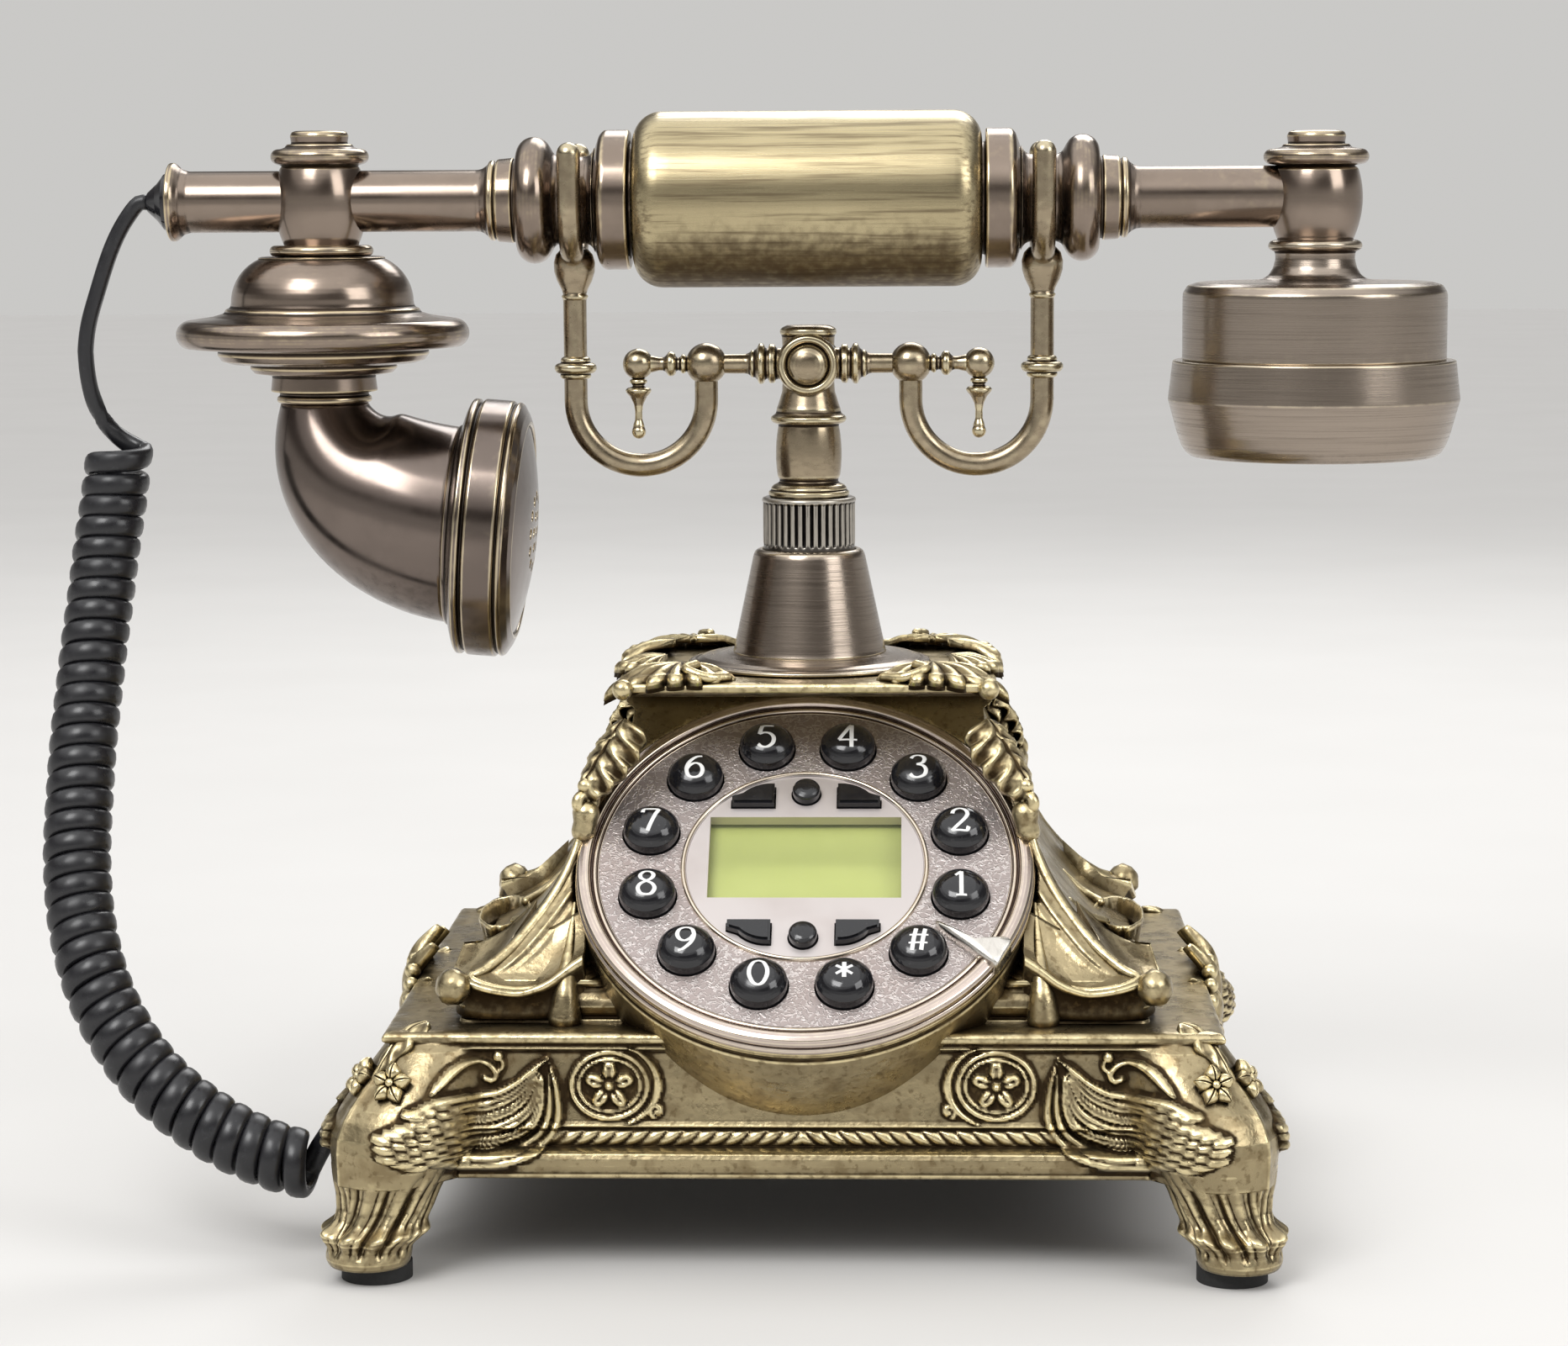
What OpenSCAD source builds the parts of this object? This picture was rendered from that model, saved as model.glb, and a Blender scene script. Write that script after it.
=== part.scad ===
// French-style cradle telephone: a push-button set in an ornamental base, with a mast,
// a sprung cradle and a turned metal handset.
// Frame: origin on the table under the mast, +Z up, -Y to the front, +X to the earpiece.

/* [Handset] */
// Height of the handset's axis above the table
axis_z = 225; // [221:0.5:245]
// Length of the grip barrel
grip_len = 77.2; // [60:0.1:95]
// Radius of the grip barrel
grip_r = 19.4; // [17.5:0.1:23.5]
// Wall of the grip barrel
grip_wall = 3.2; // [2.5:0.1:4]
// Radius of the two ferrules beside the grip
ferrule_r = 15.4; // [14:0.1:17]
// Radius of the necks that lie in the cradle's forks
neck_r = 9.6; // [8:0.1:11.6]
// Length of each neck
neck_len = 9.6; // [8.4:0.1:12]
// Radius of the round bead outside each neck
bead_r = 14; // [13:0.1:15.5]
// Radius of the handset's tubes
tube_r = 6.8; // [5.8:0.1:8.2]
// Radius of the wire channel through the handset
wire_r = 3.4; // [2.8:0.1:3.8]
// Distance from the middle of the grip to the mouthpiece's tee
mouth_x = 108.5; // [100:0.5:131]
// Distance from the middle of the grip to the earpiece's tee
ear_x = 112.2; // [100:0.1:135]
// Length of tube beyond the mouthpiece's tee
tail_len = 22; // [16:0.5:30]
// Radius of the tees' round bodies
tee_r = 10.3; // [9.4:0.1:12.4]
// Radius of the shroud above the mouthpiece's horn
shroud_r = 32.6; // [27:0.1:39]
// Radius of the mouthpiece's cap
mouth_cap_r = 28.8; // [26:0.1:34]
// Radius of the earpiece cup
ear_r = 29.1; // [24:0.1:35]
// Height of the earpiece cup's straight wall
ear_wall_h = 17.5; // [14:0.1:22]

/* [Cradle] */
// How far the cradle rises when the handset is lifted
hook_travel = 4; // [3:0.1:5]
// Height of the cradle's arms above the table
arm_z = 188.6; // [186:0.1:191]
// Radius of the bent cradle rods
rod_r = 2.6; // [2.2:0.1:3]
// Distance from the mast to the large balls on the arms
ball_x = 22.8; // [20:0.1:26]
// Distance from the mast to the small balls that carry the finials
finial_x = 38; // [34:0.1:40]
// Radius of the ribbed sleeve under the post
sleeve_r = 10.3; // [9:0.1:11.4]
// Number of ribs around the sleeve
rib_count = 36; // [24:1:44]

/* [Mast] */
// Radius of the mast's flange
flange_r = 27.2; // [24:0.1:32]
// Thickness of the mast's flange
flange_t = 2.6; // [2:0.1:4]
// Radius of the mast's cone at its foot
cone_r = 16.9; // [15:0.1:20]
// Radius of the mast's cone at its top
cone_top_r = 12.4; // [11.8:0.1:14.5]
// Height of the mast's cone
cone_h = 23.5; // [20:0.1:24]
// Radius of the threaded stud under the cone
stud_r = 5.5; // [4.8:0.1:6.2]

/* [Base] */
// Width of the plinth between its side panels
base_w = 176; // [160:1:212]
// Depth of the plinth between its front and back panels
base_d = 140; // [136:1:168]
// Height of the plinth's top ledge above the table
plinth_h = 52; // [46:0.5:56]
// Clear height under the plinth
apron_z = 21; // [18:0.5:25]
// Height of the platform that carries the mast
tower_h = 121.2; // [120.5:0.1:122]
// Width of the platform
tower_w = 82; // [76:0.5:90]
// Depth of the platform
tower_d = 68; // [64:0.5:76]
// Width across the tower's skirt where it meets the plinth
skirt_w = 154; // [128:1:158]
// Depth across the tower's skirt
skirt_d = 118; // [110:1:130]
// Wall of the base casting
wall = 3; // [2.5:0.1:4]
// Distance from each leg's centre to the corner of the plinth, along each side
leg_out = 1; // [0:0.5:3]
// Radius of the legs at the knee
knee_r = 12.3; // [10:0.1:14]
// Radius of the rubber feet
foot_r = 7.5; // [6:0.1:8.5]
// Thickness of the rubber feet
foot_t = 3.5; // [2.5:0.1:4.5]

/* [Dial] */
// Radius of the dial's bezel
dial_r = 49.4; // [47:0.1:52]
// Height of the dial's centre above the table
dial_z = 83.4; // [80:0.1:85]
// Distance of the dial's centre in front of the mast
dial_y = 46.1; // [44:0.1:49]
// Tilt of the dial back from lying flat
dial_tilt = 39.2; // [37:0.1:42]
// Thickness of the face plate
plate_t = 2.5; // [2:0.1:3]
// Radius of the number keys
key_r = 6.05; // [5:0.05:6.6]
// Radius of the circle through the number keys
key_ring_r = 34.5; // [34:0.1:35]
// Height of a key's crown above the face plate
key_h = 5; // [3:0.1:6]
// Travel of every key
key_travel = 1.5; // [1:0.1:1.8]
// Gap around every key in the face plate
key_gap = 0.3; // [0.25:0.05:0.4]
// Width of the display window
window_w = 41.4; // [34:0.1:42]
// Height of the display window
window_h = 22.8; // [18:0.1:23.5]
// Height of the window's middle above the dial's centre
window_v = 2.3; // [0:0.1:3]

/* [Cord] */
// Diameter of the handset cord
cord_d = 3.3; // [2.8:0.1:3.8]
// Outer diameter of the cord's coil
coil_d = 15; // [13:0.1:17]

/* [Hidden] */
$fn = 64;
fit = 0.05;          // radial gap of a pin or spigot in its bore
slide_fit = 0.08;    // radial gap of the sleeve in the mast's cone
clear = 0.3;         // gap between pieces that move past each other
eps = 0.01;          // overrun of a cut

// Handset stations, as distances from the middle of the grip
ferrule_len = 8.6;
bead_len = 7.8;
collar_len = 6.8;
grip_end = grip_len / 2;
neck_in = grip_end + ferrule_len;
neck_out = neck_in + neck_len;
bead_out = neck_out + bead_len;
tube_in = bead_out + collar_len;
tail_end = mouth_x + tee_r + tail_len;
fork_x = (neck_in + neck_out) / 2;
joint_r = 5;         // spigots that join the stems to the ferrules
bolt_r = 3;          // tie bolts down through the tees
// Heights above and below the handset's axis
tee_top = 8.8;
tee_bottom = 9.9;
bulge_r = 28;        // radius of the tee's barrelled side
bulge_z = -0.5;      // height of the bulge's widest place
gland_len = 6.4;     // the cord gland's cone beyond the stem's end
shroud_bottom = 44.7;
ear_top = 18.5;      // top of the earpiece cup
ear_rim = ear_top + ear_wall_h;
ear_cap_h = 21.5;
// The horn, from its neck to the cap's back
horn_r0 = 9.7;
horn_r1 = 22;
horn_dx = 29;
horn_dz = 27.6;
horn_tilt = 4.7;     // the mouthpiece faces a little downward
horn_wall = 2;
mouth_cap_t = 16;

// Cradle heights
sleeve_top = 158.9;
sleeve_len = 24.9;
post_ring_z = 175.6;
rod_end_z = 99;      // lower end of the plunger rod
plunger_r = 2.5;
spigot_r = 4;
boss_x = 7.6;        // side bosses of the post, where the arms join
bend_r = (fork_x - ball_x) / 2;
bend_x = (fork_x + ball_x) / 2;
bend_z = arm_z - 8;
saddle_r = neck_r + 0.4 + rod_r;
cone_z = tower_h + flange_t;
cone_floor = 2.2;

// Base
inner_w = base_w / 2 - wall - 1;
inner_d = base_d / 2 - wall - 1;
slab_t = 3.2;
nut_top = tower_h - 10.7;
nut_h = 6;
nut_r = 9;
plate_z = apron_z;
bottom_t = 2.5;
post_x = inner_w - 13;
post_r = 4.5;
post_bore = 1.3;
screw_r = 1.25;
screw_head_r = 2.9;
screw_head_h = 1.3;
screw_hole_r = 1.6;
head_hole_r = 3.1;
foot_pin_r = 2.5;
board_post_r = 2.5;
vent_x = 54;
vent_pitch = 4;
vent_half = 0.8;
post_y = inner_d - 15;
leg_x = base_w / 2 + leg_out + 1;
leg_y = base_d / 2 + leg_out + 1;
board_z = plate_z + bottom_t + 4.5;
jack_z = apron_z + 10;
jack_y = -49;
jack_hole = [6.2, 5.7];              // half sizes of the opening for the handset cord's jack
line_hole = [7.2, 6.2];              // half sizes of the opening for the line jack
line_x = 45;
line_z = apron_z + 15;

// Dial stack, as heights along the dial's own axis
bezel_lip = 1.4;
rim_r = dial_r - 3.35;               // the face plate's edge meets the bezel here
seat_r = rim_r - 2.15;               // bore of the drum under the face plate
drum_r = dial_r - 0.7;
flange_w = 1.15;                     // how far a key's flange reaches past its crown
flange_h = 1;
stem_h = 0.6;
lens_t = 1.2;
mat_top = -(plate_t + clear + flange_h + stem_h + key_travel + 0.1);
mat_t = 1.2;
board_top = mat_top - mat_t;
board_t = 1.6;
board_r = 40.5;
boss_ring = 38.5;
boss_r = 2;
boss_bore = 1;
board_hole_r = 1.1;
dial_screw_r = 0.95;
dial_head_r = 2.2;
bead_ring_r = 25.9;
wing_x = 6.9;
wing_len = 9.2;
wing_v = 16.4;
round_v = 20.2;
round_key_r = 3;

// Cord route, in round millimetres
lead_route = [[-147.2, 0, 225], [-149.5, 0, 224.6], [-153, 0, 220], [-156, 0, 214], [-159, 0, 205.5],
    [-161.5, 0, 197], [-162.3, 0, 188.5], [-161.6, 0, 181], [-160.4, 0, 174.4]];
coil_route = [[-154.5, 0, 173.5], [-155.6, 0, 166], [-156.6, -1, 158], [-157.8, -3, 149],
    [-158.8, -6, 138.5], [-159.8, -10, 127.5], [-160.5, -14, 117], [-161, -19, 106],
    [-161, -24, 95.5], [-160.8, -29, 85], [-160, -33, 76.5], [-158.4, -37, 68], [-155, -42, 58],
    [-150, -46, 48.5], [-142.5, -50, 39], [-133.5, -53, 31.5], [-122.5, -55, 25], [-112, -56, 21],
    [-105, -56, 19.6]];
tail_route = [[-105, -55, 24], [-103.6, -54.6, 24.4], [-101.6, -52.4, 27.4], [-100, -49.8, 30.4],
    [-98.4, -49, 31]];

// ---------- helpers ----------

// A turned solid about a line along X at the handset's height; its profile's height runs outward.
module turned_out(side, points) {
    translate([0, 0, axis_z])
        mirror([side < 0 ? 1 : 0, 0, 0])
            rotate([0, 90, 0])
                rotate_extrude() polygon(points);
}

// A turned solid about a vertical line at x, with heights counted from the handset's axis.
module turned_down(x, points) {
    translate([x, 0, axis_z]) rotate_extrude() polygon(points);
}

module dial_frame() {
    translate([0, -dial_y, dial_z]) rotate([dial_tilt, 0, 0]) children();
}

module block(low, high) {
    translate(low) cube(high - low);
}

// Points of an arc about a centre, from one angle to another.
function arc(centre, r, from, to, steps = 8) =
    [for (i = [0 : steps]) centre + r * [cos(from + (to - from) * i / steps),
                                         sin(from + (to - from) * i / steps)]];

// A half outline closed by its mirror image.
function both_sides(points) =
    concat(points, [for (i = [len(points) - 1 : -1 : 0]) [-points[i][0], points[i][1]]]);

function unit(v) = v / norm(v);

// The direction of a route at point i: along its neighbours.
function heading(route, i) =
    unit(route[min(i + 1, len(route) - 1)] - route[max(i - 1, 0)]);

// A tube of n sides swept along a route.
module swept(route, r, n, first = [0, 0, 0], last = [0, 0, 0]) {
    count = len(route);
    points = [for (i = [0 : count - 1])
        let (t = i == 0 && norm(first) > 0 ? first
               : i == count - 1 && norm(last) > 0 ? last : heading(route, i),
             side = unit(cross(t, [0.02, 1, 0.01])),
             up = cross(side, t))
        for (k = [0 : n - 1]) route[i] + r * (cos(360 * k / n) * side + sin(360 * k / n) * up)];
    faces = concat(
        [[for (k = [0 : n - 1]) k]],
        [for (i = [0 : count - 2]) for (k = [0 : n - 1])
            [i * n + k, (i + 1) * n + k, (i + 1) * n + (k + 1) % n, i * n + (k + 1) % n]],
        [[for (k = [n - 1 : -1 : 0]) (count - 1) * n + k]]);
    polyhedron(points, faces, convexity = 6);
}

// ---------- base ----------

// Half outline of the plinth's moulded side, for a panel at half width h.
function plinth_edge(h) = [
    [h + 2, apron_z], [h + 3.5, apron_z + 1.5], [h + 3.5, apron_z + 5.5], [h + 1, apron_z + 7],
    [h - 1, plinth_h - 5], [h + 1, plinth_h - 3.5], [h + 1, plinth_h - 1], [h - 1, plinth_h + 0.8]];

// Half outline of the tower: skirt, concave sweep, bracket, cornice and platform.
function tower_edge(top, skirt) =
    let (foot_z = plinth_h + 9, brow_z = tower_h - 27, brow = top + 6)
    concat(
        [[skirt - 8, plinth_h - wall], [skirt - 7, plinth_h + 0.8], [skirt - 1, plinth_h + 4],
         [skirt + 0.5, foot_z - 2]],
        [for (a = [90 : -10 : 0])
            [brow + (skirt - brow) * (1 - cos(a)), foot_z + (brow_z - foot_z) * (1 - sin(a))]],
        [[top + 8, tower_h - 23.5], [top + 4, tower_h - 16], [top - 1.4, tower_h - 11],
         [top, tower_h - 10], [top, tower_h - 6.4], [top - 1.5, tower_h - 6],
         [top - 1.5, tower_h - 4.6], [top, tower_h - slab_t], [top, tower_h]]);

// A body with one outline seen from the front and another seen from the side.
module two_way(front, side, reach) {
    intersection() {
        rotate([90, 0, 0]) linear_extrude(2 * reach, center = true) polygon(both_sides(front));
        rotate([90, 0, 90]) linear_extrude(2 * reach, center = true) polygon(both_sides(side));
    }
}

module leg() {
    rotate_extrude() polygon([[0, foot_t], [knee_r - 3.5, foot_t], [knee_r - 2.4, 6],
        [knee_r - 2.2, 9.5], [knee_r - 3, 12], [knee_r - 4, 16], [knee_r - 3.6, 20],
        [knee_r - 1.4, 27], [knee_r - 0.2, 33], [knee_r, 37], [knee_r - 1, 42],
        [knee_r - 4, 47], [0, plinth_h - 0.6]]);
}

module at_corners(x, y) {
    for (sx = [-1, 1], sy = [-1, 1]) translate([sx * x, sy * y, 0]) children();
}

// What the tower leaves open in front of the dial: its disc swept straight forward.
module dial_sweep() {
    half_h = (dial_r + 0.3) * sin(dial_tilt);
    intersection() {
        translate([0, -dial_y, dial_z]) rotate([90, 0, 0])
            translate([0, 0, -2 * dial_r]) linear_extrude(4 * dial_r)
                polygon([for (a = [0 : 7.5 : 352.5])
                    [(dial_r + 0.3) * cos(a), half_h * sin(a)]]);
        dial_frame() translate([-100, -100, -plate_t]) cube([200, 200, 200]);
    }
    dial_frame() translate([0, 0, -plate_t]) cylinder(r = dial_r + 0.3, h = plate_t + 2);
}

module base_shell() color("darkgoldenrod") difference() {
    union() {
        difference() {
            union() {
                two_way(plinth_edge(base_w / 2), plinth_edge(base_d / 2), base_w);
                two_way(tower_edge(tower_w / 2, skirt_w / 2),
                    tower_edge(tower_d / 2, skirt_d / 2), base_w);
                at_corners(leg_x, leg_y) leg();
                dial_frame() translate([0, 0, -26]) cylinder(r = drum_r, h = 26 - plate_t);
            }
            block([-inner_w, -inner_d, apron_z - 1], [inner_w, inner_d, plinth_h - wall]);
            two_way(tower_hollow(tower_w / 2, skirt_w / 2),
                tower_hollow(tower_d / 2, skirt_d / 2), base_w);
            dial_frame() translate([0, 0, -40]) cylinder(r = seat_r, h = 60);
            dial_sweep();
        }
        // seat of the face plate, column under the mast and posts for the bottom plate's screws
        difference() {
            dial_frame() translate([0, 0, -plate_t - 3]) cylinder(r = drum_r, h = 3);
            dial_frame() translate([0, 0, -plate_t - 4]) cylinder(r = seat_r, h = 5);
            translate([0, 0, nut_top - 2 * nut_h]) cylinder(r = nut_r + 0.5, h = 2 * nut_h);
        }
        difference() {
            translate([0, 0, nut_top]) cylinder(r = nut_r + 1, h = tower_h - slab_t - nut_top + eps);
            dial_frame() translate([0, 0, -plate_t - 3]) cylinder(r = seat_r, h = 30);
            dial_sweep();
        }
        at_corners(post_x, post_y)
            translate([0, 0, plate_z + bottom_t])
                cylinder(r = post_r, h = plinth_h - wall - plate_z - bottom_t + eps);
    }
    translate([0, 0, nut_top - 1]) cylinder(r = stud_r + fit, h = 20);
    at_corners(post_x, post_y) translate([0, 0, plate_z]) cylinder(r = post_bore, h = 18);
    at_corners(leg_x, leg_y) translate([0, 0, foot_t - 1]) cylinder(r = foot_pin_r, h = 6.2);
    block([-base_w, jack_y - jack_hole[0], jack_z - jack_hole[1]],
        [-inner_w + eps, jack_y + jack_hole[0], jack_z + jack_hole[1]]);
    block([line_x - line_hole[0], inner_d - eps, line_z - line_hole[1]],
        [line_x + line_hole[0], base_d, line_z + line_hole[1]]);
}

// Half outline of the tower's hollow, a wall inside the tower's own outline.
function tower_hollow(top, skirt) =
    let (foot_z = plinth_h + 9, brow_z = tower_h - 27, brow = top + 6 - wall)
    concat(
        [[skirt - 14, plinth_h - wall - 1], [skirt - 14, plinth_h + 1]],
        [for (a = [70 : -10 : 0])
            [brow + (skirt - wall - brow) * (1 - cos(a)), foot_z + (brow_z - foot_z) * (1 - sin(a))]],
        [[top - wall, tower_h - 16], [top - wall - 1.4, tower_h - slab_t]]);

module bottom_plate() color("dimgray") difference() {
    union() {
        block([-inner_w + clear, -inner_d + clear, plate_z],
            [inner_w - clear, inner_d - clear, plate_z + bottom_t]);
        for (x = [-28, 28], y = [8, 48])
            translate([x, y, plate_z]) cylinder(r = board_post_r, h = board_z - plate_z);
    }
    at_corners(post_x, post_y) {
        translate([0, 0, plate_z - 1]) cylinder(r = screw_hole_r, h = 5);
        translate([0, 0, plate_z - 1]) cylinder(r = head_hole_r, h = 2.4);
    }
    for (i = [-3 : 3])
        block([vent_x + vent_pitch * i - vent_half, 9, plate_z - 1],
            [vent_x + vent_pitch * i + vent_half, 31, plate_z + bottom_t + 1]);
}

module screws() color("silver") {
    at_corners(post_x, post_y) {
        translate([0, 0, plate_z + 0.1]) cylinder(r = screw_head_r, h = screw_head_h);
        translate([0, 0, plate_z + 0.1]) cylinder(r = screw_r, h = 16);
    }
    dial_frame() for (a = [0 : 90 : 270]) rotate(a) translate([boss_ring, 0, board_top - board_t]) {
        translate([0, 0, -screw_head_h]) cylinder(r = dial_head_r, h = screw_head_h);
        translate([0, 0, -screw_head_h]) cylinder(r = dial_screw_r, h = screw_head_h + board_t + 4);
    }
}

module rubber_feet() color("black") at_corners(leg_x, leg_y) {
    cylinder(r = foot_r, h = foot_t);
    cylinder(r = foot_pin_r - fit, h = foot_t + 5);
}

module main_board() color("darkgreen") {
    block([-34, 2, board_z], [34, 54, board_z + 1.6]);
    block([-12, 20, board_z + 1.5], [4, 36, board_z + 3.4]);
    block([12, 10, board_z + 1.5], [26, 24, board_z + 12]);
    for (x = [-26, -18]) translate([x, 12, board_z + 1.5]) cylinder(r = 3, h = 9);
}

module ringer() color("dimgray") translate([54, 20, plate_z + bottom_t]) {
    cylinder(r = 15, h = 2);
    cylinder(r = 9, h = 7);
}

module line_jack() color("black") difference() {
    union() {
        block([line_x - 7, inner_d - 8, line_z - 6], [line_x + 7, base_d / 2 + 0.8, line_z + 6]);
        block([line_x - 9, inner_d - 3, line_z - 8], [line_x + 9, inner_d, line_z + 8]);
    }
    block([line_x - 5, inner_d - 6, line_z - 3.6], [line_x + 5, base_d, line_z + 3.6]);
}

module cord_jack() color("black") difference() {
    union() {
        block([-base_w / 2 - 0.8, jack_y - 6, jack_z - 5.5], [-inner_w + 8, jack_y + 6, jack_z + 5.5]);
        block([-inner_w, jack_y - 8, jack_z - 7], [-inner_w + 3, jack_y + 8, jack_z + 7]);
    }
    block([-base_w, jack_y - 4, jack_z - 3.4], [-inner_w + 5, jack_y + 4, jack_z + 3.4]);
}

// A small lever switch on a bracket that hangs from the platform beside the mast's nut.
module hook_switch() color("gray") {
    top = rod_end_z - 1.4;
    block([-8, 10.6, top - 10], [8, 12, tower_h - slab_t]);
    block([-8, -3.2, top - 10.5], [8, 12, top - 9]);
    block([-10, -3.2, top - 9.1], [10, 3.2, top]);
    translate([0, 0, top - 0.1]) cylinder(r = 1.2, h = 1.1);
}

// ---------- dial ----------

// A block around the window, grown by a margin each way.
module window_block(margin_w, margin_h, low, high) {
    block([-window_w / 2 - margin_w, window_v - window_h / 2 - margin_h, low],
        [window_w / 2 + margin_w, window_v + window_h / 2 + margin_h, high]);
}

module key_places(i) {
    rotate(-15 + 30 * i) translate([key_ring_r, 0, 0]) rotate(15 - 30 * i) children();
}

// Outline of an upper-right wing key: flat inside and below, curved along the ring; g grows it.
function wing(g) = concat(
    [[wing_x - g, wing_v - g], [wing_x + wing_len + g, wing_v - g],
        [wing_x + wing_len + g, wing_v + 2 + g / 2]],
    arc([wing_x + 0.8, wing_v - 2.2], 7.9 + g, 40, 84, 5),
    [[wing_x - g, wing_v + 5.7 + g]]);

module wing_places() {
    for (mx = [0, 1], my = [0, 1]) mirror([mx, 0, 0]) mirror([0, my, 0]) children();
}

module face_plate() color("rosybrown") dial_frame() difference() {
    union() {
        translate([0, 0, -plate_t]) cylinder(r = rim_r - fit, h = plate_t, $fn = 96);
        rotate_extrude($fn = 96) translate([bead_ring_r, 0])
            polygon([[-0.5, -0.1], [-0.3, 0.35], [0.3, 0.35], [0.5, -0.1]]);
        for (a = [0 : 90 : 270]) rotate(a) translate([boss_ring, 0, board_top])
            cylinder(r = boss_r, h = -board_top - plate_t + eps);
    }
    for (i = [0 : 11]) key_places(i) translate([0, 0, -plate_t - 1])
        cylinder(r = key_r + key_gap, h = 5);
    for (v = [-1, 1]) translate([0, v * round_v, -plate_t - 1])
        cylinder(r = round_key_r + key_gap, h = 5);
    wing_places() translate([0, 0, -plate_t - 1]) linear_extrude(5) polygon(wing(key_gap));
    window_block(0, 0, -plate_t - 1, 2);
    for (a = [0 : 90 : 270]) rotate(a) translate([boss_ring, 0, board_top - 1])
        cylinder(r = boss_bore, h = 5.2);
}

module face_bezel() color("silver") dial_frame() rotate_extrude($fn = 96) polygon(concat(
    [[rim_r, 0], [rim_r - 0.8, 0], [rim_r - 0.6, bezel_lip], [rim_r + 0.9, bezel_lip]],
    arc([rim_r + 0.9, -1.2], 2.6, 80, 0, 5),
    [[rim_r + 3.35, -1.4], [rim_r + 3.35, -plate_t], [rim_r, -plate_t]]));

module finger_stop() color("silver") dial_frame() translate([0, 0, bezel_lip]) linear_extrude(0.8)
    polygon([[28.6, -17.2], [35.4, -22.3], [41.2, -21.6], [42.4, -20.4], [39.6, -25.2],
        [36.6, -25.6], [35, -23.7]]);

module display_lens() color("lightgray", 0.5) dial_frame()
    window_block(1.2, 1.2, -plate_t - lens_t, -plate_t);

module display_panel() color("yellowgreen") dial_frame()
    window_block(1.4, 1.4, board_top, -plate_t - lens_t);

module keypad_mat() color("gray") dial_frame() difference() {
    translate([0, 0, board_top]) cylinder(r = board_r, h = mat_t);
    window_block(1.7, 1.7, board_top - 1, 0);
    for (a = [0 : 90 : 270]) rotate(a) translate([boss_ring, 0, board_top - 1])
        cylinder(r = boss_r + clear, h = 5);
}

module keypad_board() color("darkgreen") dial_frame() difference() {
    translate([0, 0, board_top - board_t]) cylinder(r = board_r, h = board_t);
    for (a = [0 : 90 : 270]) rotate(a) translate([boss_ring, 0, board_top - board_t - 1])
        cylinder(r = board_hole_r, h = 5);
}

// A round key: crown, flange behind the plate and a stem over the mat.
module round_key(r, crown) {
    base = -plate_t - clear;
    shoulder = crown - 0.35 * r;
    rotate_extrude() polygon(concat(
        [[0, base - flange_h - stem_h], [r - 2, base - flange_h - stem_h], [r - 2, base - flange_h],
         [r + flange_w, base - flange_h], [r + flange_w, base], [r, base]],
        [for (a = [0 : 15 : 90]) [a == 90 ? 0 :
            r - 0.12 * r + 0.12 * r * cos(a) - 0.88 * r * pow(a / 90, 2) * 0.9,
                                  shoulder + (crown - shoulder) * sin(a)]]));
}

module number_key(i) color("black") dial_frame() key_places(i) round_key(key_r, key_h);

module wing_key(mx, my) color("black") dial_frame() mirror([mx, 0, 0]) mirror([0, my, 0]) {
    base = -plate_t - clear;
    translate([0, 0, base - flange_h]) linear_extrude(flange_h) polygon(wing(0.7));
    translate([0, 0, base - flange_h - stem_h]) linear_extrude(stem_h + eps) polygon(wing(-0.7));
    translate([0, 0, base - eps]) linear_extrude(plate_t + clear + 1.6) polygon(wing(0));
    translate([0, 0, 1.6]) linear_extrude(0.5) polygon(wing(-0.45));
}

module small_round_key(v) color("black") dial_frame() translate([0, v * round_v, 0])
    round_key(round_key_r, 2.8);

// ---------- mast ----------

module mast_flange() color("peru") translate([0, 0, tower_h]) rotate_extrude()
    polygon([[stud_r + fit, 0], [flange_r - 0.6, 0], [flange_r, 0.6], [flange_r, 1.2],
        [flange_r - 2.6, 1.6],
        [flange_r - 3, flange_t], [stud_r + fit, flange_t]]);

module mast_cone() color("tan") rotate_extrude() polygon([
    [plunger_r + fit, nut_top - nut_h - 1], [stud_r, nut_top - nut_h - 1], [stud_r, cone_z],
        [cone_r, cone_z],
    [cone_r, cone_z + 1], [cone_top_r, cone_z + cone_h - 1], [cone_top_r - 0.6, cone_z + cone_h],
    [sleeve_r + slide_fit, cone_z + cone_h], [sleeve_r + slide_fit, cone_z + cone_floor],
    [plunger_r + fit, cone_z + cone_floor]]);

module mast_nut() color("silver") translate([0, 0, nut_top - nut_h]) difference() {
    cylinder(r = nut_r, h = nut_h, $fn = 6);
    translate([0, 0, -1]) cylinder(r = stud_r + fit, h = nut_h + 2);
}

module cradle_spring() color("silver") difference() {
    spring_z = cone_z + cone_floor;
    translate([0, 0, spring_z]) cylinder(r = 7.5, h = sleeve_top - sleeve_len - spring_z);
    translate([0, 0, spring_z - 1]) cylinder(r = 5.5, h = 30);
}

// ---------- cradle ----------

module hook_sleeve() color("black") difference() {
    translate([0, 0, sleeve_top - sleeve_len]) cylinder(r = sleeve_r, h = sleeve_len);
    translate([0, 0, sleeve_top - sleeve_len - 1]) cylinder(r = spigot_r + fit, h = sleeve_len + 2);
    for (i = [0 : rib_count - 1]) rotate(360 * i / rib_count)
        translate([sleeve_r + 0.1, 0, cone_z + cone_h + 0.5])
            cylinder(r = 0.42, h = sleeve_top - cone_z - cone_h - 1.3, $fn = 24);
}

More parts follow.
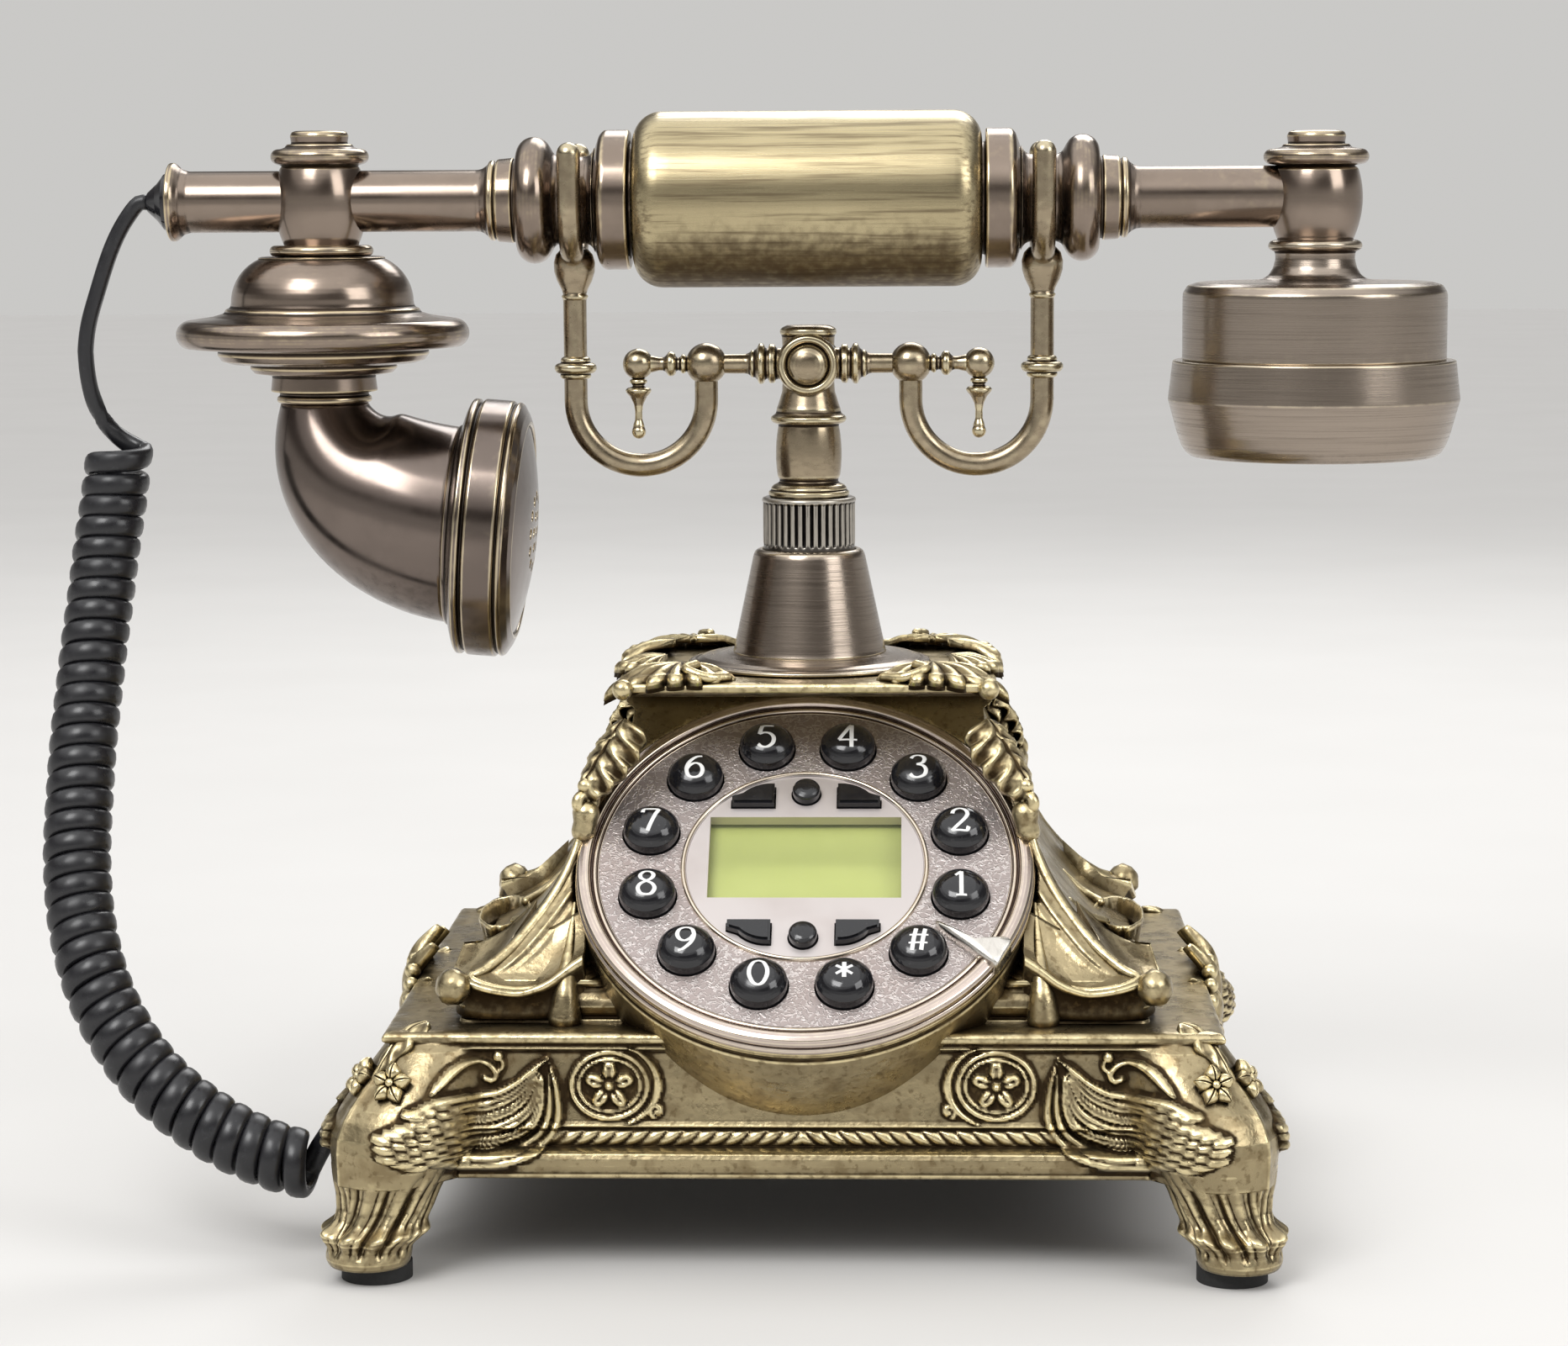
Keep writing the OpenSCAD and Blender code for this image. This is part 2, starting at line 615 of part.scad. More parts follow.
module cradle_post() color("darkkhaki") {
    rotate_extrude() polygon(concat(
        [[0, rod_end_z], [plunger_r, rod_end_z], [plunger_r, sleeve_top - sleeve_len],
         [spigot_r, sleeve_top - sleeve_len], [spigot_r, sleeve_top], [8.8, sleeve_top],
         [9, sleeve_top + 1.2], [8.4, sleeve_top + 2.2], [7.2, sleeve_top + 2.8]],
        arc([-6, sleeve_top + 9.6], 13.4, -26, 26, 6),
        [[6.2, post_ring_z - 0.4], [8.4, post_ring_z], [8.4, post_ring_z + 1.6], [7, post_ring_z + 2.4],
         [5.8, arm_z - 6.4], [6.2, arm_z + 6.6], [6.2, arm_z + 7.6], [5.2, arm_z + 8.4],
             [0, arm_z + 8.4]]));
    translate([0, 0, arm_z]) {
        rotate([90, 0, 0]) cylinder(r = 6.9, h = 15.4, center = true);
        rotate([0, 90, 0]) cylinder(r = 3.4, h = 2 * boss_x, center = true);
        for (side = [-1, 1]) translate([0, side * 3.6, 0]) intersection() {
            sphere(r = 6.2);
            rotate([90, 0, 0]) cylinder(r = 4.9, h = 20, center = true);
        }
    }
}

// One side of the cradle: arm, balls, hanging finial, bent rod, upright and the forked saddle.
module fork(side) color("darkkhaki") mirror([side < 0 ? 1 : 0, 0, 0]) {
    translate([0, 0, arm_z]) rotate([0, 90, 0]) rotate_extrude() polygon([
        [0, boss_x], [3.5, boss_x], [3.7, 9.6], [4.5, 10], [4.5, 11.4], [3, 12.2], [2.2, 13],
        [2.2, ball_x], [1.5, ball_x], [1.5, 29.6], [2.6, 30], [2.6, 32], [1.5, 32.4],
        [1.5, finial_x], [0, finial_x]]);
    translate([ball_x, 0, arm_z]) sphere(r = 4.6);
    translate([finial_x, 0, arm_z]) {
        sphere(r = 3.4);
        rotate_extrude() polygon([[0, -2], [1.3, -2], [1.3, -5], [2.8, -5.6], [2.4, -6.6],
            [0.8, -10.4], [0.8, -14.6], [0, -14.6]]);
        translate([0, 0, -15.2]) sphere(r = 1.5);
    }
    translate([ball_x, 0, bend_z - eps]) cylinder(r = rod_r, h = arm_z - bend_z);
    translate([bend_x, 0, bend_z]) rotate([-90, 0, 0])
        rotate_extrude(angle = 180) translate([bend_r, 0]) circle(r = rod_r);
    translate([fork_x, 0, 0]) rotate_extrude()
        polygon([[0, bend_z - eps], [rod_r, bend_z - eps], [rod_r, arm_z - 3.4],
        [3.2, arm_z - 3], [3.2, arm_z - 2.4], [4.5, arm_z - 2], [4.5, arm_z - 0.2], [3.2, arm_z + 0.2],
        [3.2, arm_z + 0.8], [rod_r - 0.3, arm_z + 1.6], [rod_r - 0.3, axis_z - saddle_r],
            [0, axis_z - saddle_r]]);
    translate([fork_x, 0, axis_z]) {
        translate([0, 0, -saddle_r - 2.2]) sphere(r = 4.3);
        rotate([0, 90, 0]) rotate([0, 0, -90]) rotate_extrude(angle = 180)
            translate([saddle_r, 0]) circle(r = rod_r);
        for (front = [-1, 1]) translate([0, front * saddle_r, -eps]) {
            cylinder(r = rod_r, h = 10);
            translate([0, 0, 10]) sphere(r = rod_r);
        }
    }
}

// ---------- handset ----------

module grip_barrel() color("darkkhaki") {
    round_r = 6;
    end_bore = 9 + fit;
    half = concat([[end_bore, grip_end]], [[grip_r - round_r - 0.6, grip_end]],
        arc([grip_r - round_r, grip_end - round_r], round_r, 84, 0, 6));
    inner = grip_r - grip_wall;
    translate([0, 0, axis_z]) rotate([0, 90, 0]) rotate_extrude() polygon(concat(
        half, [for (i = [len(half) - 1 : -1 : 0]) [half[i][0], -half[i][1]]],
        [[end_bore, -grip_end + 3.5], [inner, -grip_end + 3.5 + round_r / 2],
            [inner, grip_end - 3.5 - round_r / 2],
         [end_bore, grip_end - 3.5]]));
}

module grip_collars() color("tan") for (side = [-1, 1]) turned_out(side, [
    [joint_r + fit, grip_end - 5], [9, grip_end - 5], [9, grip_end], [ferrule_r - 3, grip_end],
    [ferrule_r - 3, grip_end + 0.7], [ferrule_r, grip_end + 0.9], [ferrule_r, neck_in - 1.4],
    [ferrule_r - 2.6, neck_in], [joint_r + fit, neck_in]]);

// The outline shared by both stems, from the spigot in the ferrule to the plain tube.
function stem_points(last) = concat(
    [[wire_r, grip_end - 6], [joint_r, grip_end - 6], [joint_r, neck_in], [neck_r + 0.8, neck_in],
     [neck_r, neck_in + 1.6], [neck_r, neck_out - 1], [neck_r + 1.6, neck_out]],
    arc([bead_r - 3.9, neck_out + 3.9], 3.9, -60, 75, 6),
    [[10.4, bead_out - 0.4], [8.8, bead_out], [8.8, bead_out + 0.8], [9.3, bead_out + 1],
        [9.3, tube_in - 2],
     [8.4, tube_in - 1.8], [8.8, tube_in - 1.4], [8.8, tube_in - 0.4], [tube_r + 0.4, tube_in + 0.6],
     [tube_r, tube_in + 1.4], [tube_r, last]]);

module tee_body(x) {
    low = -asin((tee_bottom + bulge_z) / bulge_r);
    high = asin((tee_top - bulge_z) / bulge_r);
    side = arc([tee_r - bulge_r, bulge_z], bulge_r, low, high, 8);
    turned_down(x, concat([[0, -tee_bottom]], side, [[0, tee_top]]));
}

module left_stem() color("rosybrown") difference() {
    union() {
        turned_out(-1, concat(stem_points(tail_end - 2), [[tube_r + 0.6, tail_end - 1.2],
            [tube_r + 1.8, tail_end], [tube_r + 1.8, tail_end + 1.6], [wire_r, tail_end + 1.6]]));
        tee_body(-mouth_x);
    }
    translate([-mouth_x, 0, axis_z]) cylinder(r = bolt_r + fit, h = 40, center = true);
}

module right_stem() color("rosybrown") difference() {
    union() {
        turned_out(1, concat(stem_points(ear_x), [[wire_r, ear_x]]));
        tee_body(ear_x);
    }
    translate([ear_x, 0, axis_z]) cylinder(r = bolt_r + fit, h = 40, center = true);
}

// A flanged cap and its tie bolt, down through a tee.
function mount_points(r, length) = concat(
    [[0, -length], [bolt_r, -length], [bolt_r, tee_top], [r - 1.4, tee_top]],
    arc([r - 1.9, tee_top + 2.1], 1.9, -50, 50, 4),
    [[7.4, tee_top + 4.2], [6.4, tee_top + 4.4], [6.4, tee_top + 7], [5.6, tee_top + 7.6],
     [4.8, tee_top + 7.6], [4.6, tee_top + 7.2], [0, tee_top + 7.2]]);

module mouthpiece_mount() color("peru") turned_down(-mouth_x, mount_points(10.9, 22));

module earpiece_mount() color("peru") turned_down(ear_x, mount_points(11.6, ear_top + 3));

module mouthpiece_shroud() color("rosybrown") turned_down(-mouth_x, concat(
    [[bolt_r + fit, -shroud_bottom], [10.4, -shroud_bottom], [10.4, -shroud_bottom + 1.8],
        [11.7, -shroud_bottom + 2.4],
     [11.7, -39], [16, -38.6], [16, -36.2], [23, -35.6], [24, -33], [shroud_r - 5, -32.6]],
    arc([shroud_r - 3.2, -29.4], 3.2, -80, 80, 6),
    [[shroud_r - 5, -26], [21.5, -24.6], [20.4, -23.4]],
    arc([9.4, -22.8], 11, 0, 62, 6),
    [[13.6, -12.6], [11.2, -12.4], [11.4, -11.2], [10.4, -tee_bottom], [bolt_r + fit, -tee_bottom],
     [bolt_r + fit, -23], [8, -27], [8, -36], [bolt_r + fit, -40]]));

// The horn's centre line is a Bezier curve from straight down to its tilted mouth.
function bezier(p, t) = pow(1 - t, 3) * p[0] + 3 * pow(1 - t, 2) * t * p[1]
    + 3 * (1 - t) * t * t * p[2] + pow(t, 3) * p[3];

module horn_solid(shrink, over) {
    rings = 14;
    n = 32;
    p = [[0, 0], [0, -14], [9, -horn_dz + 3 ], [horn_dx, -horn_dz]];
    points = [for (i = [0 : rings])
        let (t = i / rings,
             c = bezier(p, t),
             angle = -90 + (90 - horn_tilt) * pow(sin(90 * t), 1.15),
             r = horn_r0 + (horn_r1 - horn_r0) * sin(90 * pow(t, 1.05)) - shrink,
             slip = i == 0 ? -over : i == rings ? over : 0,
             along = [cos(angle), sin(angle)],
             across = [-sin(angle), cos(angle)],
             q = c + slip * along)
        for (k = [0 : n - 1])
            [q[0] + r * cos(360 * k / n) * across[0], r * sin(360 * k / n),
                q[1] + r * cos(360 * k / n) * across[1]]];
    faces = concat(
        [[for (k = [n - 1 : -1 : 0]) k]],
        [for (i = [0 : rings - 1]) for (k = [0 : n - 1])
            [i * n + k, i * n + (k + 1) % n, (i + 1) * n + (k + 1) % n, (i + 1) * n + k]],
        [[for (k = [0 : n - 1]) rings * n + k]]);
    polyhedron(points, faces, convexity = 6);
}

module mouthpiece_horn() color("rosybrown") translate([-mouth_x, 0, axis_z - shroud_bottom])
    difference() {
    horn_solid(0, 0);
    horn_solid(horn_wall, 1);
}

// The frame of the mouthpiece's cap: its height runs along the horn's mouth.
module mouth_frame() {
    translate([-mouth_x + horn_dx, 0, axis_z - shroud_bottom - horn_dz])
        rotate([0, 90 + horn_tilt, 0]) children();
}

module mouthpiece_cap() color("rosybrown") mouth_frame() difference() {
    rotate_extrude() polygon([[horn_r1 - horn_wall, 0], [horn_r1 + 0.6, 0],
        [mouth_cap_r - 2, 2.6], [mouth_cap_r, 3.2],
        [mouth_cap_r, 5], [mouth_cap_r - 0.5, 5.3], [mouth_cap_r - 0.5, 5.9], [mouth_cap_r, 6.2],
        [mouth_cap_r, 9.4], [mouth_cap_r - 0.5, 9.7], [mouth_cap_r - 0.5, 10.3], [mouth_cap_r, 10.6],
        [mouth_cap_r, 13], [mouth_cap_r - 2.4, mouth_cap_t], [18, mouth_cap_t + 2],
            [8, mouth_cap_t + 2.8], [0, mouth_cap_t + 3],
        [0, mouth_cap_t + 1], [8, mouth_cap_t + 0.8], [18, mouth_cap_t], [mouth_cap_r - 4, 12.6],
        [mouth_cap_r - 3, 5], [horn_r1 - horn_wall, 2]]);
    for (ring = [0 : 2]) for (i = [0 : max(0, 6 * ring - 1)])
        rotate(ring == 0 ? 0 : 60 * i / ring) translate([4 * ring, 0, mouth_cap_t - 2])
            cylinder(r = 0.9, h = 8);
}

module microphone() color("dimgray") mouth_frame() {
    translate([0, 0, mouth_cap_t - 6]) cylinder(r = 5, h = 6.5);
    translate([0, 0, mouth_cap_t - 7]) cylinder(r = 12, h = 1.5);
    difference() {
        translate([0, 0, mouth_cap_t - 7]) cylinder(r = 12, h = 7.2);
        translate([0, 0, mouth_cap_t - 6]) cylinder(r = 10.4, h = 9);
    }
}

module earpiece_cup() color("tan") turned_down(ear_x, [
    [bolt_r + fit, -tee_bottom], [10, -tee_bottom], [10, -tee_bottom - 1.6],
        [8.8, -tee_bottom - 2.2], [8.8, -14],
    [9.6, -17], [10.6, -ear_top + 0.2], [ear_r - 2.4, -ear_top], [ear_r - 0.6, -ear_top - 0.8],
        [ear_r, -ear_top - 2.6],
    [ear_r, -ear_rim], [ear_r - 1, -ear_rim], [ear_r - 1, -ear_rim - 4], [ear_r - 2.6, -ear_rim - 4],
    [ear_r - 2.6, -ear_top - 2.4], [bolt_r + 4, -ear_top - 2.4], [bolt_r + fit, -ear_top - 2.4]]);

module earpiece_cap() color("tan") difference() {
    turned_down(ear_x, [
        [ear_r - 1 + fit, -ear_rim], [ear_r + 2.1, -ear_rim], [ear_r + 3.1, -ear_rim - 8.6],
        [ear_r - 0.1, -ear_rim - ear_cap_h + 1.6], [ear_r - 1.6, -ear_rim - ear_cap_h],
            [ear_r - 6, -ear_rim - ear_cap_h],
        [10, -ear_rim - ear_cap_h + 2], [0, -ear_rim - ear_cap_h + 2.2],
        [0, -ear_rim - ear_cap_h + 4], [ear_r - 6, -ear_rim - ear_cap_h + 2.4],
            [ear_r - 3, -ear_rim - ear_cap_h + 4],
        [ear_r - 1 + fit, -ear_rim - 8]]);
    for (ring = [0 : 2]) for (i = [0 : max(0, 6 * ring - 1)])
        translate([ear_x, 0, axis_z - ear_rim - ear_cap_h]) rotate(ring == 0 ? 0 : 60 * i / ring)
            translate([4.5 * ring, 0, -2]) cylinder(r = 1, h = 10);
}

module earpiece_speaker() color("dimgray") turned_down(ear_x, [
    [0, -ear_rim - ear_cap_h + 4.3], [11, -ear_rim - ear_cap_h + 3.9], [20, -ear_rim - ear_cap_h + 3],
    [20, -ear_rim - ear_cap_h + 6], [12, -ear_rim - ear_cap_h + 9], [12, -ear_rim - ear_cap_h + 13],
    [0, -ear_rim - ear_cap_h + 13]]);

// ---------- cord ----------

module cord_gland() color("black") turned_out(-1, [
    [0, tail_end - 6], [wire_r - fit, tail_end - 6], [wire_r - fit, tail_end + 1.6],
        [tube_r - 0.2, tail_end + 1.6],
    [tube_r - 0.6, tail_end + 2.6], [4.2, tail_end + 4.2], [cord_d / 2 + 0.5, tail_end + gland_len],
    [0, tail_end + gland_len]]);

module cord_lead() color("black")
    swept(lead_route, cord_d / 2, 8, first = [-1, 0, 0], last = heading(coil_route, 0));

module cord_coil() color("black") swept(coil_route, coil_d / 2, 12, last = [1, 0, 0]);

module cord_tail() color("black") swept(tail_route, cord_d / 2, 8, first = [1, 0, 0], last = [1, 0, 0]);

module cord_plug() color("lightgray") {
    tip = tail_route[len(tail_route) - 1];
    translate([0, tip[1], tip[2]]) {
        block([-base_w / 2 - 6, -3.8, -3.2], [-inner_w + 3, 3.8, 3.2]);
        translate([tip[0], 0, 0]) rotate([0, 90, 0])
            cylinder(r1 = cord_d / 2 + 0.4, r2 = 3, h = -base_w / 2 - 5.9 - tip[0]);
    }
}

base_shell();
bottom_plate();
screws();
rubber_feet();
face_plate();
face_bezel();
finger_stop();
display_lens();
display_panel();
keypad_mat();
keypad_board();
main_board();
ringer();
line_jack();
cord_jack();
hook_switch();
mast_cone();
mast_flange();
mast_nut();
cradle_spring();
number_key(0);  // key_1
number_key(1);  // key_2
number_key(2);  // key_3
number_key(3);  // key_4
number_key(4);  // key_5
number_key(5);  // key_6
number_key(6);  // key_7
number_key(7);  // key_8
number_key(8);  // key_9
number_key(9);  // key_0
number_key(10);  // key_star
number_key(11);  // key_hash
wing_key(1, 0);  // key_upper_left
wing_key(0, 0);  // key_upper_right
wing_key(1, 1);  // key_lower_left
wing_key(0, 1);  // key_lower_right
small_round_key(1);  // key_top_round
small_round_key(-1);  // key_bottom_round
hook_sleeve();
cradle_post();
fork(-1);  // left_fork
fork(1);  // right_fork
grip_barrel();
grip_collars();
left_stem();
right_stem();
mouthpiece_mount();
mouthpiece_shroud();
mouthpiece_horn();
mouthpiece_cap();
microphone();
earpiece_mount();
earpiece_cup();
earpiece_cap();
earpiece_speaker();
cord_gland();
cord_lead();
cord_coil();
cord_tail();
cord_plug();
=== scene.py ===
import math

import bmesh
import bpy
import numpy as np
from mathutils import Matrix, Vector


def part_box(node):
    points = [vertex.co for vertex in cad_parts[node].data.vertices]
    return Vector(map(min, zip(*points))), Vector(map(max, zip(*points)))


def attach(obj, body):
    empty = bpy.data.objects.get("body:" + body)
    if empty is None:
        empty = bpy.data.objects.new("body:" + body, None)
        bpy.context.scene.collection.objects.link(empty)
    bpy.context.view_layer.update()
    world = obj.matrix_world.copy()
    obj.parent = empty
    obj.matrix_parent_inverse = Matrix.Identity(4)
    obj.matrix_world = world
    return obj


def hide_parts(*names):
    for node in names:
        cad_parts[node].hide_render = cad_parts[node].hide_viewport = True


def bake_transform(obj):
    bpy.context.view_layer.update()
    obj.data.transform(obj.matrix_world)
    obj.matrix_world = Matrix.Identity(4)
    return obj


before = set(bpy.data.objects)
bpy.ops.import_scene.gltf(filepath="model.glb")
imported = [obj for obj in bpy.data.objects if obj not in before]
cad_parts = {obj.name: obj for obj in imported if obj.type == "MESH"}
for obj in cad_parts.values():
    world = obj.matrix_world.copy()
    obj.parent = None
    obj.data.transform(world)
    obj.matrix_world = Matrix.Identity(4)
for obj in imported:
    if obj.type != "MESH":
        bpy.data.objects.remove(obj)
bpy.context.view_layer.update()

bl_info = {
    "name": "Cradle Telephone",
    "version": (1, 0, 0),
    "blender": (4, 5, 0),
    "location": "3D View > Sidebar > Telephone",
    "description": "Builds the finished surfaces of an ornamental push-button telephone",
    "category": "Add Mesh",
}

MM = 0.001
MERGE = 0.002  # points nearer than this many millimetres are one


def node_box(node):
    """The lowest and highest corners of a construction part, in millimetres."""
    low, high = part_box(node)
    return np.array(low) / MM, np.array(high) / MM


GRIP_LOW, GRIP_HIGH = node_box("grip_barrel")
AXIS_Z = float(GRIP_LOW[2] + GRIP_HIGH[2]) / 2

# Sizes of the construction in millimetres, on which the finished surfaces sit.
FERRULE_R, NECK_R, TUBE_R, TEE_BOTTOM = 15.4, 9.6, 6.8, 9.9
NECK_IN, NECK_OUT, BEAD_OUT, TAIL_END = 47.2, 56.8, 64.6, 140.8
MOUTH_X, EAR_X = 108.5, 112.2
SHROUD_R, SHROUD_END, MOUTH_CAP_R = 32.6, 44.7, 28.8
HORN_R0, HORN_R1, HORN_DX, HORN_DZ, HORN_TILT = 9.7, 22.0, 29.0, -27.6, 4.7
EAR_R, EAR_TOP, EAR_WALL, EAR_CAP = 29.1, 18.5, 17.5, 21.5
SLEEVE_TOP, SLEEVE_R, POST_RING, ARM_Z, ROD_R = 158.9, 10.3, 175.6, 188.6, 2.6
BALL_X, FINIAL_X, FORK_X, BEND_Z, SADDLE_R = 22.8, 38.0, 52.0, 180.6, 12.6
TOWER_H, FLANGE_R, FLANGE_T, CONE_R, CONE_TOP, CONE_H = 121.2, 27.2, 2.6, 16.9, 12.4, 23.5
DIAL_AT, DIAL_TILT, RIM_R = (0.0, -46.1, 83.4), 39.2, 46.05
KEY_R, KEY_RING, KEY_H = 6.05, 34.5, 5.0
BASE_X, BASE_Y = 88.0, 70.0


# ---------------------------------------------------------------- sizes and colours


class TelephoneSizes(bpy.types.PropertyGroup):
    """Sizes in metres that a user would change."""

    coil_turns: bpy.props.IntProperty(
        name="Coil Turns", description="Turns in the handset cord's coil", default=38, min=20, max=60
    )
    cord_thickness: bpy.props.FloatProperty(
        name="Cord Thickness", description="Thickness of the cord, which is flattened in the coil",
        default=0.0035, min=0.0025, max=0.004, unit="LENGTH",
    )
    coil_diameter: bpy.props.FloatProperty(
        name="Coil Diameter", description="Outer diameter of the coil", default=0.015, min=0.012, max=0.018,
        unit="LENGTH",
    )


class TelephoneFinishes(bpy.types.PropertyGroup):
    """Colours of the main finishes."""

    bronze: bpy.props.FloatVectorProperty(
        name="Antique Bronze", description="Tubes, shroud, horn and bezel", subtype="COLOR", size=3,
        default=(0.27, 0.216, 0.176), min=0, max=1,
    )
    brass: bpy.props.FloatVectorProperty(
        name="Antique Brass", description="Grip, cradle and mast", subtype="COLOR", size=3,
        default=(0.52, 0.44, 0.265), min=0, max=1,
    )
    gold: bpy.props.FloatVectorProperty(
        name="Antique Gold", description="Ornament of the base", subtype="COLOR", size=3,
        default=(0.39, 0.318, 0.185), min=0, max=1,
    )
    cord: bpy.props.FloatVectorProperty(
        name="Cord", description="Vinyl jacket of the cord", subtype="COLOR", size=3,
        default=(0.012, 0.012, 0.014), min=0, max=1,
    )


def sizes():
    """The scene's own sizes."""
    return bpy.context.scene.telephone_sizes


def finishes():
    """The scene's own colours."""
    return bpy.context.scene.telephone_finishes


# ---------------------------------------------------------------- surfaces


def unit(v):
    """Vectors scaled to length one along the last axis."""
    return v / np.maximum(np.linalg.norm(v, axis=-1, keepdims=True), 1e-12)


def smoothstep(low, high, x):
    """Zero below low, one above high, and 3t^2 - 2t^3 between."""
    t = np.clip((x - low) / (high - low), 0, 1)
    return t * t * (3 - 2 * t)


def flowing(points, per=8):
    """A Catmull-Rom curve through the points: each stretch is the cubic whose slope at a point is half the
    step between its neighbours, sampled per times."""
    p = np.asarray(points, float)
    q = np.vstack([2 * p[0] - p[1], p, 2 * p[-1] - p[-2]])
    a, b, c, d = q[:-3, None], q[1:-2, None], q[2:-1, None], q[3:, None]
    t = np.linspace(0, 1, per, endpoint=False)[None, :, None]
    stretch = 0.5 * (2 * b + (c - a) * t + (2 * a - 5 * b + 4 * c - d) * t**2 + (3 * b - a - 3 * c + d) * t**3)
    return np.vstack([stretch.reshape(-1, p.shape[1]), p[-1:]])


def run_of(path):
    """Distance along a path to each of its points."""
    return np.concatenate([[0], np.cumsum(np.linalg.norm(np.diff(path, axis=0), axis=1))])


def at_runs(path, runs):
    """Points of a path at the given distances along it."""
    total = run_of(path)
    return np.stack([np.interp(runs, total, path[:, k]) for k in range(path.shape[1])], axis=1)


def evenly(path, step):
    """The path sampled about every step."""
    length = run_of(path)[-1]
    return at_runs(path, np.linspace(0, length, max(2, int(round(length / step)) + 1)))


def headings(path):
    """Unit direction of travel at each point of a path."""
    return unit(np.gradient(path, axis=0))


def softened(path, passes, weight=0.5):
    """The path with each inner point moved towards the middle of its neighbours, a few times over."""
    p = path.copy()
    for _ in range(passes):
        p[1:-1] += weight * (0.5 * (p[:-2] + p[2:]) - p[1:-1])
    return p


def carried(path, outward, section):
    """A section carried along a path. outward is a direction near each point's own outward side; the section
    is (rings, points, 2): how far along outward, and how far along the side that completes the frame."""
    t = headings(path)
    n = unit(outward - np.sum(outward * t, axis=1, keepdims=True) * t)
    b = np.cross(t, n)
    return path[:, None] + section[..., :1] * n[:, None] + section[..., 1:] * b[:, None]


def rounded(points, radius=0.4, steps=3):
    """A profile whose inner corners are rounded: each corner gives way to a parabola that touches both sides
    a radius away, and a further point on each side keeps the flats flat."""
    p = np.asarray(points, float)
    before, corner, after = p[:-2], p[1:-1], p[2:]
    to_before, to_after = before - corner, after - corner
    length_a = np.linalg.norm(to_before, axis=1, keepdims=True)
    length_b = np.linalg.norm(to_after, axis=1, keepdims=True)
    reach = np.minimum(radius, 0.4 * np.minimum(length_a, length_b))
    start, end = corner + to_before / length_a * reach, corner + to_after / length_b * reach
    s = np.linspace(0, 1, steps + 1)[None, :, None]
    curve = (1 - s) ** 2 * start[:, None] + 2 * s * (1 - s) * corner[:, None] + s**2 * end[:, None]
    guard_a = corner + to_before / length_a * np.minimum(1.7 * reach, 0.49 * length_a)
    guard_b = corner + to_after / length_b * np.minimum(1.7 * reach, 0.49 * length_b)
    inner = np.concatenate([guard_a[:, None], curve, guard_b[:, None]], axis=1)
    return np.vstack([p[:1], inner.reshape(-1, 2), p[-1:]])


def bow(centre, radius, start, end, steps=8):
    """Points of a circle's arc, with angles in degrees, as (distance, radius) pairs."""
    a = np.radians(np.linspace(start, end, steps + 1))
    return [(centre[0] + radius * s, centre[1] + radius * c) for s, c in zip(np.sin(a), np.cos(a))]


def once_round(count):
    """Angles once round, evenly spaced."""
    return np.linspace(0, 2 * math.pi, count, endpoint=False)


def spun(profile, count):
    """A profile of (distance, radius) turned about the Z axis."""
    along, radius = np.asarray(profile, float).T
    angle = once_round(count)
    x, y = radius[:, None] * np.cos(angle), radius[:, None] * np.sin(angle)
    return np.stack([x, y, np.repeat(along[:, None], count, axis=1)], axis=-1)


def turned(profile, count=96):
    """A turned profile closed on the axis at both ends."""
    return spun([(profile[0][0], 0), *profile, (profile[-1][0], 0)], count)


def turned_ring(profile, count):
    """A turned profile closed on itself as a ring."""
    return spun([*profile, profile[0]], count)


def placed(grid, origin, right, up):
    """A grid taken from its own axes to a place: X goes along right, Y along up, and Z square to both."""
    right, up = np.array(right, float), np.array(up, float)
    return np.array(origin, float) + grid[..., :1] * right + grid[..., 1:2] * up + grid[..., 2:] * np.cross(right, up)


def tube(path, radius, outward, sides=20, tips=(True, True)):
    """A round bar along a path, its open ends closed by half balls where tips says so."""
    path = np.asarray(path, float)
    radius = np.broadcast_to(radius, (len(path),)).astype(float)
    swell = np.radians(np.linspace(90, 12, 6))
    t = headings(path)
    if tips[0]:
        path = np.vstack([path[0] - t[0] * radius[0] * np.sin(swell)[:, None], path])
        radius = np.concatenate([radius[0] * np.cos(swell), radius])
    if tips[1]:
        path = np.vstack([path, path[-1] + t[-1] * radius[-1] * np.sin(swell[::-1])[:, None]])
        radius = np.concatenate([radius, radius[-1] * np.cos(swell[::-1])])
    a = once_round(sides)
    ring = np.stack([np.cos(a), np.sin(a)], axis=-1)
    outward = np.broadcast_to(np.asarray(outward, float), (len(path), 3))
    return closed_ends(carried(path, outward, radius[:, None, None] * ring[None]))


def ball(centre, radius, sides=32):
    """A round ball with its poles up and down."""
    a = np.linspace(-90, 90, sides // 2 + 1)
    profile = np.stack([radius * np.sin(np.radians(a)), radius * np.cos(np.radians(a))], axis=-1)
    return turned(profile, sides) + np.array(centre, float)


def closed_ends(grid):
    """A tube's grid with a ring collapsed to its middle added at both ends, so that it is a closed skin."""
    first = np.repeat(grid[:1].mean(axis=1, keepdims=True), grid.shape[1], axis=1)
    last = np.repeat(grid[-1:].mean(axis=1, keepdims=True), grid.shape[1], axis=1)
    return np.concatenate([first, grid, last])


def grid_faces(rows, columns, closed, start):
    """Four-cornered faces of a grid of points, whose columns may close on themselves."""
    index = start + np.arange(rows * columns).reshape(rows, columns)
    beyond = np.roll(index, -1, axis=1)
    if not closed:
        index, beyond = index[:, :-1], beyond[:, :-1]
    return np.stack([index[:-1], index[1:], beyond[1:], beyond[:-1]], axis=-1).reshape(-1, 4)


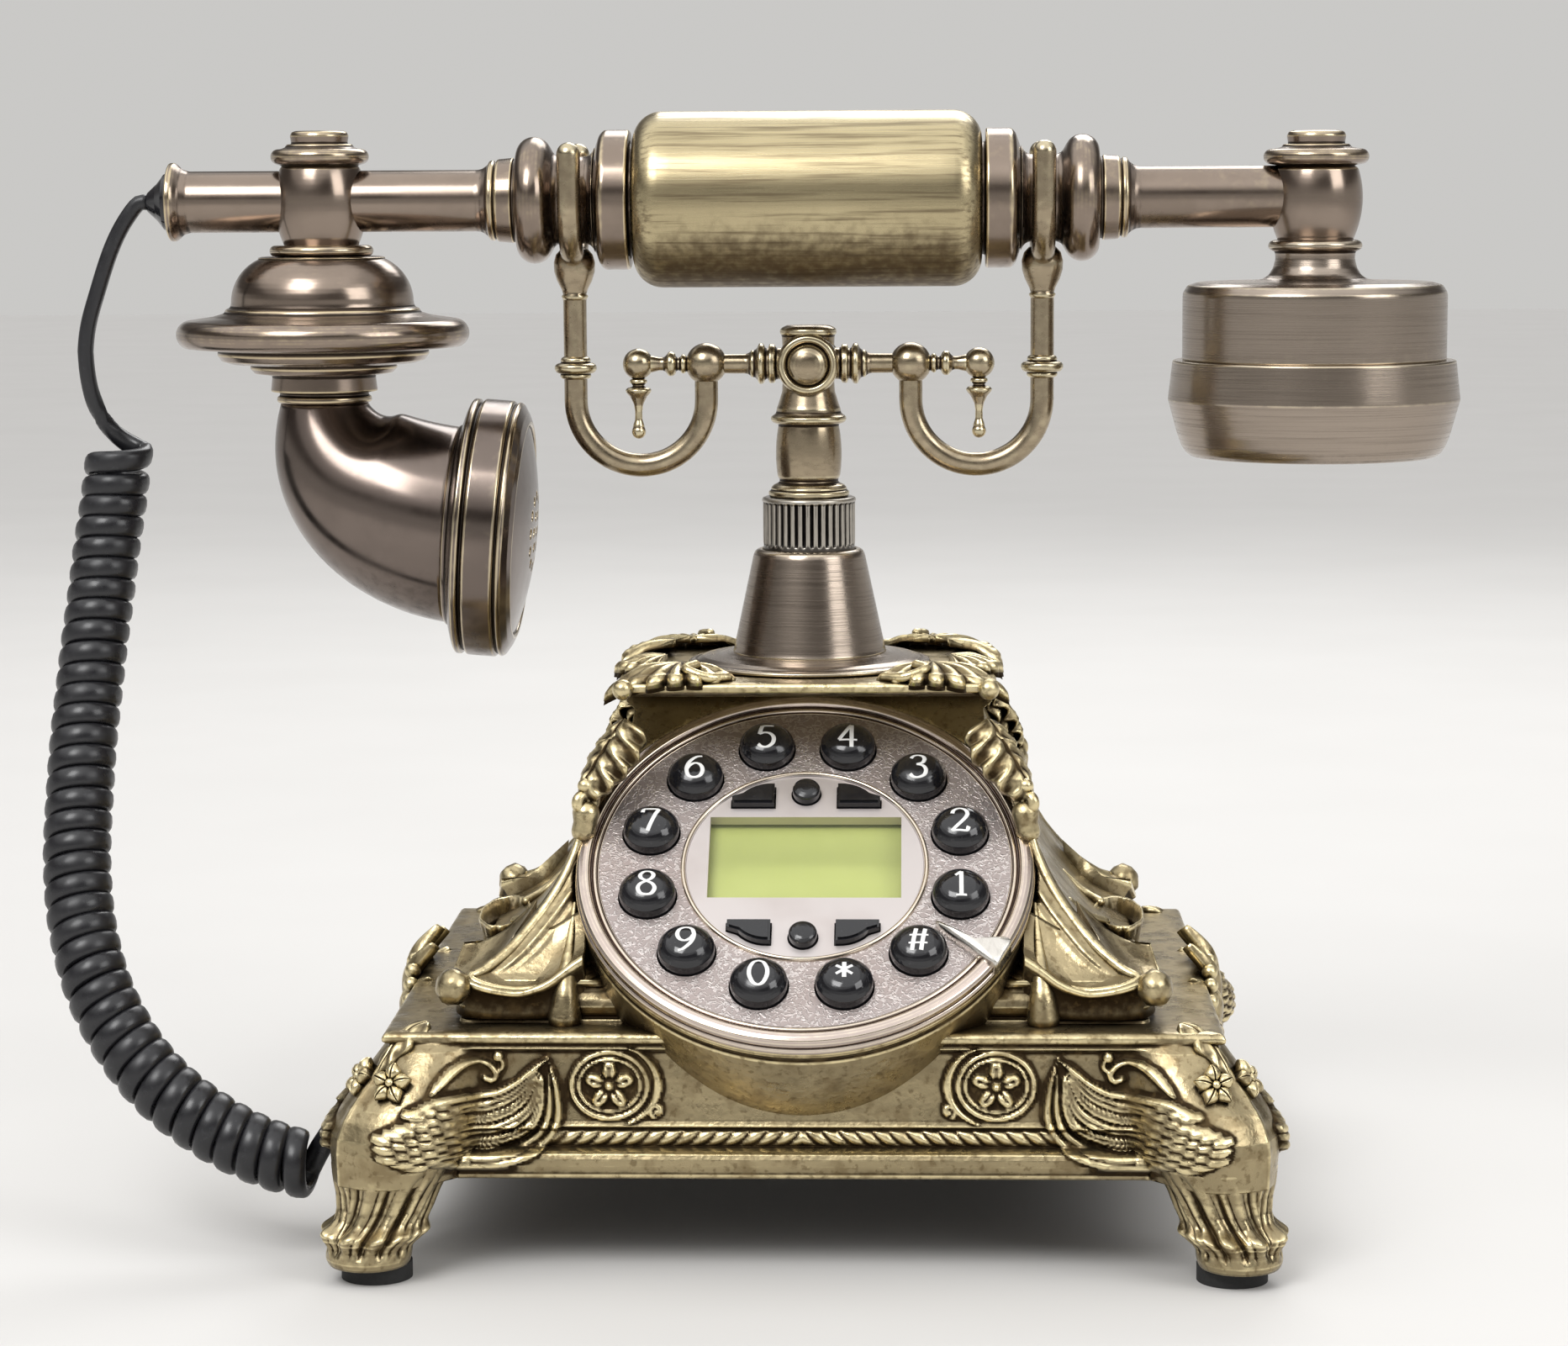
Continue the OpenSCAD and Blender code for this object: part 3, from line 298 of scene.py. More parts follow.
BEND_GAIN = 2.2  # how strongly a bend counts as a groove or an edge
# Painted shade: a downward face is darkened as a little groove is, as if shade fell under it.
UNDERSIDE_PAINTED_SHADE = 0.24  # how much of a groove a downward face counts as


def hollow_map(me, mask, passes=2):
    """How far each vertex lies in a groove (above zero) or on an edge (below zero). It is the mean, over the
    edges at a vertex, of the neighbour's height above the tangent plane divided by the squared distance,
    spread to the neighbours a few times; a mask adds what the shape's own formula knows. Undersides count as
    a little hollow as well, which is painted shade: downward faces are darkened as if shade fell there."""
    count = len(me.vertices)
    at = np.empty(count * 3)
    me.vertices.foreach_get("co", at)
    at = at.reshape(-1, 3) / MM
    normal = np.empty(count * 3)
    me.vertices.foreach_get("normal", normal)
    normal = normal.reshape(-1, 3)
    pairs = np.empty(len(me.edges) * 2, dtype=np.int64)
    me.edges.foreach_get("vertices", pairs)
    a, b = pairs.reshape(-1, 2).T
    step = at[b] - at[a]
    square = np.maximum(np.sum(step * step, axis=1), 0.01)
    total = np.bincount(a, np.sum(step * normal[a], axis=1) / square, count)
    total += np.bincount(b, -np.sum(step * normal[b], axis=1) / square, count)
    share = np.maximum(np.bincount(a, minlength=count) + np.bincount(b, minlength=count), 1)
    bend = total / share
    for _ in range(passes):
        spread = np.bincount(a, bend[b], count) + np.bincount(b, bend[a], count)
        bend = 0.5 * bend + 0.5 * spread / share
    # Painted shade on downward faces, added to the patina of the grooves and the wear of the edges.
    under = UNDERSIDE_PAINTED_SHADE * smoothstep(-0.1, -0.95, normal[:, 2])
    return np.clip(np.tanh(BEND_GAIN * bend) + mask + under, -1, 1)


def make_mesh(name, sheets):
    """A mesh in metres from grids in millimetres. Each sheet is (grid, closed) or (grid, closed, mask);
    points that all but touch become one, which closes seams and poles, and faces are turned outwards."""
    points, faces, masks, start = [], [], [], 0
    for sheet in sheets:
        grid, closed, *mask = sheet
        rows, columns = grid.shape[:2]
        faces.append(grid_faces(rows, columns, closed, start))
        points.append(grid.reshape(-1, 3))
        masks.append(np.broadcast_to(mask[0] if mask else 0.0, (rows, columns)).reshape(-1))
        start += rows * columns
    points, faces = np.vstack(points) * MM, np.vstack(faces)
    me = bpy.data.meshes.new(name)
    me.vertices.add(len(points))
    me.vertices.foreach_set("co", points.ravel())
    me.loops.add(faces.size)
    me.loops.foreach_set("vertex_index", faces.ravel())
    me.polygons.add(len(faces))
    me.polygons.foreach_set("loop_start", np.arange(0, faces.size, 4))
    me.update(calc_edges=True)
    # The hollow attribute carries patina in grooves, wear on edges and painted shade on downward faces.
    me.attributes.new("hollow", "FLOAT", "POINT").data.foreach_set("value", np.concatenate(masks))
    bm = bmesh.new()
    bm.from_mesh(me)
    bmesh.ops.remove_doubles(bm, verts=bm.verts, dist=MERGE * MM)
    bmesh.ops.dissolve_degenerate(bm, edges=bm.edges, dist=MERGE * MM * 0.5)
    bmesh.ops.recalc_face_normals(bm, faces=bm.faces)
    bm.to_mesh(me)
    bm.free()
    me.shade_smooth()
    me.update()
    found = me.attributes["hollow"]
    mask = np.empty(len(me.vertices))
    found.data.foreach_get("value", mask)
    found.data.foreach_set("value", hollow_map(me, mask))
    return me


def add_piece(name, sheets, material, body, replaces=()):
    """A finished piece from its sheets: mesh, material, the body that it rides and the parts it stands for."""
    piece = bpy.data.objects.new(name, make_mesh(name, sheets))
    bpy.context.scene.collection.objects.link(piece)
    piece.data.materials.append(material)
    if body:
        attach(piece, body)
    if replaces:
        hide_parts(*replaces)
    return piece


# ---------------------------------------------------------------- materials


def add_node(tree, kind, inputs=None, **settings):
    """A shader node with its settings, and its inputs set or linked by name or number."""
    node = tree.nodes.new("ShaderNode" + kind)
    for key, value in settings.items():
        setattr(node, key, value)
    for key, value in (inputs or {}).items():
        if isinstance(value, bpy.types.NodeSocket):
            tree.links.new(value, node.inputs[key])
        else:
            node.inputs[key].default_value = value
    return node


def ramp(tree, value, low, high, to_low=0.0, to_high=1.0):
    """A value taken smoothly from one range to another."""
    return add_node(
        tree, "MapRange",
        {"Value": value, "From Min": low, "From Max": high, "To Min": to_low, "To Max": to_high},
        interpolation_type="SMOOTHSTEP",
    ).outputs["Result"]


def mixed(tree, share, a, b):
    """Two colours mixed by a share."""
    return add_node(tree, "Mix", {0: share, 6: a, 7: b}, data_type="RGBA").outputs[2]


def maths(tree, operation, a, b=0.0):
    """One sum of two values."""
    return add_node(tree, "Math", {0: a, 1: b}, operation=operation).outputs[0]


def noise(tree, place, scale, detail, **more):
    """A noise's value over a place, with so many lumps to a metre."""
    return add_node(tree, "TexNoise", {"Vector": place, "Scale": scale, "Detail": detail, **more}).outputs["Fac"]


def raise_skin(tree, shader, height, strength, distance):
    """A bump that stands up from the surface by a distance in metres."""
    raised = add_node(tree, "Bump", {"Height": height, "Strength": strength, "Distance": distance})
    tree.links.new(raised.outputs["Normal"], shader.inputs["Normal"])


def new_material(name):
    """An empty material with its Principled shader."""
    material = bpy.data.materials.new(name)
    material.use_nodes = True
    shader = material.node_tree.nodes["Principled BSDF"]
    return material, material.node_tree, shader


def rgba(colour, strength=1.0):
    """A colour made stronger or weaker, with its fourth value."""
    return (*(part * strength for part in colour), 1.0)


def cord_vinyl():
    """Glossy black vinyl with faint dust, a slightly uneven skin and painted shade inside the coil and underneath."""
    material, tree, shader = new_material("cord vinyl")
    place = add_node(tree, "TexCoord").outputs["Object"]
    dust = noise(tree, place, 900.0, 3.0)
    waves = noise(tree, place, 260.0, 2.0)
    hollow = add_node(tree, "Attribute", attribute_name="hollow").outputs["Fac"]
    base = mixed(tree, ramp(tree, dust, 0.58, 0.8, 0.0, 0.5), rgba(finishes().cord), rgba(finishes().cord, 3.2))
    # Painted shade: darker where the hollow mask is high, on the coil's inner side and on downward faces.
    base = mixed(tree, ramp(tree, hollow, 0.15, 0.8), base, rgba(finishes().cord, 0.4))
    tree.links.new(base, shader.inputs["Base Color"])
    tree.links.new(ramp(tree, waves, 0.3, 0.7, 0.26, 0.4), shader.inputs["Roughness"])
    raise_skin(tree, shader, waves, 0.12, 0.0004)
    shader.inputs["Specular IOR Level"].default_value = 0.5
    return material


def wear_and_shade_group():
    """Shared wear and painted shade: dark in the grooves as patina and on downward faces as painted shade,
    bright on the worn edges and cloudy in between, from the hollow attribute broken up by noise. Outputs a
    colour, and masks of the grooves and of the clouds."""
    found = bpy.data.node_groups.get("wear and shade")
    if found:
        return found
    group = bpy.data.node_groups.new("wear and shade", "ShaderNodeTree")
    for name in ("Metal", "Groove", "Edge"):
        group.interface.new_socket(name=name, in_out="INPUT", socket_type="NodeSocketColor")
    for name in ("Groove Amount", "Edge Amount", "Cloud"):
        group.interface.new_socket(name=name, in_out="INPUT", socket_type="NodeSocketFloat")
    group.interface.new_socket(name="Color", in_out="OUTPUT", socket_type="NodeSocketColor")
    for name in ("Groove Mask", "Cloud Mask"):
        group.interface.new_socket(name=name, in_out="OUTPUT", socket_type="NodeSocketFloat")
    given = group.nodes.new("NodeGroupInput").outputs
    result = group.nodes.new("NodeGroupOutput").inputs
    place = add_node(group, "TexCoord").outputs["Object"]
    fine = noise(group, place, 420.0, 4.0)
    broad = noise(group, place, 26.0, 3.0, Roughness=0.55)
    hollow = add_node(group, "Attribute", attribute_name="hollow").outputs["Fac"]
    shaken = maths(group, "ADD", hollow, ramp(group, fine, 0.25, 0.75, -0.1, 0.1))
    groove = maths(group, "MULTIPLY", ramp(group, shaken, 0.05, 0.55), given["Groove Amount"])
    edge = maths(group, "MULTIPLY", ramp(group, shaken, -0.12, -0.6), given["Edge Amount"])
    cloud = maths(group, "MULTIPLY", ramp(group, broad, 0.4, 0.72), given["Cloud"])
    colour = mixed(group, maths(group, "MULTIPLY", cloud, 0.55), given["Metal"], given["Groove"])
    colour = mixed(group, edge, colour, given["Edge"])
    # Grooves take the dark patina; downward faces take it too, as painted shade.
    colour = mixed(group, groove, colour, given["Groove"])
    group.links.new(colour, result["Color"])
    group.links.new(groove, result["Groove Mask"])
    group.links.new(cloud, result["Cloud Mask"])
    return group


def wear_and_shade(tree, colour, groove, edge, amounts):
    """The shared wear and painted shade in a material's tree, with its three colours and three amounts."""
    node = tree.nodes.new("ShaderNodeGroup")
    node.node_tree = wear_and_shade_group()
    for key, value in zip(("Metal", "Groove", "Edge"), (colour, groove, edge)):
        node.inputs[key].default_value = rgba(value)
    for key, value in zip(("Groove Amount", "Edge Amount", "Cloud"), amounts):
        node.inputs[key].default_value = value
    return node.outputs


def brush_lines(tree, stretch):
    """Fine lines left by a brush: noise squeezed across the lines and drawn out along them."""
    place = add_node(tree, "TexCoord").outputs["Object"]
    squeezed = add_node(tree, "Mapping", {"Vector": place, "Scale": stretch}).outputs["Vector"]
    return noise(tree, squeezed, 1.0, 5.0, Roughness=0.62)


def metal(name, colour, groove, edge, amounts, stretch, streak, shine, bump):
    """A worn metal with painted shade on its downward faces. Amounts are those of the shared wear and painted
    shade; stretch gives its brush lines, streak how much darker they are than the rest, shine the roughness from
    line to line, and bump their height in millimetres."""
    found = bpy.data.materials.get(name)
    if found:
        return found
    material, tree, shader = new_material(name)
    shader.inputs["Metallic"].default_value = 1.0
    shaded_wear = wear_and_shade(tree, colour, groove, edge, amounts)
    lines = brush_lines(tree, stretch)
    tone = mixed(tree, ramp(tree, lines, 0.45, 0.68, 0.0, streak), shaded_wear["Color"], rgba(groove))
    tree.links.new(tone, shader.inputs["Base Color"])
    dull = maths(tree, "MULTIPLY", shaded_wear["Groove Mask"], 0.25)
    tree.links.new(maths(tree, "ADD", ramp(tree, lines, 0.3, 0.7, *shine), dull), shader.inputs["Roughness"])
    if bump:
        raise_skin(tree, shader, lines, 1.0, bump * MM)
    return material


def polished_bronze():
    """Smooth antique bronze of the tubes, shroud and horn, with brassy edges."""
    return metal("polished bronze", finishes().bronze, (0.028, 0.02, 0.014), (0.64, 0.53, 0.34),
                 (0.95, 0.8, 0.16), (60.0, 60.0, 60.0), 0.12, (0.17, 0.27), 0.0)


def shaded_bronze():
    """A darker copy of the polished bronze, as painted shade on the horn and its cap, with edges worn like the rest.
    """
    return metal("shaded bronze", (0.185, 0.150, 0.130), (0.02, 0.015, 0.011), (0.58, 0.49, 0.34),
                 (0.95, 0.8, 0.3), (60.0, 60.0, 60.0), 0.12, (0.15, 0.25), 0.0)


def round_brushed_bronze():
    """Antique bronze brushed round an upright axis, as on the earpiece and the mast's cone."""
    return metal("round brushed bronze", (0.34, 0.285, 0.235), (0.05, 0.036, 0.026), (0.66, 0.57, 0.42),
                 (0.95, 0.75, 0.15), (22.0, 22.0, 2800.0), 0.28, (0.18, 0.29), 0.02)


def long_brushed_brass():
    """Antique brass of the grip, brushed along it, with brown streaks."""
    return metal("long brushed brass", finishes().brass, (0.09, 0.06, 0.035), (0.74, 0.66, 0.42),
                 (0.9, 0.6, 0.35), (30.0, 1000.0, 1000.0), 0.62, (0.22, 0.36), 0.02)


def cradle_brass():
    """Satin antique brass of the cradle's rods and turnings."""
    return metal("cradle brass", (0.35, 0.285, 0.195), (0.03, 0.02, 0.013), (0.68, 0.60, 0.40),
                 (1.0, 0.8, 0.2), (300.0, 300.0, 700.0), 0.18, (0.18, 0.3), 0.008)


def ribbed_metal():
    """Black in the grooves, with ribs worn to dark silver."""
    found = bpy.data.materials.get("ribbed metal")
    if found:
        return found
    material, tree, shader = new_material("ribbed metal")
    shaded_wear = wear_and_shade(tree, (0.09, 0.08, 0.07), (0.006, 0.005, 0.005), (0.42, 0.39, 0.34), (1.0, 1.0, 0.4))
    tree.links.new(shaded_wear["Color"], shader.inputs["Base Color"])
    shader.inputs["Metallic"].default_value = 0.9
    tree.links.new(ramp(tree, shaded_wear["Cloud Mask"], 0.0, 1.0, 0.28, 0.42), shader.inputs["Roughness"])
    return material


def bezel_metal():
    """Mauve-silver plating of the bezel, its thin edges worn to brass."""
    return metal("bezel metal", (0.56, 0.47, 0.42), (0.04, 0.022, 0.016), (0.80, 0.70, 0.56),
                 (1.0, 0.8, 0.1), (90.0, 90.0, 90.0), 0.08, (0.17, 0.27), 0.0)


def bright_metal():
    """Plain bright plating with faint scratches."""
    return metal("bright metal", (0.66, 0.63, 0.58), (0.1, 0.08, 0.06), (0.8, 0.78, 0.72),
                 (0.9, 0.5, 0.2), (900.0, 60.0, 400.0), 0.15, (0.2, 0.34), 0.01)


def glossy_black():
    """Glossy black moulded plastic with a trace of dust."""
    found = bpy.data.materials.get("glossy black")
    if found:
        return found
    material, tree, shader = new_material("glossy black")
    place = add_node(tree, "TexCoord").outputs["Object"]
    dust = noise(tree, place, 1500.0, 2.0)
    smear = noise(tree, place, 140.0, 3.0)
    base = mixed(tree, ramp(tree, dust, 0.62, 0.8, 0.0, 0.4), (0.009, 0.009, 0.011, 1), (0.07, 0.07, 0.075, 1))
    tree.links.new(base, shader.inputs["Base Color"])
    tree.links.new(ramp(tree, smear, 0.35, 0.7, 0.1, 0.24), shader.inputs["Roughness"])
    shader.inputs["Specular IOR Level"].default_value = 0.62
    return material


def figure_white():
    """White paint of the keys' figures, a little uneven."""
    found = bpy.data.materials.get("figure white")
    if found:
        return found
    material, tree, shader = new_material("figure white")
    place = add_node(tree, "TexCoord").outputs["Object"]
    patch = noise(tree, place, 800.0, 2.0)
    tree.links.new(mixed(tree, patch, (0.86, 0.86, 0.84, 1), (0.74, 0.74, 0.73, 1)), shader.inputs["Base Color"])
    shader.inputs["Roughness"].default_value = 0.4
    return material


def grained_plate():
    """Dial plate: mauve-silver casting with a fine worm-like grain, whose hollows keep a brown patina. The worms
    are the lines where a noise crosses its middle value; inside the bead ring the plate is smooth."""
    material, tree, shader = new_material("grained plate")
    place = add_node(tree, "TexCoord").outputs["Object"]
    lumps = noise(tree, place, 760.0, 1.5, Distortion=0.6)
    off = maths(tree, "ABSOLUTE", maths(tree, "SUBTRACT", lumps, 0.5))
    worm = ramp(tree, off, 0.075, 0.02)
    centre = tuple(np.array(DIAL_AT) * MM)
    out = tuple(dial_axes()[1])
    local = add_node(tree, "VectorMath", {0: place, 1: centre}, operation="SUBTRACT").outputs["Vector"]
    across = add_node(tree, "VectorMath", {0: local, 1: out}, operation="CROSS_PRODUCT").outputs["Vector"]
    radius = add_node(tree, "VectorMath", {0: across}, operation="LENGTH").outputs["Value"]
    grained = ramp(tree, radius, 0.0258, 0.0264)
    worm = maths(tree, "MULTIPLY", worm, grained)
    broad = noise(tree, place, 45.0, 3.0)
    ground = mixed(tree, grained, (0.60, 0.555, 0.54, 1), (0.40, 0.345, 0.33, 1))
    tone = mixed(tree, worm, ground, (0.58, 0.53, 0.51, 1))
    tone = mixed(tree, ramp(tree, broad, 0.45, 0.75, 0.0, 0.3), tone, (0.34, 0.26, 0.23, 1))
    tree.links.new(tone, shader.inputs["Base Color"])
    shader.inputs["Metallic"].default_value = 0.8
    tree.links.new(ramp(tree, worm, 0.0, 1.0, 0.46, 0.34), shader.inputs["Roughness"])
    raise_skin(tree, shader, worm, 0.5, 0.00018)
    return material


def display_face():
    """Unlit liquid crystal: yellow-green, faintly mottled, with a painted shadow under its frame's upper edge."""
    material, tree, shader = new_material("display face")
    place = add_node(tree, "TexCoord").outputs["Object"]
    height = add_node(tree, "SeparateXYZ", {0: place}).outputs["Z"]
    cloud = noise(tree, place, 70.0, 2.0)
    tone = mixed(tree, cloud, (0.46, 0.52, 0.13, 1), (0.55, 0.60, 0.18, 1))
    # Painted shadow: a dark band below the frame's upper edge.
    top = (DIAL_AT[2] + 13.7 * math.sin(math.radians(DIAL_TILT))) * MM
    tone = mixed(tree, ramp(tree, height, top - 0.0032, top - 0.0008, 0.0, 0.75), tone, (0.16, 0.19, 0.05, 1))
    tree.links.new(tone, shader.inputs["Base Color"])
    shader.inputs["Roughness"].default_value = 0.35
    return material


def display_window():
    """Clear window: nearly see-through, with a gloss and the faintest smears."""
    material, tree, shader = new_material("display window")
    place = add_node(tree, "TexCoord").outputs["Object"]
    smear = noise(tree, place, 90.0, 3.0)
    shader.inputs["Base Color"].default_value = (0.5, 0.52, 0.5, 1)
    shader.inputs["Alpha"].default_value = 0.08
    tree.links.new(ramp(tree, smear, 0.3, 0.7, 0.04, 0.12), shader.inputs["Roughness"])
    material.surface_render_method = "BLENDED"
    return material


def plain(name, colour, rough, metallic=0.0, grain=900.0, spread=0.25, bump=0.02):
    """An even finish for a part that is hardly seen: its tone and skin vary with a fine noise."""
    found = bpy.data.materials.get(name)
    if found:
        return found
    material, tree, shader = new_material(name)
    place = add_node(tree, "TexCoord").outputs["Object"]
    fine = noise(tree, place, grain, 3.0)
    tone = mixed(tree, ramp(tree, fine, 0.3, 0.7), rgba(colour, 1 - spread), rgba(colour, 1 + spread))
    tree.links.new(tone, shader.inputs["Base Color"])
    tree.links.new(ramp(tree, fine, 0.3, 0.7, rough - 0.06, rough + 0.06), shader.inputs["Roughness"])
    shader.inputs["Metallic"].default_value = metallic
    raise_skin(tree, shader, fine, 0.6, bump * MM)
    return material


def circuit_green():
    """Green board with paler copper tracks under its lacquer, as bricks of two sizes."""
    material, tree, shader = new_material("circuit green")
    place = add_node(tree, "TexCoord").outputs["Object"]
    tracks = add_node(tree, "TexBrick", {"Vector": place, "Scale": 260.0, "Mortar Size": 0.03}).outputs["Fac"]
    tone = mixed(tree, ramp(tree, tracks, 0.2, 0.8), (0.012, 0.085, 0.03, 1), (0.06, 0.2, 0.07, 1))
    tree.links.new(tone, shader.inputs["Base Color"])
    shader.inputs["Roughness"].default_value = 0.35
    return material


# ---------------------------------------------------------------- stage


class TELEPHONE_OT_stage(bpy.types.Operator):
    """Pale floor, soft studio lamps and the camera"""

    bl_idname = "telephone.stage"
    bl_label = "Stage"

    def execute(self, context):
        scene = context.scene
        scene.view_settings.view_transform = "Standard"
        add_camera(scene)
        add_floor(scene)
        for name, at, power in LAMPS:
            add_lamp(scene, name, at, power)
        add_sun(scene)
        add_world(scene)
        return {"FINISHED"}


CAMERA_AT = np.array([24.0, -854.0, 228.5])  # millimetres
CAMERA_DOWN, CAMERA_LEFT, CAMERA_ROLL = 7.3, 2.0, -0.32  # degrees
CAMERA_LENS, CAMERA_FRAME = 87.8, 36.0  # millimetres

LAMPS = (  # name, place in metres, watts
    ("key lamp", (-0.55, -1.0, 1.25), 13.0),
    ("fill lamp", (1.05, -0.75, 0.8), 6.0),
    ("back lamp", (0.15, 1.05, 1.0), 6.0),
)
LAMP_SIDE = 0.7  # metres
LAMP_AIM = Vector((0, 0, 0.12))  # metres: the middle of the telephone
FLOOR_REACH = 6  # metres


def add_camera(scene):
    """The camera stands in front, a little right of the mast and level with the grip."""
    data = bpy.data.cameras.new("camera")
    data.lens = CAMERA_LENS
    data.sensor_width = CAMERA_FRAME
    data.clip_start, data.clip_end = 0.05, 20.0
    camera = bpy.data.objects.new("camera", data)
    camera.location = CAMERA_AT * MM
    swing, tip, roll = (
        Matrix.Rotation(math.radians(angle), 4, axis)
        for angle, axis in ((CAMERA_LEFT, "Z"), (90 - CAMERA_DOWN, "X"), (CAMERA_ROLL, "Z"))
    )
    camera.rotation_euler = (swing @ tip @ roll).to_euler()
    scene.collection.objects.link(camera)
    scene.camera = camera


def add_floor(scene):
    """A wide plain floor that the camera sees as pale grey."""
    me = bpy.data.meshes.new("floor")
    far = FLOOR_REACH
    me.from_pydata([(-far, -far, 0), (far, -far, 0), (far, far, 0), (-far, far, 0)], [], [(0, 1, 2, 3)])
    floor = bpy.data.objects.new("floor", me)
    scene.collection.objects.link(floor)
    material, tree, shader = new_material("pale floor")
    place = add_node(tree, "TexCoord").outputs["Object"]
    cloud = noise(tree, place, 9.0, 2.0)
    tone = mixed(tree, cloud, (0.60, 0.59, 0.575, 1), (0.64, 0.63, 0.615, 1))
    tree.links.new(tone, shader.inputs["Base Color"])
    shader.inputs["Roughness"].default_value = 0.75
    shader.inputs["Specular IOR Level"].default_value = 0.2
    me.materials.append(material)


def add_lamp(scene, name, at, power):
    """A square soft lamp that points at the middle of the telephone."""
    data = bpy.data.lights.new(name, "AREA")
    data.shape = "SQUARE"
    data.size = LAMP_SIDE
    data.energy = power
    lamp = bpy.data.objects.new(name, data)
    lamp.location = at
    lamp.rotation_euler = (LAMP_AIM - Vector(at)).to_track_quat("-Z", "Y").to_euler()
    scene.collection.objects.link(lamp)


def add_sun(scene):
    """A very soft overhead light that keeps the whole floor even."""
    data = bpy.data.lights.new("sky lamp", "SUN")
    data.energy = 0.95
    data.angle = math.radians(100)
    lamp = bpy.data.objects.new("sky lamp", data)
    lamp.rotation_euler = (math.radians(18), math.radians(-14), 0)
    scene.collection.objects.link(lamp)


def add_world(scene):
    """A pale room with a dark band above the horizon, which gives metal its contrast, and a bright ceiling."""
    world = bpy.data.worlds.new("studio")
    scene.world = world
    world.use_nodes = True
    tree = world.node_tree
    back = tree.nodes["Background"]
    height = add_node(tree, "SeparateXYZ", {0: add_node(tree, "TexCoord").outputs["Generated"]}).outputs["Z"]
    wall = mixed(tree, ramp(tree, height, 0.10, 0.24), (0.655, 0.648, 0.632, 1), (0.14, 0.128, 0.12, 1))
    sky = mixed(tree, ramp(tree, height, 0.42, 0.72), wall, (1.0, 1.0, 1.0, 1))
    sky = mixed(tree, ramp(tree, height, -0.02, -0.3), sky, (0.30, 0.28, 0.26, 1))
    tree.links.new(sky, back.inputs["Color"])
    back.inputs["Strength"].default_value = 0.9


# ---------------------------------------------------------------- cord

# The cord's route in millimetres: the lead from the gland, the coil's axis and the tail to the plug.
LEAD_ROUTE = [
    (-147.2, 0, 225), (-149.5, 0, 224.6), (-153, 0, 220), (-156, 0, 214), (-159, 0, 205.5), (-161.5, 0, 197),
    (-162.3, 0, 188.5), (-161.6, 0, 181), (-160.4, 0, 174.4),
]
COIL_ROUTE = [
    (-154.5, 0, 173.5), (-155.6, 0, 166), (-156.6, -1, 158), (-157.8, -3, 149), (-158.8, -6, 138.5),
    (-159.8, -10, 127.5), (-160.5, -14, 117), (-161, -19, 106), (-161, -24, 95.5), (-160.8, -29, 85),
    (-160, -33, 76.5), (-158.4, -37, 68), (-155, -42, 58), (-150, -46, 48.5), (-142.5, -50, 39),
    (-133.5, -53, 31.5), (-122.5, -55, 25), (-112, -56, 21), (-105, -56, 19.6),
]
TAIL_ROUTE = [
    (-105, -55, 24), (-103.6, -54.6, 24.4), (-101.6, -52.4, 27.4), (-100, -49.8, 30.4), (-98.4, -49, 31),
]
STRAND_WIDTH = 4.9  # width of the flattened strand along the coil
PER_TURN = 26  # points in one turn
OPEN_TURNS, OPEN_BY = 1.3, 2.2  # how many turns stand open at the lead, and how far in millimetres
SECTION_SIDES, SECTION_POWER = 14, 2.6


def coil_strand(turns, radius):
    """The strand's own line round the coil's axis: a point goes round a circle square to the axis while the
    circle moves along it, the first turn standing a little open. Returns the points and their outward sides."""
    axis = evenly(flowing(COIL_ROUTE, 12), 0.5)
    length = run_of(axis)[-1]
    turn = np.linspace(0, turns, int(turns * PER_TURN) + 1)
    spread = OPEN_BY * smoothstep(OPEN_TURNS, 0, turn)
    run = STRAND_WIDTH / 2 + (length - STRAND_WIDTH) * turn / turns
    run = run - spread + spread[0] * 0.4
    inside = np.clip(run, 0, length)
    middle = at_runs(axis, inside)
    ways, gone = headings(axis), run_of(axis)
    along = unit(np.stack([np.interp(inside, gone, ways[:, k]) for k in range(3)], axis=1))
    middle = middle + along * (run - inside)[:, None]
    across = unit(np.array([0, 1.0, 0]) - along[:, 1:2] * along)
    aside = np.cross(across, along)
    angle = 2 * math.pi * turn[:, None]
    outward = np.cos(angle) * aside + np.sin(angle) * across
    return middle + radius * outward, outward


def strand_section(half_out, half_across, rings):
    """A rounded-flat section: an ellipse of a power above two, so that its broad side is nearly flat."""
    angle = once_round(SECTION_SIDES)
    power = 2 / SECTION_POWER
    x = np.sign(np.cos(angle)) * np.abs(np.cos(angle)) ** power
    y = np.sign(np.sin(angle)) * np.abs(np.sin(angle)) ** power
    half_across = np.broadcast_to(half_across, (rings,))
    return np.stack([np.tile(half_out * x, (rings, 1)), half_across[:, None] * y[None]], axis=-1)


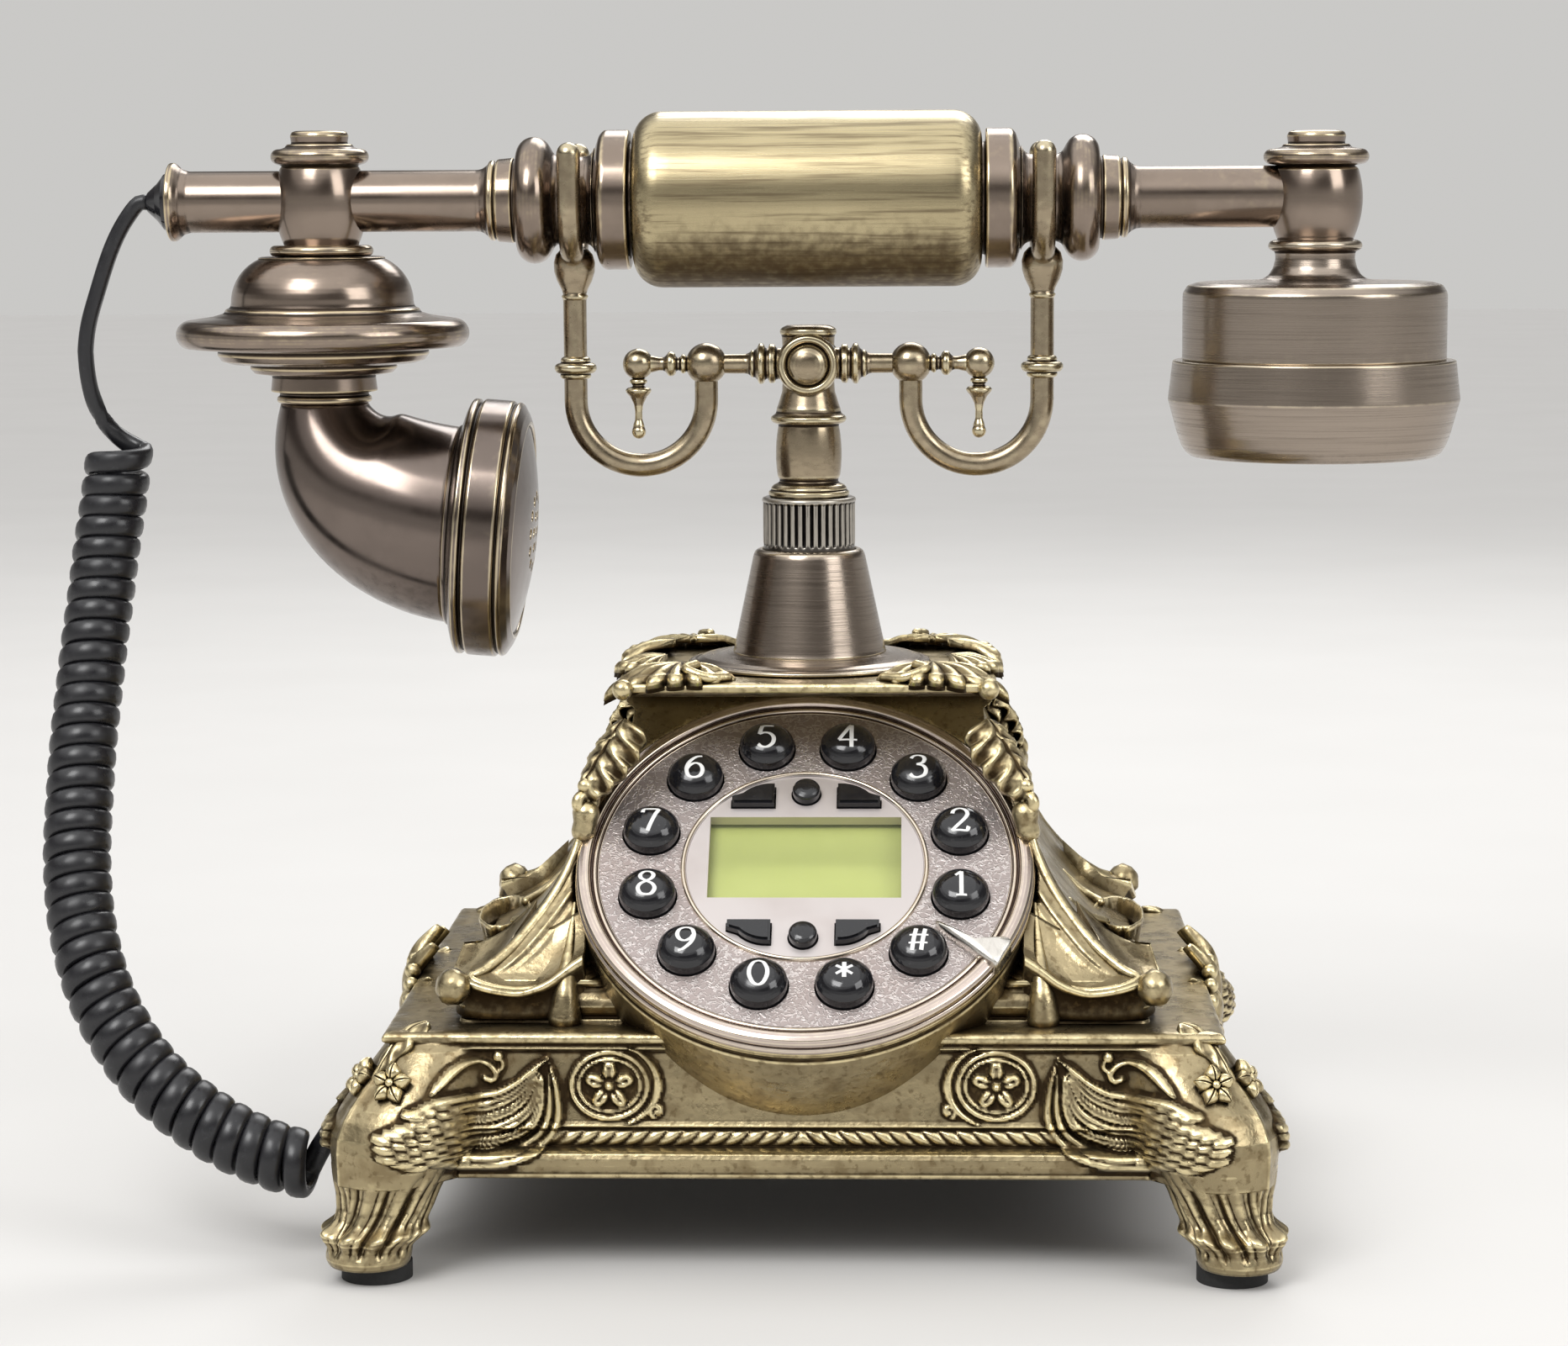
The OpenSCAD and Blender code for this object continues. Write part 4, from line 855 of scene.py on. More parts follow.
class TELEPHONE_OT_cord(bpy.types.Operator):
    """Coiled handset cord, from the gland at the mouthpiece's end to the plug in the base's side"""

    bl_idname = "telephone.cord"
    bl_label = "Cord"

    def execute(self, context):
        thick = sizes().cord_thickness / MM
        radius = (sizes().coil_diameter / MM - thick) / 2
        strand, outward = coil_strand(sizes().coil_turns + 0.25, radius)
        lead = evenly(flowing(LEAD_ROUTE[:-1], 8), 1.0)
        path = np.vstack([lead, strand])
        sides = np.vstack([np.tile([0, -1.0, 0], (len(lead), 1)), outward])
        bend = len(lead)
        near = slice(bend - 12, bend + 12)
        path[near] = softened(path[near], 50)
        sides[bend - 8:bend + 8] = softened(sides[bend - 8:bend + 8], 40)
        sides = unit(sides)
        wide = 0.5 * (thick + (STRAND_WIDTH - thick) * smoothstep(bend - 2, bend + 14, np.arange(len(path))))
        cut = len(path) - PER_TURN
        material = cord_vinyl()
        tail = np.vstack([path[cut:], flowing(TAIL_ROUTE, 6)[7:]])
        tail_sides = np.vstack([sides[cut:], np.tile(sides[-1], (len(tail) - PER_TURN, 1))])
        tail[PER_TURN - 3:] = softened(tail[PER_TURN - 3:], 8)
        tail_wide = np.interp(np.arange(len(tail)), [0, PER_TURN, len(tail) - 1], [wide[-1], wide[-1], thick / 2])
        plug = bpy.data.objects["cord_plug"]
        for name, line, side, half, bodies, ends, nodes, far, extra in (
            ("handset_cord_coil", path[:cut + 1], sides[:cut + 1], wide[:cut + 1], ("cradle", "handset"),
             ((-112, -56, 21), (-149, 0, 222)), ("cord_lead", "cord_coil"), "object", ()),
            ("handset_cord_tail", tail, tail_sides, tail_wide, ("base", "cradle"),
             ((-99, -49, 31), (-106, -56, 20)), ("cord_tail",), "plug", (plug,)),
        ):
            grid = closed_ends(carried(line, side, strand_section(thick / 2, half, len(line))))
            piece = add_piece(name, [(grid, True)], material, None, nodes)
            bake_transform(piece)
        return {"FINISHED"}


# ---------------------------------------------------------------- handset


class TELEPHONE_OT_grip(bpy.types.Operator):
    """Grip barrel with its well rounded ends, and the two ferrules beside it"""

    bl_idname = "telephone.grip"
    bl_label = "Grip"

    def execute(self, context):
        half, radius = GRIP_HIGH[0], (GRIP_HIGH[2] - GRIP_LOW[2]) / 2
        corner = 6.4
        outline = [(half - 0.9, 9.2), (half - 0.2, radius - corner - 0.6)]
        outline += bow((half - corner, radius - corner), corner, 86, 0, 10)
        outline += [(half - corner - 3, radius)]
        profile = outline + [(0, radius)] + [(-d, r) for d, r in reversed(outline)]
        barrel = placed(turned(profile, 160), (0, 0, AXIS_Z), (0, 1, 0), (0, 0, 1))
        # Painted shade: the lower half of the barrel is darkened through its mask.
        lower_half_shade = 0.27 * smoothstep(3, -13, barrel[..., 2] - AXIS_Z)
        add_piece("grip_barrel_finished", [(barrel, True, lower_half_shade)], long_brushed_brass(), "handset",
                  ("grip_barrel",))
        sheets = []
        for side in (-1, 1):
            ring = rounded([
                (half - 4, 8), (half - 4, 12.2), (half + 0.75, 12.4), (half + 0.75, FERRULE_R - 0.3),
                (half + 1.1, FERRULE_R), (NECK_IN - 2.2, FERRULE_R), (NECK_IN - 1.2, FERRULE_R - 1.0),
                (NECK_IN - 0.5, FERRULE_R - 3), (NECK_IN, NECK_R + 1.2), (NECK_IN, 5),
            ], 0.5)
            sheets.append((placed(turned(ring, 128), (0, 0, AXIS_Z), (0, side, 0), (0, 0, 1)), True))
        add_piece("grip_ferrules_finished", sheets, polished_bronze(), "handset", ("grip_collars",))
        return {"FINISHED"}


def tee_top(x):
    """How far over the handset's axis a tee ends; the earpiece's tee is the lower one."""
    return 7.9 if x < 0 else 6.7


def tee_barrel(x):
    """The tee's barrel: a gentle bulge about an upright axis, with a fine groove near each end."""
    bulge = [(z, 10.3 - 0.024 * (z + 0.4) ** 2) for z in np.linspace(-9.2, tee_top(x) - 0.6, 15)]
    profile = [(-TEE_BOTTOM, 0), (-TEE_BOTTOM, 8.2)] + bulge + [(tee_top(x), 8.4), (tee_top(x), 0)]
    return turned(rounded(profile, 0.4), 96) + np.array([x, 0, AXIS_Z])


def stem_profile(end):
    """Distances out from the grip's middle and radii, from the neck through the bead to the plain tube."""
    n, b = NECK_OUT, BEAD_OUT
    turn = np.radians(range(15, 91, 15))
    cove = [(NECK_IN + 2.4 - 2.4 * math.cos(a), NECK_R + 2.6 - 2.6 * math.sin(a)) for a in turn]
    return [(NECK_IN, 5), (NECK_IN, NECK_R + 1.9)] + cove + [
        (n - 1.6, NECK_R), (n - 0.6, NECK_R + 0.5), (n, NECK_R + 1.5),
    ] + bow((n + 3.9, 10.1), 3.9, -62, 72, 10) + [
        (b - 0.3, 10.3), (b, 9.0), (b + 0.5, 8.9), (b + 0.7, 9.4), (b + 4.2, 9.1), (b + 4.6, 8.3), (b + 5.0, 8.9),
        (b + 5.9, 8.8), (b + 6.4, 7.9), (b + 7.6, TUBE_R + 0.25), (b + 8.6, TUBE_R), (end, TUBE_R),
    ]


class TELEPHONE_OT_stems(bpy.types.Operator):
    """Left and right stems: neck, bead, collars and tube, with the tee that carries the mouthpiece or earpiece"""

    bl_idname = "telephone.stems"
    bl_label = "Stems"

    def execute(self, context):
        lip = [(TAIL_END - 3.0, TUBE_R), (TAIL_END - 1.4, TUBE_R + 0.5), (TAIL_END - 0.4, TUBE_R + 1.5),
               (TAIL_END + 0.2, TUBE_R + 1.9), (TAIL_END + 1.2, TUBE_R + 1.9), (TAIL_END + 1.5, TUBE_R + 1.2),
               (TAIL_END + 1.5, 3)]
        left = rounded(stem_profile(TAIL_END - 4) + lip, 0.35)
        right = rounded(stem_profile(EAR_X - 2) + [(EAR_X - 2, 3)], 0.35)
        for name, side, profile, x in (("left", -1, left, -MOUTH_X), ("right", 1, right, EAR_X)):
            line = placed(turned(profile, 112), (0, 0, AXIS_Z), (0, side, 0), (0, 0, 1))
            add_piece(f"{name}_stem_finished", [(line, True), (tee_barrel(x), True)], polished_bronze(),
                      "handset", (f"{name}_stem",))
        return {"FINISHED"}


def tie_cap(x, radius):
    """The flanged cap on a tee: a rounded flange, a narrow step and a round button with a shallow dish."""
    t = tee_top(x)
    profile = [(t - 1, 0), (t - 1, 7.8), (t + 0.1, 8.6)] + bow((t + 2.0, radius - 1.7), 1.7, -80, 80, 8)
    profile += [(t + 3.7, radius - 2.2), (t + 4.1, 7.6), (t + 4.7, 7.3), (t + 4.8, 6.2), (t + 6.0, 6.4),
                (t + 6.6, 6.5), (t + 7.4, 6.1), (t + 7.7, 5.2), (t + 7.5, 4.7), (t + 7.4, 0)]
    return turned(rounded(profile, 0.3), 96) + np.array([x, 0, AXIS_Z])


class TELEPHONE_OT_tie_caps(bpy.types.Operator):
    """Flanged caps on the two tees"""

    bl_idname = "telephone.tie_caps"
    bl_label = "Tie Caps"

    def execute(self, context):
        for name, x, radius in (("mouthpiece", -MOUTH_X, 10.9), ("earpiece", EAR_X, 11.6)):
            add_piece(f"{name}_tie_cap", [(tie_cap(x, radius), True)], polished_bronze(), "handset",
                      (f"{name}_mount",))
        return {"FINISHED"}


def horn_line(count):
    """The horn's middle, a Bezier curve from straight down to its tilted mouth, with the across direction and
    the radius, which grows as the sine of the way along."""
    t = np.linspace(0, 1, count)[:, None]
    a, b, c, d = (np.array(p, float) for p in ((0, 0), (0, -14), (9, HORN_DZ + 3), (HORN_DX, HORN_DZ)))
    line = (1 - t) ** 3 * a + 3 * (1 - t) ** 2 * t * b + 3 * (1 - t) * t**2 * c + t**3 * d
    t = t[:, 0]
    angle = np.radians(-90 + (90 - HORN_TILT) * np.sin(np.pi / 2 * t) ** 1.15)
    across = np.stack([-np.sin(angle), np.cos(angle)], axis=-1)
    radius = HORN_R0 + (HORN_R1 - HORN_R0) * np.sin(np.pi / 2 * t**1.05)
    return line, across, radius


class TELEPHONE_OT_mouthpiece(bpy.types.Operator):
    """Stepped shroud, curved horn and the ringed, pierced cap of the mouthpiece"""

    bl_idname = "telephone.mouthpiece"
    bl_label = "Mouthpiece"

    def execute(self, context):
        bronze = polished_bronze()
        r = SHROUD_R
        profile = [(-SHROUD_END, 4), (-SHROUD_END, 10.1), (-SHROUD_END + 0.5, 10.6), (-SHROUD_END + 1.4, 10.5),
                   (-SHROUD_END + 1.7, 9.9), (-SHROUD_END + 2.3, 9.9), (-SHROUD_END + 2.6, 11.9), (-38.6, 11.5),
                   (-38.3, 13.2), (-38.0, 15.4), (-36.9, 16.4), (-36.0, 16.2), (-35.8, 20.5), (-35.2, 22.6),
                   (-33.8, 23.6), (-32.9, 23.4), (-32.5, r - 5.5)]
        profile += bow((-29.3, r - 3.2), 3.2, -82, 74, 10)[1:]
        profile += [(-25.4, r - 8), (-24.6, 21.9), (-23.8, 21.6), (-23.3, 20.5)] + bow((-22.4, 9.6), 10.7, 0, 66, 10)
        profile += [(-12.4, 14.2), (-12.1, 13.2), (-12.3, 12.0), (-12.9, 10.4), (-12.4, 9.4)]
        profile += bow((-10.9, 10.3), 1.25, -60, 80, 6) + [(-9.7, 8.4), (-9.7, 4)]
        shroud = turned(rounded(profile, 0.3), 160) + np.array([-MOUTH_X, 0, AXIS_Z])
        add_piece("mouthpiece_shroud_finished", [(shroud, True)], bronze, "handset",
                  ("mouthpiece_shroud",))
        line, across, radius = horn_line(48)
        a = once_round(80)
        out = radius[:, None, None] * np.cos(a)[None, :, None] * across[:, None]
        x, z = np.moveaxis(line[:, None] + out, -1, 0)
        skin = np.stack([x - MOUTH_X, radius[:, None] * np.sin(a)[None], z + AXIS_Z - SHROUD_END], axis=-1)
        # The horn and its cap take the darker copy of the bronze: painted shade.
        add_piece("mouthpiece_horn_finished", [(closed_ends(skin), True)], shaded_bronze(), "handset",
                  ("mouthpiece_horn",))
        add_piece("mouthpiece_cap_finished", mouth_cap(), shaded_bronze(), "handset",
                  ("mouthpiece_cap",))
        return {"FINISHED"}


def mouth_frame(grid):
    """From the cap's own axes to its place on the horn's mouth, tilted a little downward."""
    tilt = math.radians(HORN_TILT)
    origin = (-MOUTH_X + HORN_DX, 0, AXIS_Z - SHROUD_END + HORN_DZ)
    return placed(grid, origin, (0, 1, 0), (math.sin(tilt), 0, math.cos(tilt)))


def pierced_dome(depth, reach, rings, pitch, hole):
    """A shallow dome with round holes pressed into it: its height falls with the square of the distance
    from the middle, and drops steeply within each hole, whose places are rings of six, twelve and so on. The
    depth of the holes is also returned as a mask that paints shade inside them."""
    radius = np.concatenate([np.linspace(0.02, pitch * rings + 2.4, 90), np.linspace(pitch * rings + 3, reach, 14)])
    angle = once_round(240)
    x, y = radius[:, None] * np.cos(angle), radius[:, None] * np.sin(angle)
    away = np.hypot(x, y)
    for ring in range(1, rings + 1):
        step = 2 * math.pi / (6 * ring)
        turn = np.arctan2(y, x)
        turn = turn - step * np.round(turn / step)
        spot = np.hypot(np.hypot(x, y) * np.cos(turn) - pitch * ring, np.hypot(x, y) * np.sin(turn))
        away = np.minimum(away, spot)
    # Painted shade: the sink is also the mask that darkens the holes, standing in for the shade seen through them.
    sink = smoothstep(hole + 0.25, hole - 0.35, away)
    height = depth * (1 - (np.hypot(x, y) / reach) ** 2) - 1.6 * sink
    grid = np.stack([x, y, height], axis=-1)
    back = np.array([[1, 1, 0], [0, 0, 0]])[:, None] * grid[-1:] + np.array([0, 0, min(depth, 0) - 2.5])
    return np.concatenate([grid[:1] * [0, 0, 1], grid, back]), np.pad(sink, ((1, 2), (0, 0)))


def mouth_cap():
    """The mouthpiece's cap: a turned rim with a groove each side of a flat band, and a pierced dome inside it."""
    r = MOUTH_CAP_R
    profile = [(-0.4, 8), (-0.4, HORN_R1 + 0.4), (0.6, HORN_R1 + 0.8), (1.2, 25.2), (1.8, r - 1.6), (2.2, r - 0.6),
               (2.6, r - 0.1), (3.6, r - 0.1), (3.9, r - 0.5), (4.1, r - 1.2), (4.5, r - 1.2), (4.7, r - 0.4),
               (5.1, r), (8, r), (11.2, r), (11.6, r - 0.4), (11.8, r - 0.9), (12.1, r - 0.9), (12.3, r - 0.4),
               (12.7, r - 0.2), (13.4, r - 0.6), (14.6, r - 2.6), (15.4, r - 4.6), (15.2, r - 5.2), (14.7, r - 5.4)]
    rim = rounded(profile, 0.2, 2)
    dome, sink = pierced_dome(3.4, r - 5.3, 2, 4.0, 0.95)
    dome[..., 2] += 14.8
    # The sink mask paints shade inside the holes.
    return [(mouth_frame(turned(rim, 144)), True), (mouth_frame(dome), True, sink)]


class TELEPHONE_OT_earpiece(bpy.types.Operator):
    """Earpiece cup with its flared neck, and the bevelled cap under it"""

    bl_idname = "telephone.earpiece"
    bl_label = "Earpiece"

    def execute(self, context):
        brushed = round_brushed_bronze()
        r, top, rim = EAR_R, -EAR_TOP, -EAR_TOP - EAR_WALL
        neck = [(-TEE_BOTTOM + 0.4, 6), (-TEE_BOTTOM + 0.4, 9.0)] + bow((-TEE_BOTTOM - 0.9, 9.2), 1.15, 70, -70, 6)
        neck += [(-TEE_BOTTOM - 2.2, 8.9), (-13.6, 8.7), (-15.6, 9.2), (-17.2, 10.1), (-18.1, 11.4), (top, 13.5)]
        cup = rounded(neck + [(top - 0.3, r - 3.4), (top - 1.0, r - 1.1), (top - 2.6, r - 0.1), (top - 3.4, r),
                              (rim, r), (rim, r - 3), (rim - 3, r - 4)], 0.35)
        ear = np.array([EAR_X, 0, AXIS_Z])
        add_piece("earpiece_cup_finished", [(turned(cup, 160) + ear, True)], brushed, "handset",
                  ("earpiece_cup",))
        bottom = rim - EAR_CAP
        cap = rounded([(rim - 0.4, r - 4), (rim + 0.05, r - 0.6), (rim, r + 1.9), (rim - 0.3, r + 2.15),
                       (rim - 8.7, r + 3.1), (rim - 9.4, r + 2.9), (rim - 16, r + 1.1), (rim - 18.8, r + 0.1),
                       (bottom + 1.1, r - 0.9), (bottom + 0.2, r - 2.2), (bottom, r - 4.4), (bottom + 0.3, r - 5.6),
                       (bottom + 1.2, r - 6.2)],
                       0.4)
        dish, sink = pierced_dome(-1.6, r - 6, 2, 4.5, 1.05)
        dish[..., 2] = bottom + 1.2 - dish[..., 2]
        # The sink mask paints shade inside the holes.
        sheets = [(turned(cap, 160) + ear, True), (dish + ear, True, sink)]
        add_piece("earpiece_cap_finished", sheets, brushed, "handset", ("earpiece_cap",))
        return {"FINISHED"}


# ---------------------------------------------------------------- cradle, mast and dial


def lathed(profile, origin, along, count=96):
    """A turned profile stood on a direction: its distances run along it from the origin."""
    along = unit(np.array(along, float))
    side = unit(np.cross(along, (0.3, 0.9, 0.2) if abs(along[1]) < 0.9 else (1, 0, 0)))
    return placed(turned(profile, count), origin, side, np.cross(along, side))


class TELEPHONE_OT_cradle(bpy.types.Operator):
    """Cradle post with its round hub and side sockets, standing on the ribbed sleeve"""

    bl_idname = "telephone.cradle"
    bl_label = "Cradle Post"

    def execute(self, context):
        top = SLEEVE_TOP
        post = [(top - 3, 7.4), (top, 8.6), (top + 0.4, 9.0), (top + 1.2, 9.05), (top + 1.6, 8.4), (top + 2.0, 8.5),
                (top + 2.7, 7.9), (top + 3.2, 6.7), (top + 3.8, 6.5)]
        post += [(z, 7.35 - 0.0145 * (z - top - 9.6) ** 2) for z in np.linspace(top + 4.6, top + 15.0, 12)]
        ring = POST_RING
        post += [(ring - 0.5, 6.7), (ring - 0.1, 8.0), (ring + 0.5, 8.45), (ring + 1.2, 8.4), (ring + 1.7, 7.6),
                 (ring + 2.2, 7.2), (ring + 3.0, 7.15), (ring + 3.6, 6.9), (ARM_Z - 6.2, 5.9), (ARM_Z, 5.6),
                 (ARM_Z + 6.2, 5.9), (ARM_Z + 6.7, 6.3), (ARM_Z + 7.6, 6.3), (ARM_Z + 8.1, 5.7), (ARM_Z + 8.5, 4.8)]
        sheets = [(turned(rounded(post, 0.3), 112), True)]
        face = [(-1, 6.9), (5.9, 6.9), (6.9, 6.7), (7.5, 6.1), (7.55, 5.4), (7.2, 5.0), (6.7, 4.8)]
        face += [(6.7 + 2.6 * math.sin(a), 4.6 * math.cos(a)) for a in np.radians((8, 20, 35, 50, 65, 78))]
        for side in (-1, 1):
            sheets.append((lathed(rounded(face, 0.25), (0, 0, ARM_Z), (0, side, 0)), True))
            arm = [(3, 3.5), (7.2, 3.5), (7.5, 4.3), (8.6, 4.4), (8.9, 3.8)]
            sheets.append((lathed(rounded(arm, 0.25), (0, 0, ARM_Z), (side, 0, 0), 64), True))
        add_piece("cradle_post_finished", sheets, cradle_brass(), "cradle", ("cradle_post",))
        add_piece("ribbed_sleeve", [(ribbed_sleeve(), True)], ribbed_metal(), "cradle",
                  ("hook_sleeve",))
        return {"FINISHED"}


SLEEVE_RIBS, RIB_DEPTH = 36, 0.75  # the ribs round the sleeve, and their depth in millimetres


def ribbed_sleeve():
    """A sleeve whose radius follows a rounded saw round its axis between two smooth ends."""
    heights = np.array([-24.9, -11.4, -11.1, -10.8, -10.6, -10.2, -6, -1.6, -1.3, -1.1, -0.9, -0.5, -0.15, 0, 0])
    radius = np.array([10.2, 10.2, 10.2, 10.2, 10.2, 10.3, 10.3, 10.3, 10.3, 10.4, 10.5, 10.5, 10.3, 9.9, 7])
    cut = np.array([0, 0, 0, 0, 0.3, 1, 1, 1, 0.7, 0.2, 0, 0, 0, 0, 0.0])
    a = once_round(SLEEVE_RIBS * 12)
    groove = RIB_DEPTH * (0.5 - 0.5 * np.cos(SLEEVE_RIBS * a)) ** 2.2
    r = radius[:, None] - cut[:, None] * groove
    grid = np.stack([r * np.cos(a), r * np.sin(a), np.repeat(heights[:, None] + SLEEVE_TOP, len(a), axis=1)], axis=-1)
    return closed_ends(grid)


class TELEPHONE_OT_forks(bpy.types.Operator):
    """The two forks: arm, ball, pendant finial, hooped rod, knob and the saddle under the handset's neck"""

    bl_idname = "telephone.forks"
    bl_label = "Forks"

    def execute(self, context):
        for name, side in (("left", -1), ("right", 1)):
            sheets = [(part * np.array([side, 1, 1]), True) for part in fork_parts()]
            add_piece(f"{name}_fork_finished", sheets, cradle_brass(), "cradle", (f"{name}_fork",))
        return {"FINISHED"}


def fork_parts():
    """The right fork's skins."""
    arm = [(8.0, 3.4), (9.5, 3.4), (9.9, 4.3), (10.4, 4.6), (11.0, 4.5), (11.4, 3.6), (11.9, 3.0), (12.6, 3.1),
           (13.1, 2.5), (13.8, 2.2), (19, 2.15), (22, 2.1), (27.2, 1.6), (27.6, 2.1), (28.2, 2.2), (28.6, 1.5),
           (29.4, 1.45), (29.8, 2.4), (30.4, 2.75), (31.2, 2.7), (31.7, 2.0), (32.2, 1.5), (33.2, 1.45), (35, 1.9),
           (37, 1.9)]
    parts = [lathed(rounded(arm, 0.25, 2), (0, 0, ARM_Z), (1, 0, 0), 56)]
    parts += [ball((BALL_X, 0, ARM_Z), 4.65, 48), ball((FINIAL_X, 0, ARM_Z), 3.45, 40)]
    drop = [(-2, 1.2), (3.2, 1.25), (3.5, 1.9), (4.1, 2.0), (4.5, 1.4), (5.0, 1.3), (5.3, 2.5), (5.8, 2.95),
            (6.4, 2.7), (7.4, 1.8), (9.0, 1.05), (10.6, 0.8), (12.4, 0.85), (13.6, 1.25)]
    drop += [(15.1 - 1.6 * math.cos(a), 1.6 * math.sin(a)) for a in np.radians((55, 75, 95, 115, 135, 155, 170))]
    parts.append(lathed(rounded(drop, 0.2, 2), (FINIAL_X, 0, ARM_Z), (0, 0, -1), 40))
    turn = np.radians(np.linspace(180, 360, 49))
    middle, reach = (BALL_X + FORK_X) / 2, (FORK_X - BALL_X) / 2
    bend = np.stack([middle + reach * np.cos(turn), 0 * turn, BEND_Z + reach * np.sin(turn)], axis=-1)
    low = AXIS_Z - SADDLE_R
    rod = np.vstack([[(BALL_X, 0, ARM_Z)], bend, [(FORK_X, 0, ARM_Z), (FORK_X, 0, low)]])
    parts.append(tube(evenly(rod, 1.1), ROD_R, (0, 1, 0), 28, (False, False)))
    knob = [(-3.4, 2.5), (-3.0, 3.3), (-2.5, 3.5), (-2.1, 3.3), (-1.9, 4.2), (-1.2, 4.7), (-0.3, 4.7), (0.2, 4.1),
            (0.4, 3.2), (0.9, 3.4), (1.4, 3.2), (1.8, 2.5)]
    parts.append(lathed(rounded(knob, 0.3, 2), (FORK_X, 0, ARM_Z), (0, 0, 1), 56))
    bulge = [(-9.5, 2.6), (-8.6, 3.0), (-8.2, 2.6), (-7.2, 2.9), (-5.2, 3.9), (-3.2, 4.5), (-1.2, 4.6), (0.6, 4.1),
             (1.8, 3.0)]
    parts.append(lathed(bulge, (FORK_X, 0, low), (0, 0, 1), 56))
    half = np.radians(np.linspace(-90, 90, 33))
    hoop = np.stack([0 * half + FORK_X, SADDLE_R * np.sin(half), AXIS_Z - SADDLE_R * np.cos(half)], axis=-1)
    prongs = np.vstack([hoop[:1] + np.array([0, 0, 10]), hoop, hoop[-1:] + np.array([0, 0, 10])])
    parts.append(tube(evenly(prongs, 0.9), ROD_R, (1, 0, 0), 28))
    return parts


class TELEPHONE_OT_mast(bpy.types.Operator):
    """Brushed cone of the mast and the thin disc under it"""

    bl_idname = "telephone.mast"
    bl_label = "Mast"

    def execute(self, context):
        z = TOWER_H + FLANGE_T
        cone = [(z - 0.2, 12), (z - 0.2, CONE_R - 0.2), (z + 0.3, CONE_R + 0.35), (z + 1.0, CONE_R + 0.1),
                (z + CONE_H - 1.4, CONE_TOP + 0.1), (z + CONE_H - 0.5, CONE_TOP - 0.3),
                (z + CONE_H, CONE_TOP - 1.1), (z + CONE_H, SLEEVE_R + 0.25), (z + CONE_H - 3, SLEEVE_R + 0.15)]
        add_piece("mast_cone_finished", [(turned(rounded(cone, 0.4), 160), True)], round_brushed_bronze(), "base",
                  ("mast_cone",))
        r, low = FLANGE_R, TOWER_H
        disc = [(low, r - 4), (low, r - 0.6), (low + 0.5, r), (low + 1.0, r - 0.1), (low + 1.3, r - 0.8),
                (low + 1.35, r - 1.7), (low + 1.7, r - 2.3), (low + 2.1, r - 3.4), (low + 2.6, CONE_R + 1.6),
                (low + 2.9, CONE_R + 0.3), (low + 2.9, CONE_R - 2)]
        add_piece("mast_flange_finished", [(turned(rounded(disc, 0.25), 160), True)], round_brushed_bronze(), "base",
                  ("mast_flange",))
        return {"FINISHED"}


def on_dial(grid):
    """From the dial's own axes (right, up, out of its face) to its place."""
    return placed(grid, DIAL_AT, (1, 0, 0), dial_axes()[0])


class TELEPHONE_OT_dial(bpy.types.Operator):
    """Bezel with its fine double rim, the bead ring round the display and the wedge-shaped finger stop"""

    bl_idname = "telephone.dial"
    bl_label = "Dial"

    def execute(self, context):
        r = RIM_R
        rim = [(-2.5, r - 1.9), (-2.5, r + BEZEL_WIDTH), (-1.7, r + BEZEL_WIDTH), (-1.3, r + 3.05),
               (-1.1, r + 2.75), (-0.5, r + 3.0), (0.3, r + 2.95), (0.95, r + 2.45), (1.3, r + 1.6), (1.4, r + 0.9),
               (1.3, r + 0.35), (0.9, r + 0.05), (0.45, r - 0.15), (0.3, r - 0.5), (0.6, r - 0.8), (0.65, r - 1.15),
               (0.4, r - 1.45), (0.02, r - 1.55), (0.02, r - 1.9)]
        bezel = on_dial(turned_ring(rounded(rim, 0.18), 224))
        add_piece("dial_bezel_finished", [(bezel, True)], bezel_metal(), "base", ("face_bezel",))
        bead = [(-0.3, 25.6), (0.35, 25.65), (0.62, 25.9), (0.7, 26.15), (0.62, 26.4), (0.35, 26.65), (-0.3, 26.7)]
        add_piece("dial_bead", [(on_dial(turned_ring(bead, 160)), True)], bezel_metal(), "base")
        outline = evenly(flowing([(27.9, -16.9), (31.2, -19.3), (35.4, -22.3), (38.4, -22.2), (41.2, -21.7),
                                  (43.0, -21.6), (43.9, -22.6), (42.6, -25.4), (40.9, -28.6), (39.2, -28.0),
                                  (36.9, -26.1), (34.6, -23.9), (31.0, -20.6), (27.7, -17.2)], 4)[:-1], 0.6)
        middle = outline.mean(axis=0)
        rings = [(1.0, -1.6), (1.0, 1.5), (0.985, 1.95), (0.95, 2.2), (0.6, 2.75), (0.15, 2.95)]
        grid = np.stack([
            np.c_[middle + (outline - middle) * share, np.full(len(outline), high)] for share, high in rings
        ])
        stop = on_dial(closed_ends(grid))
        add_piece("finger_stop_finished", [(stop, True)], bright_metal(), "base", ("finger_stop",))
        return {"FINISHED"}


FIGURE_H = 6.4  # millimetres

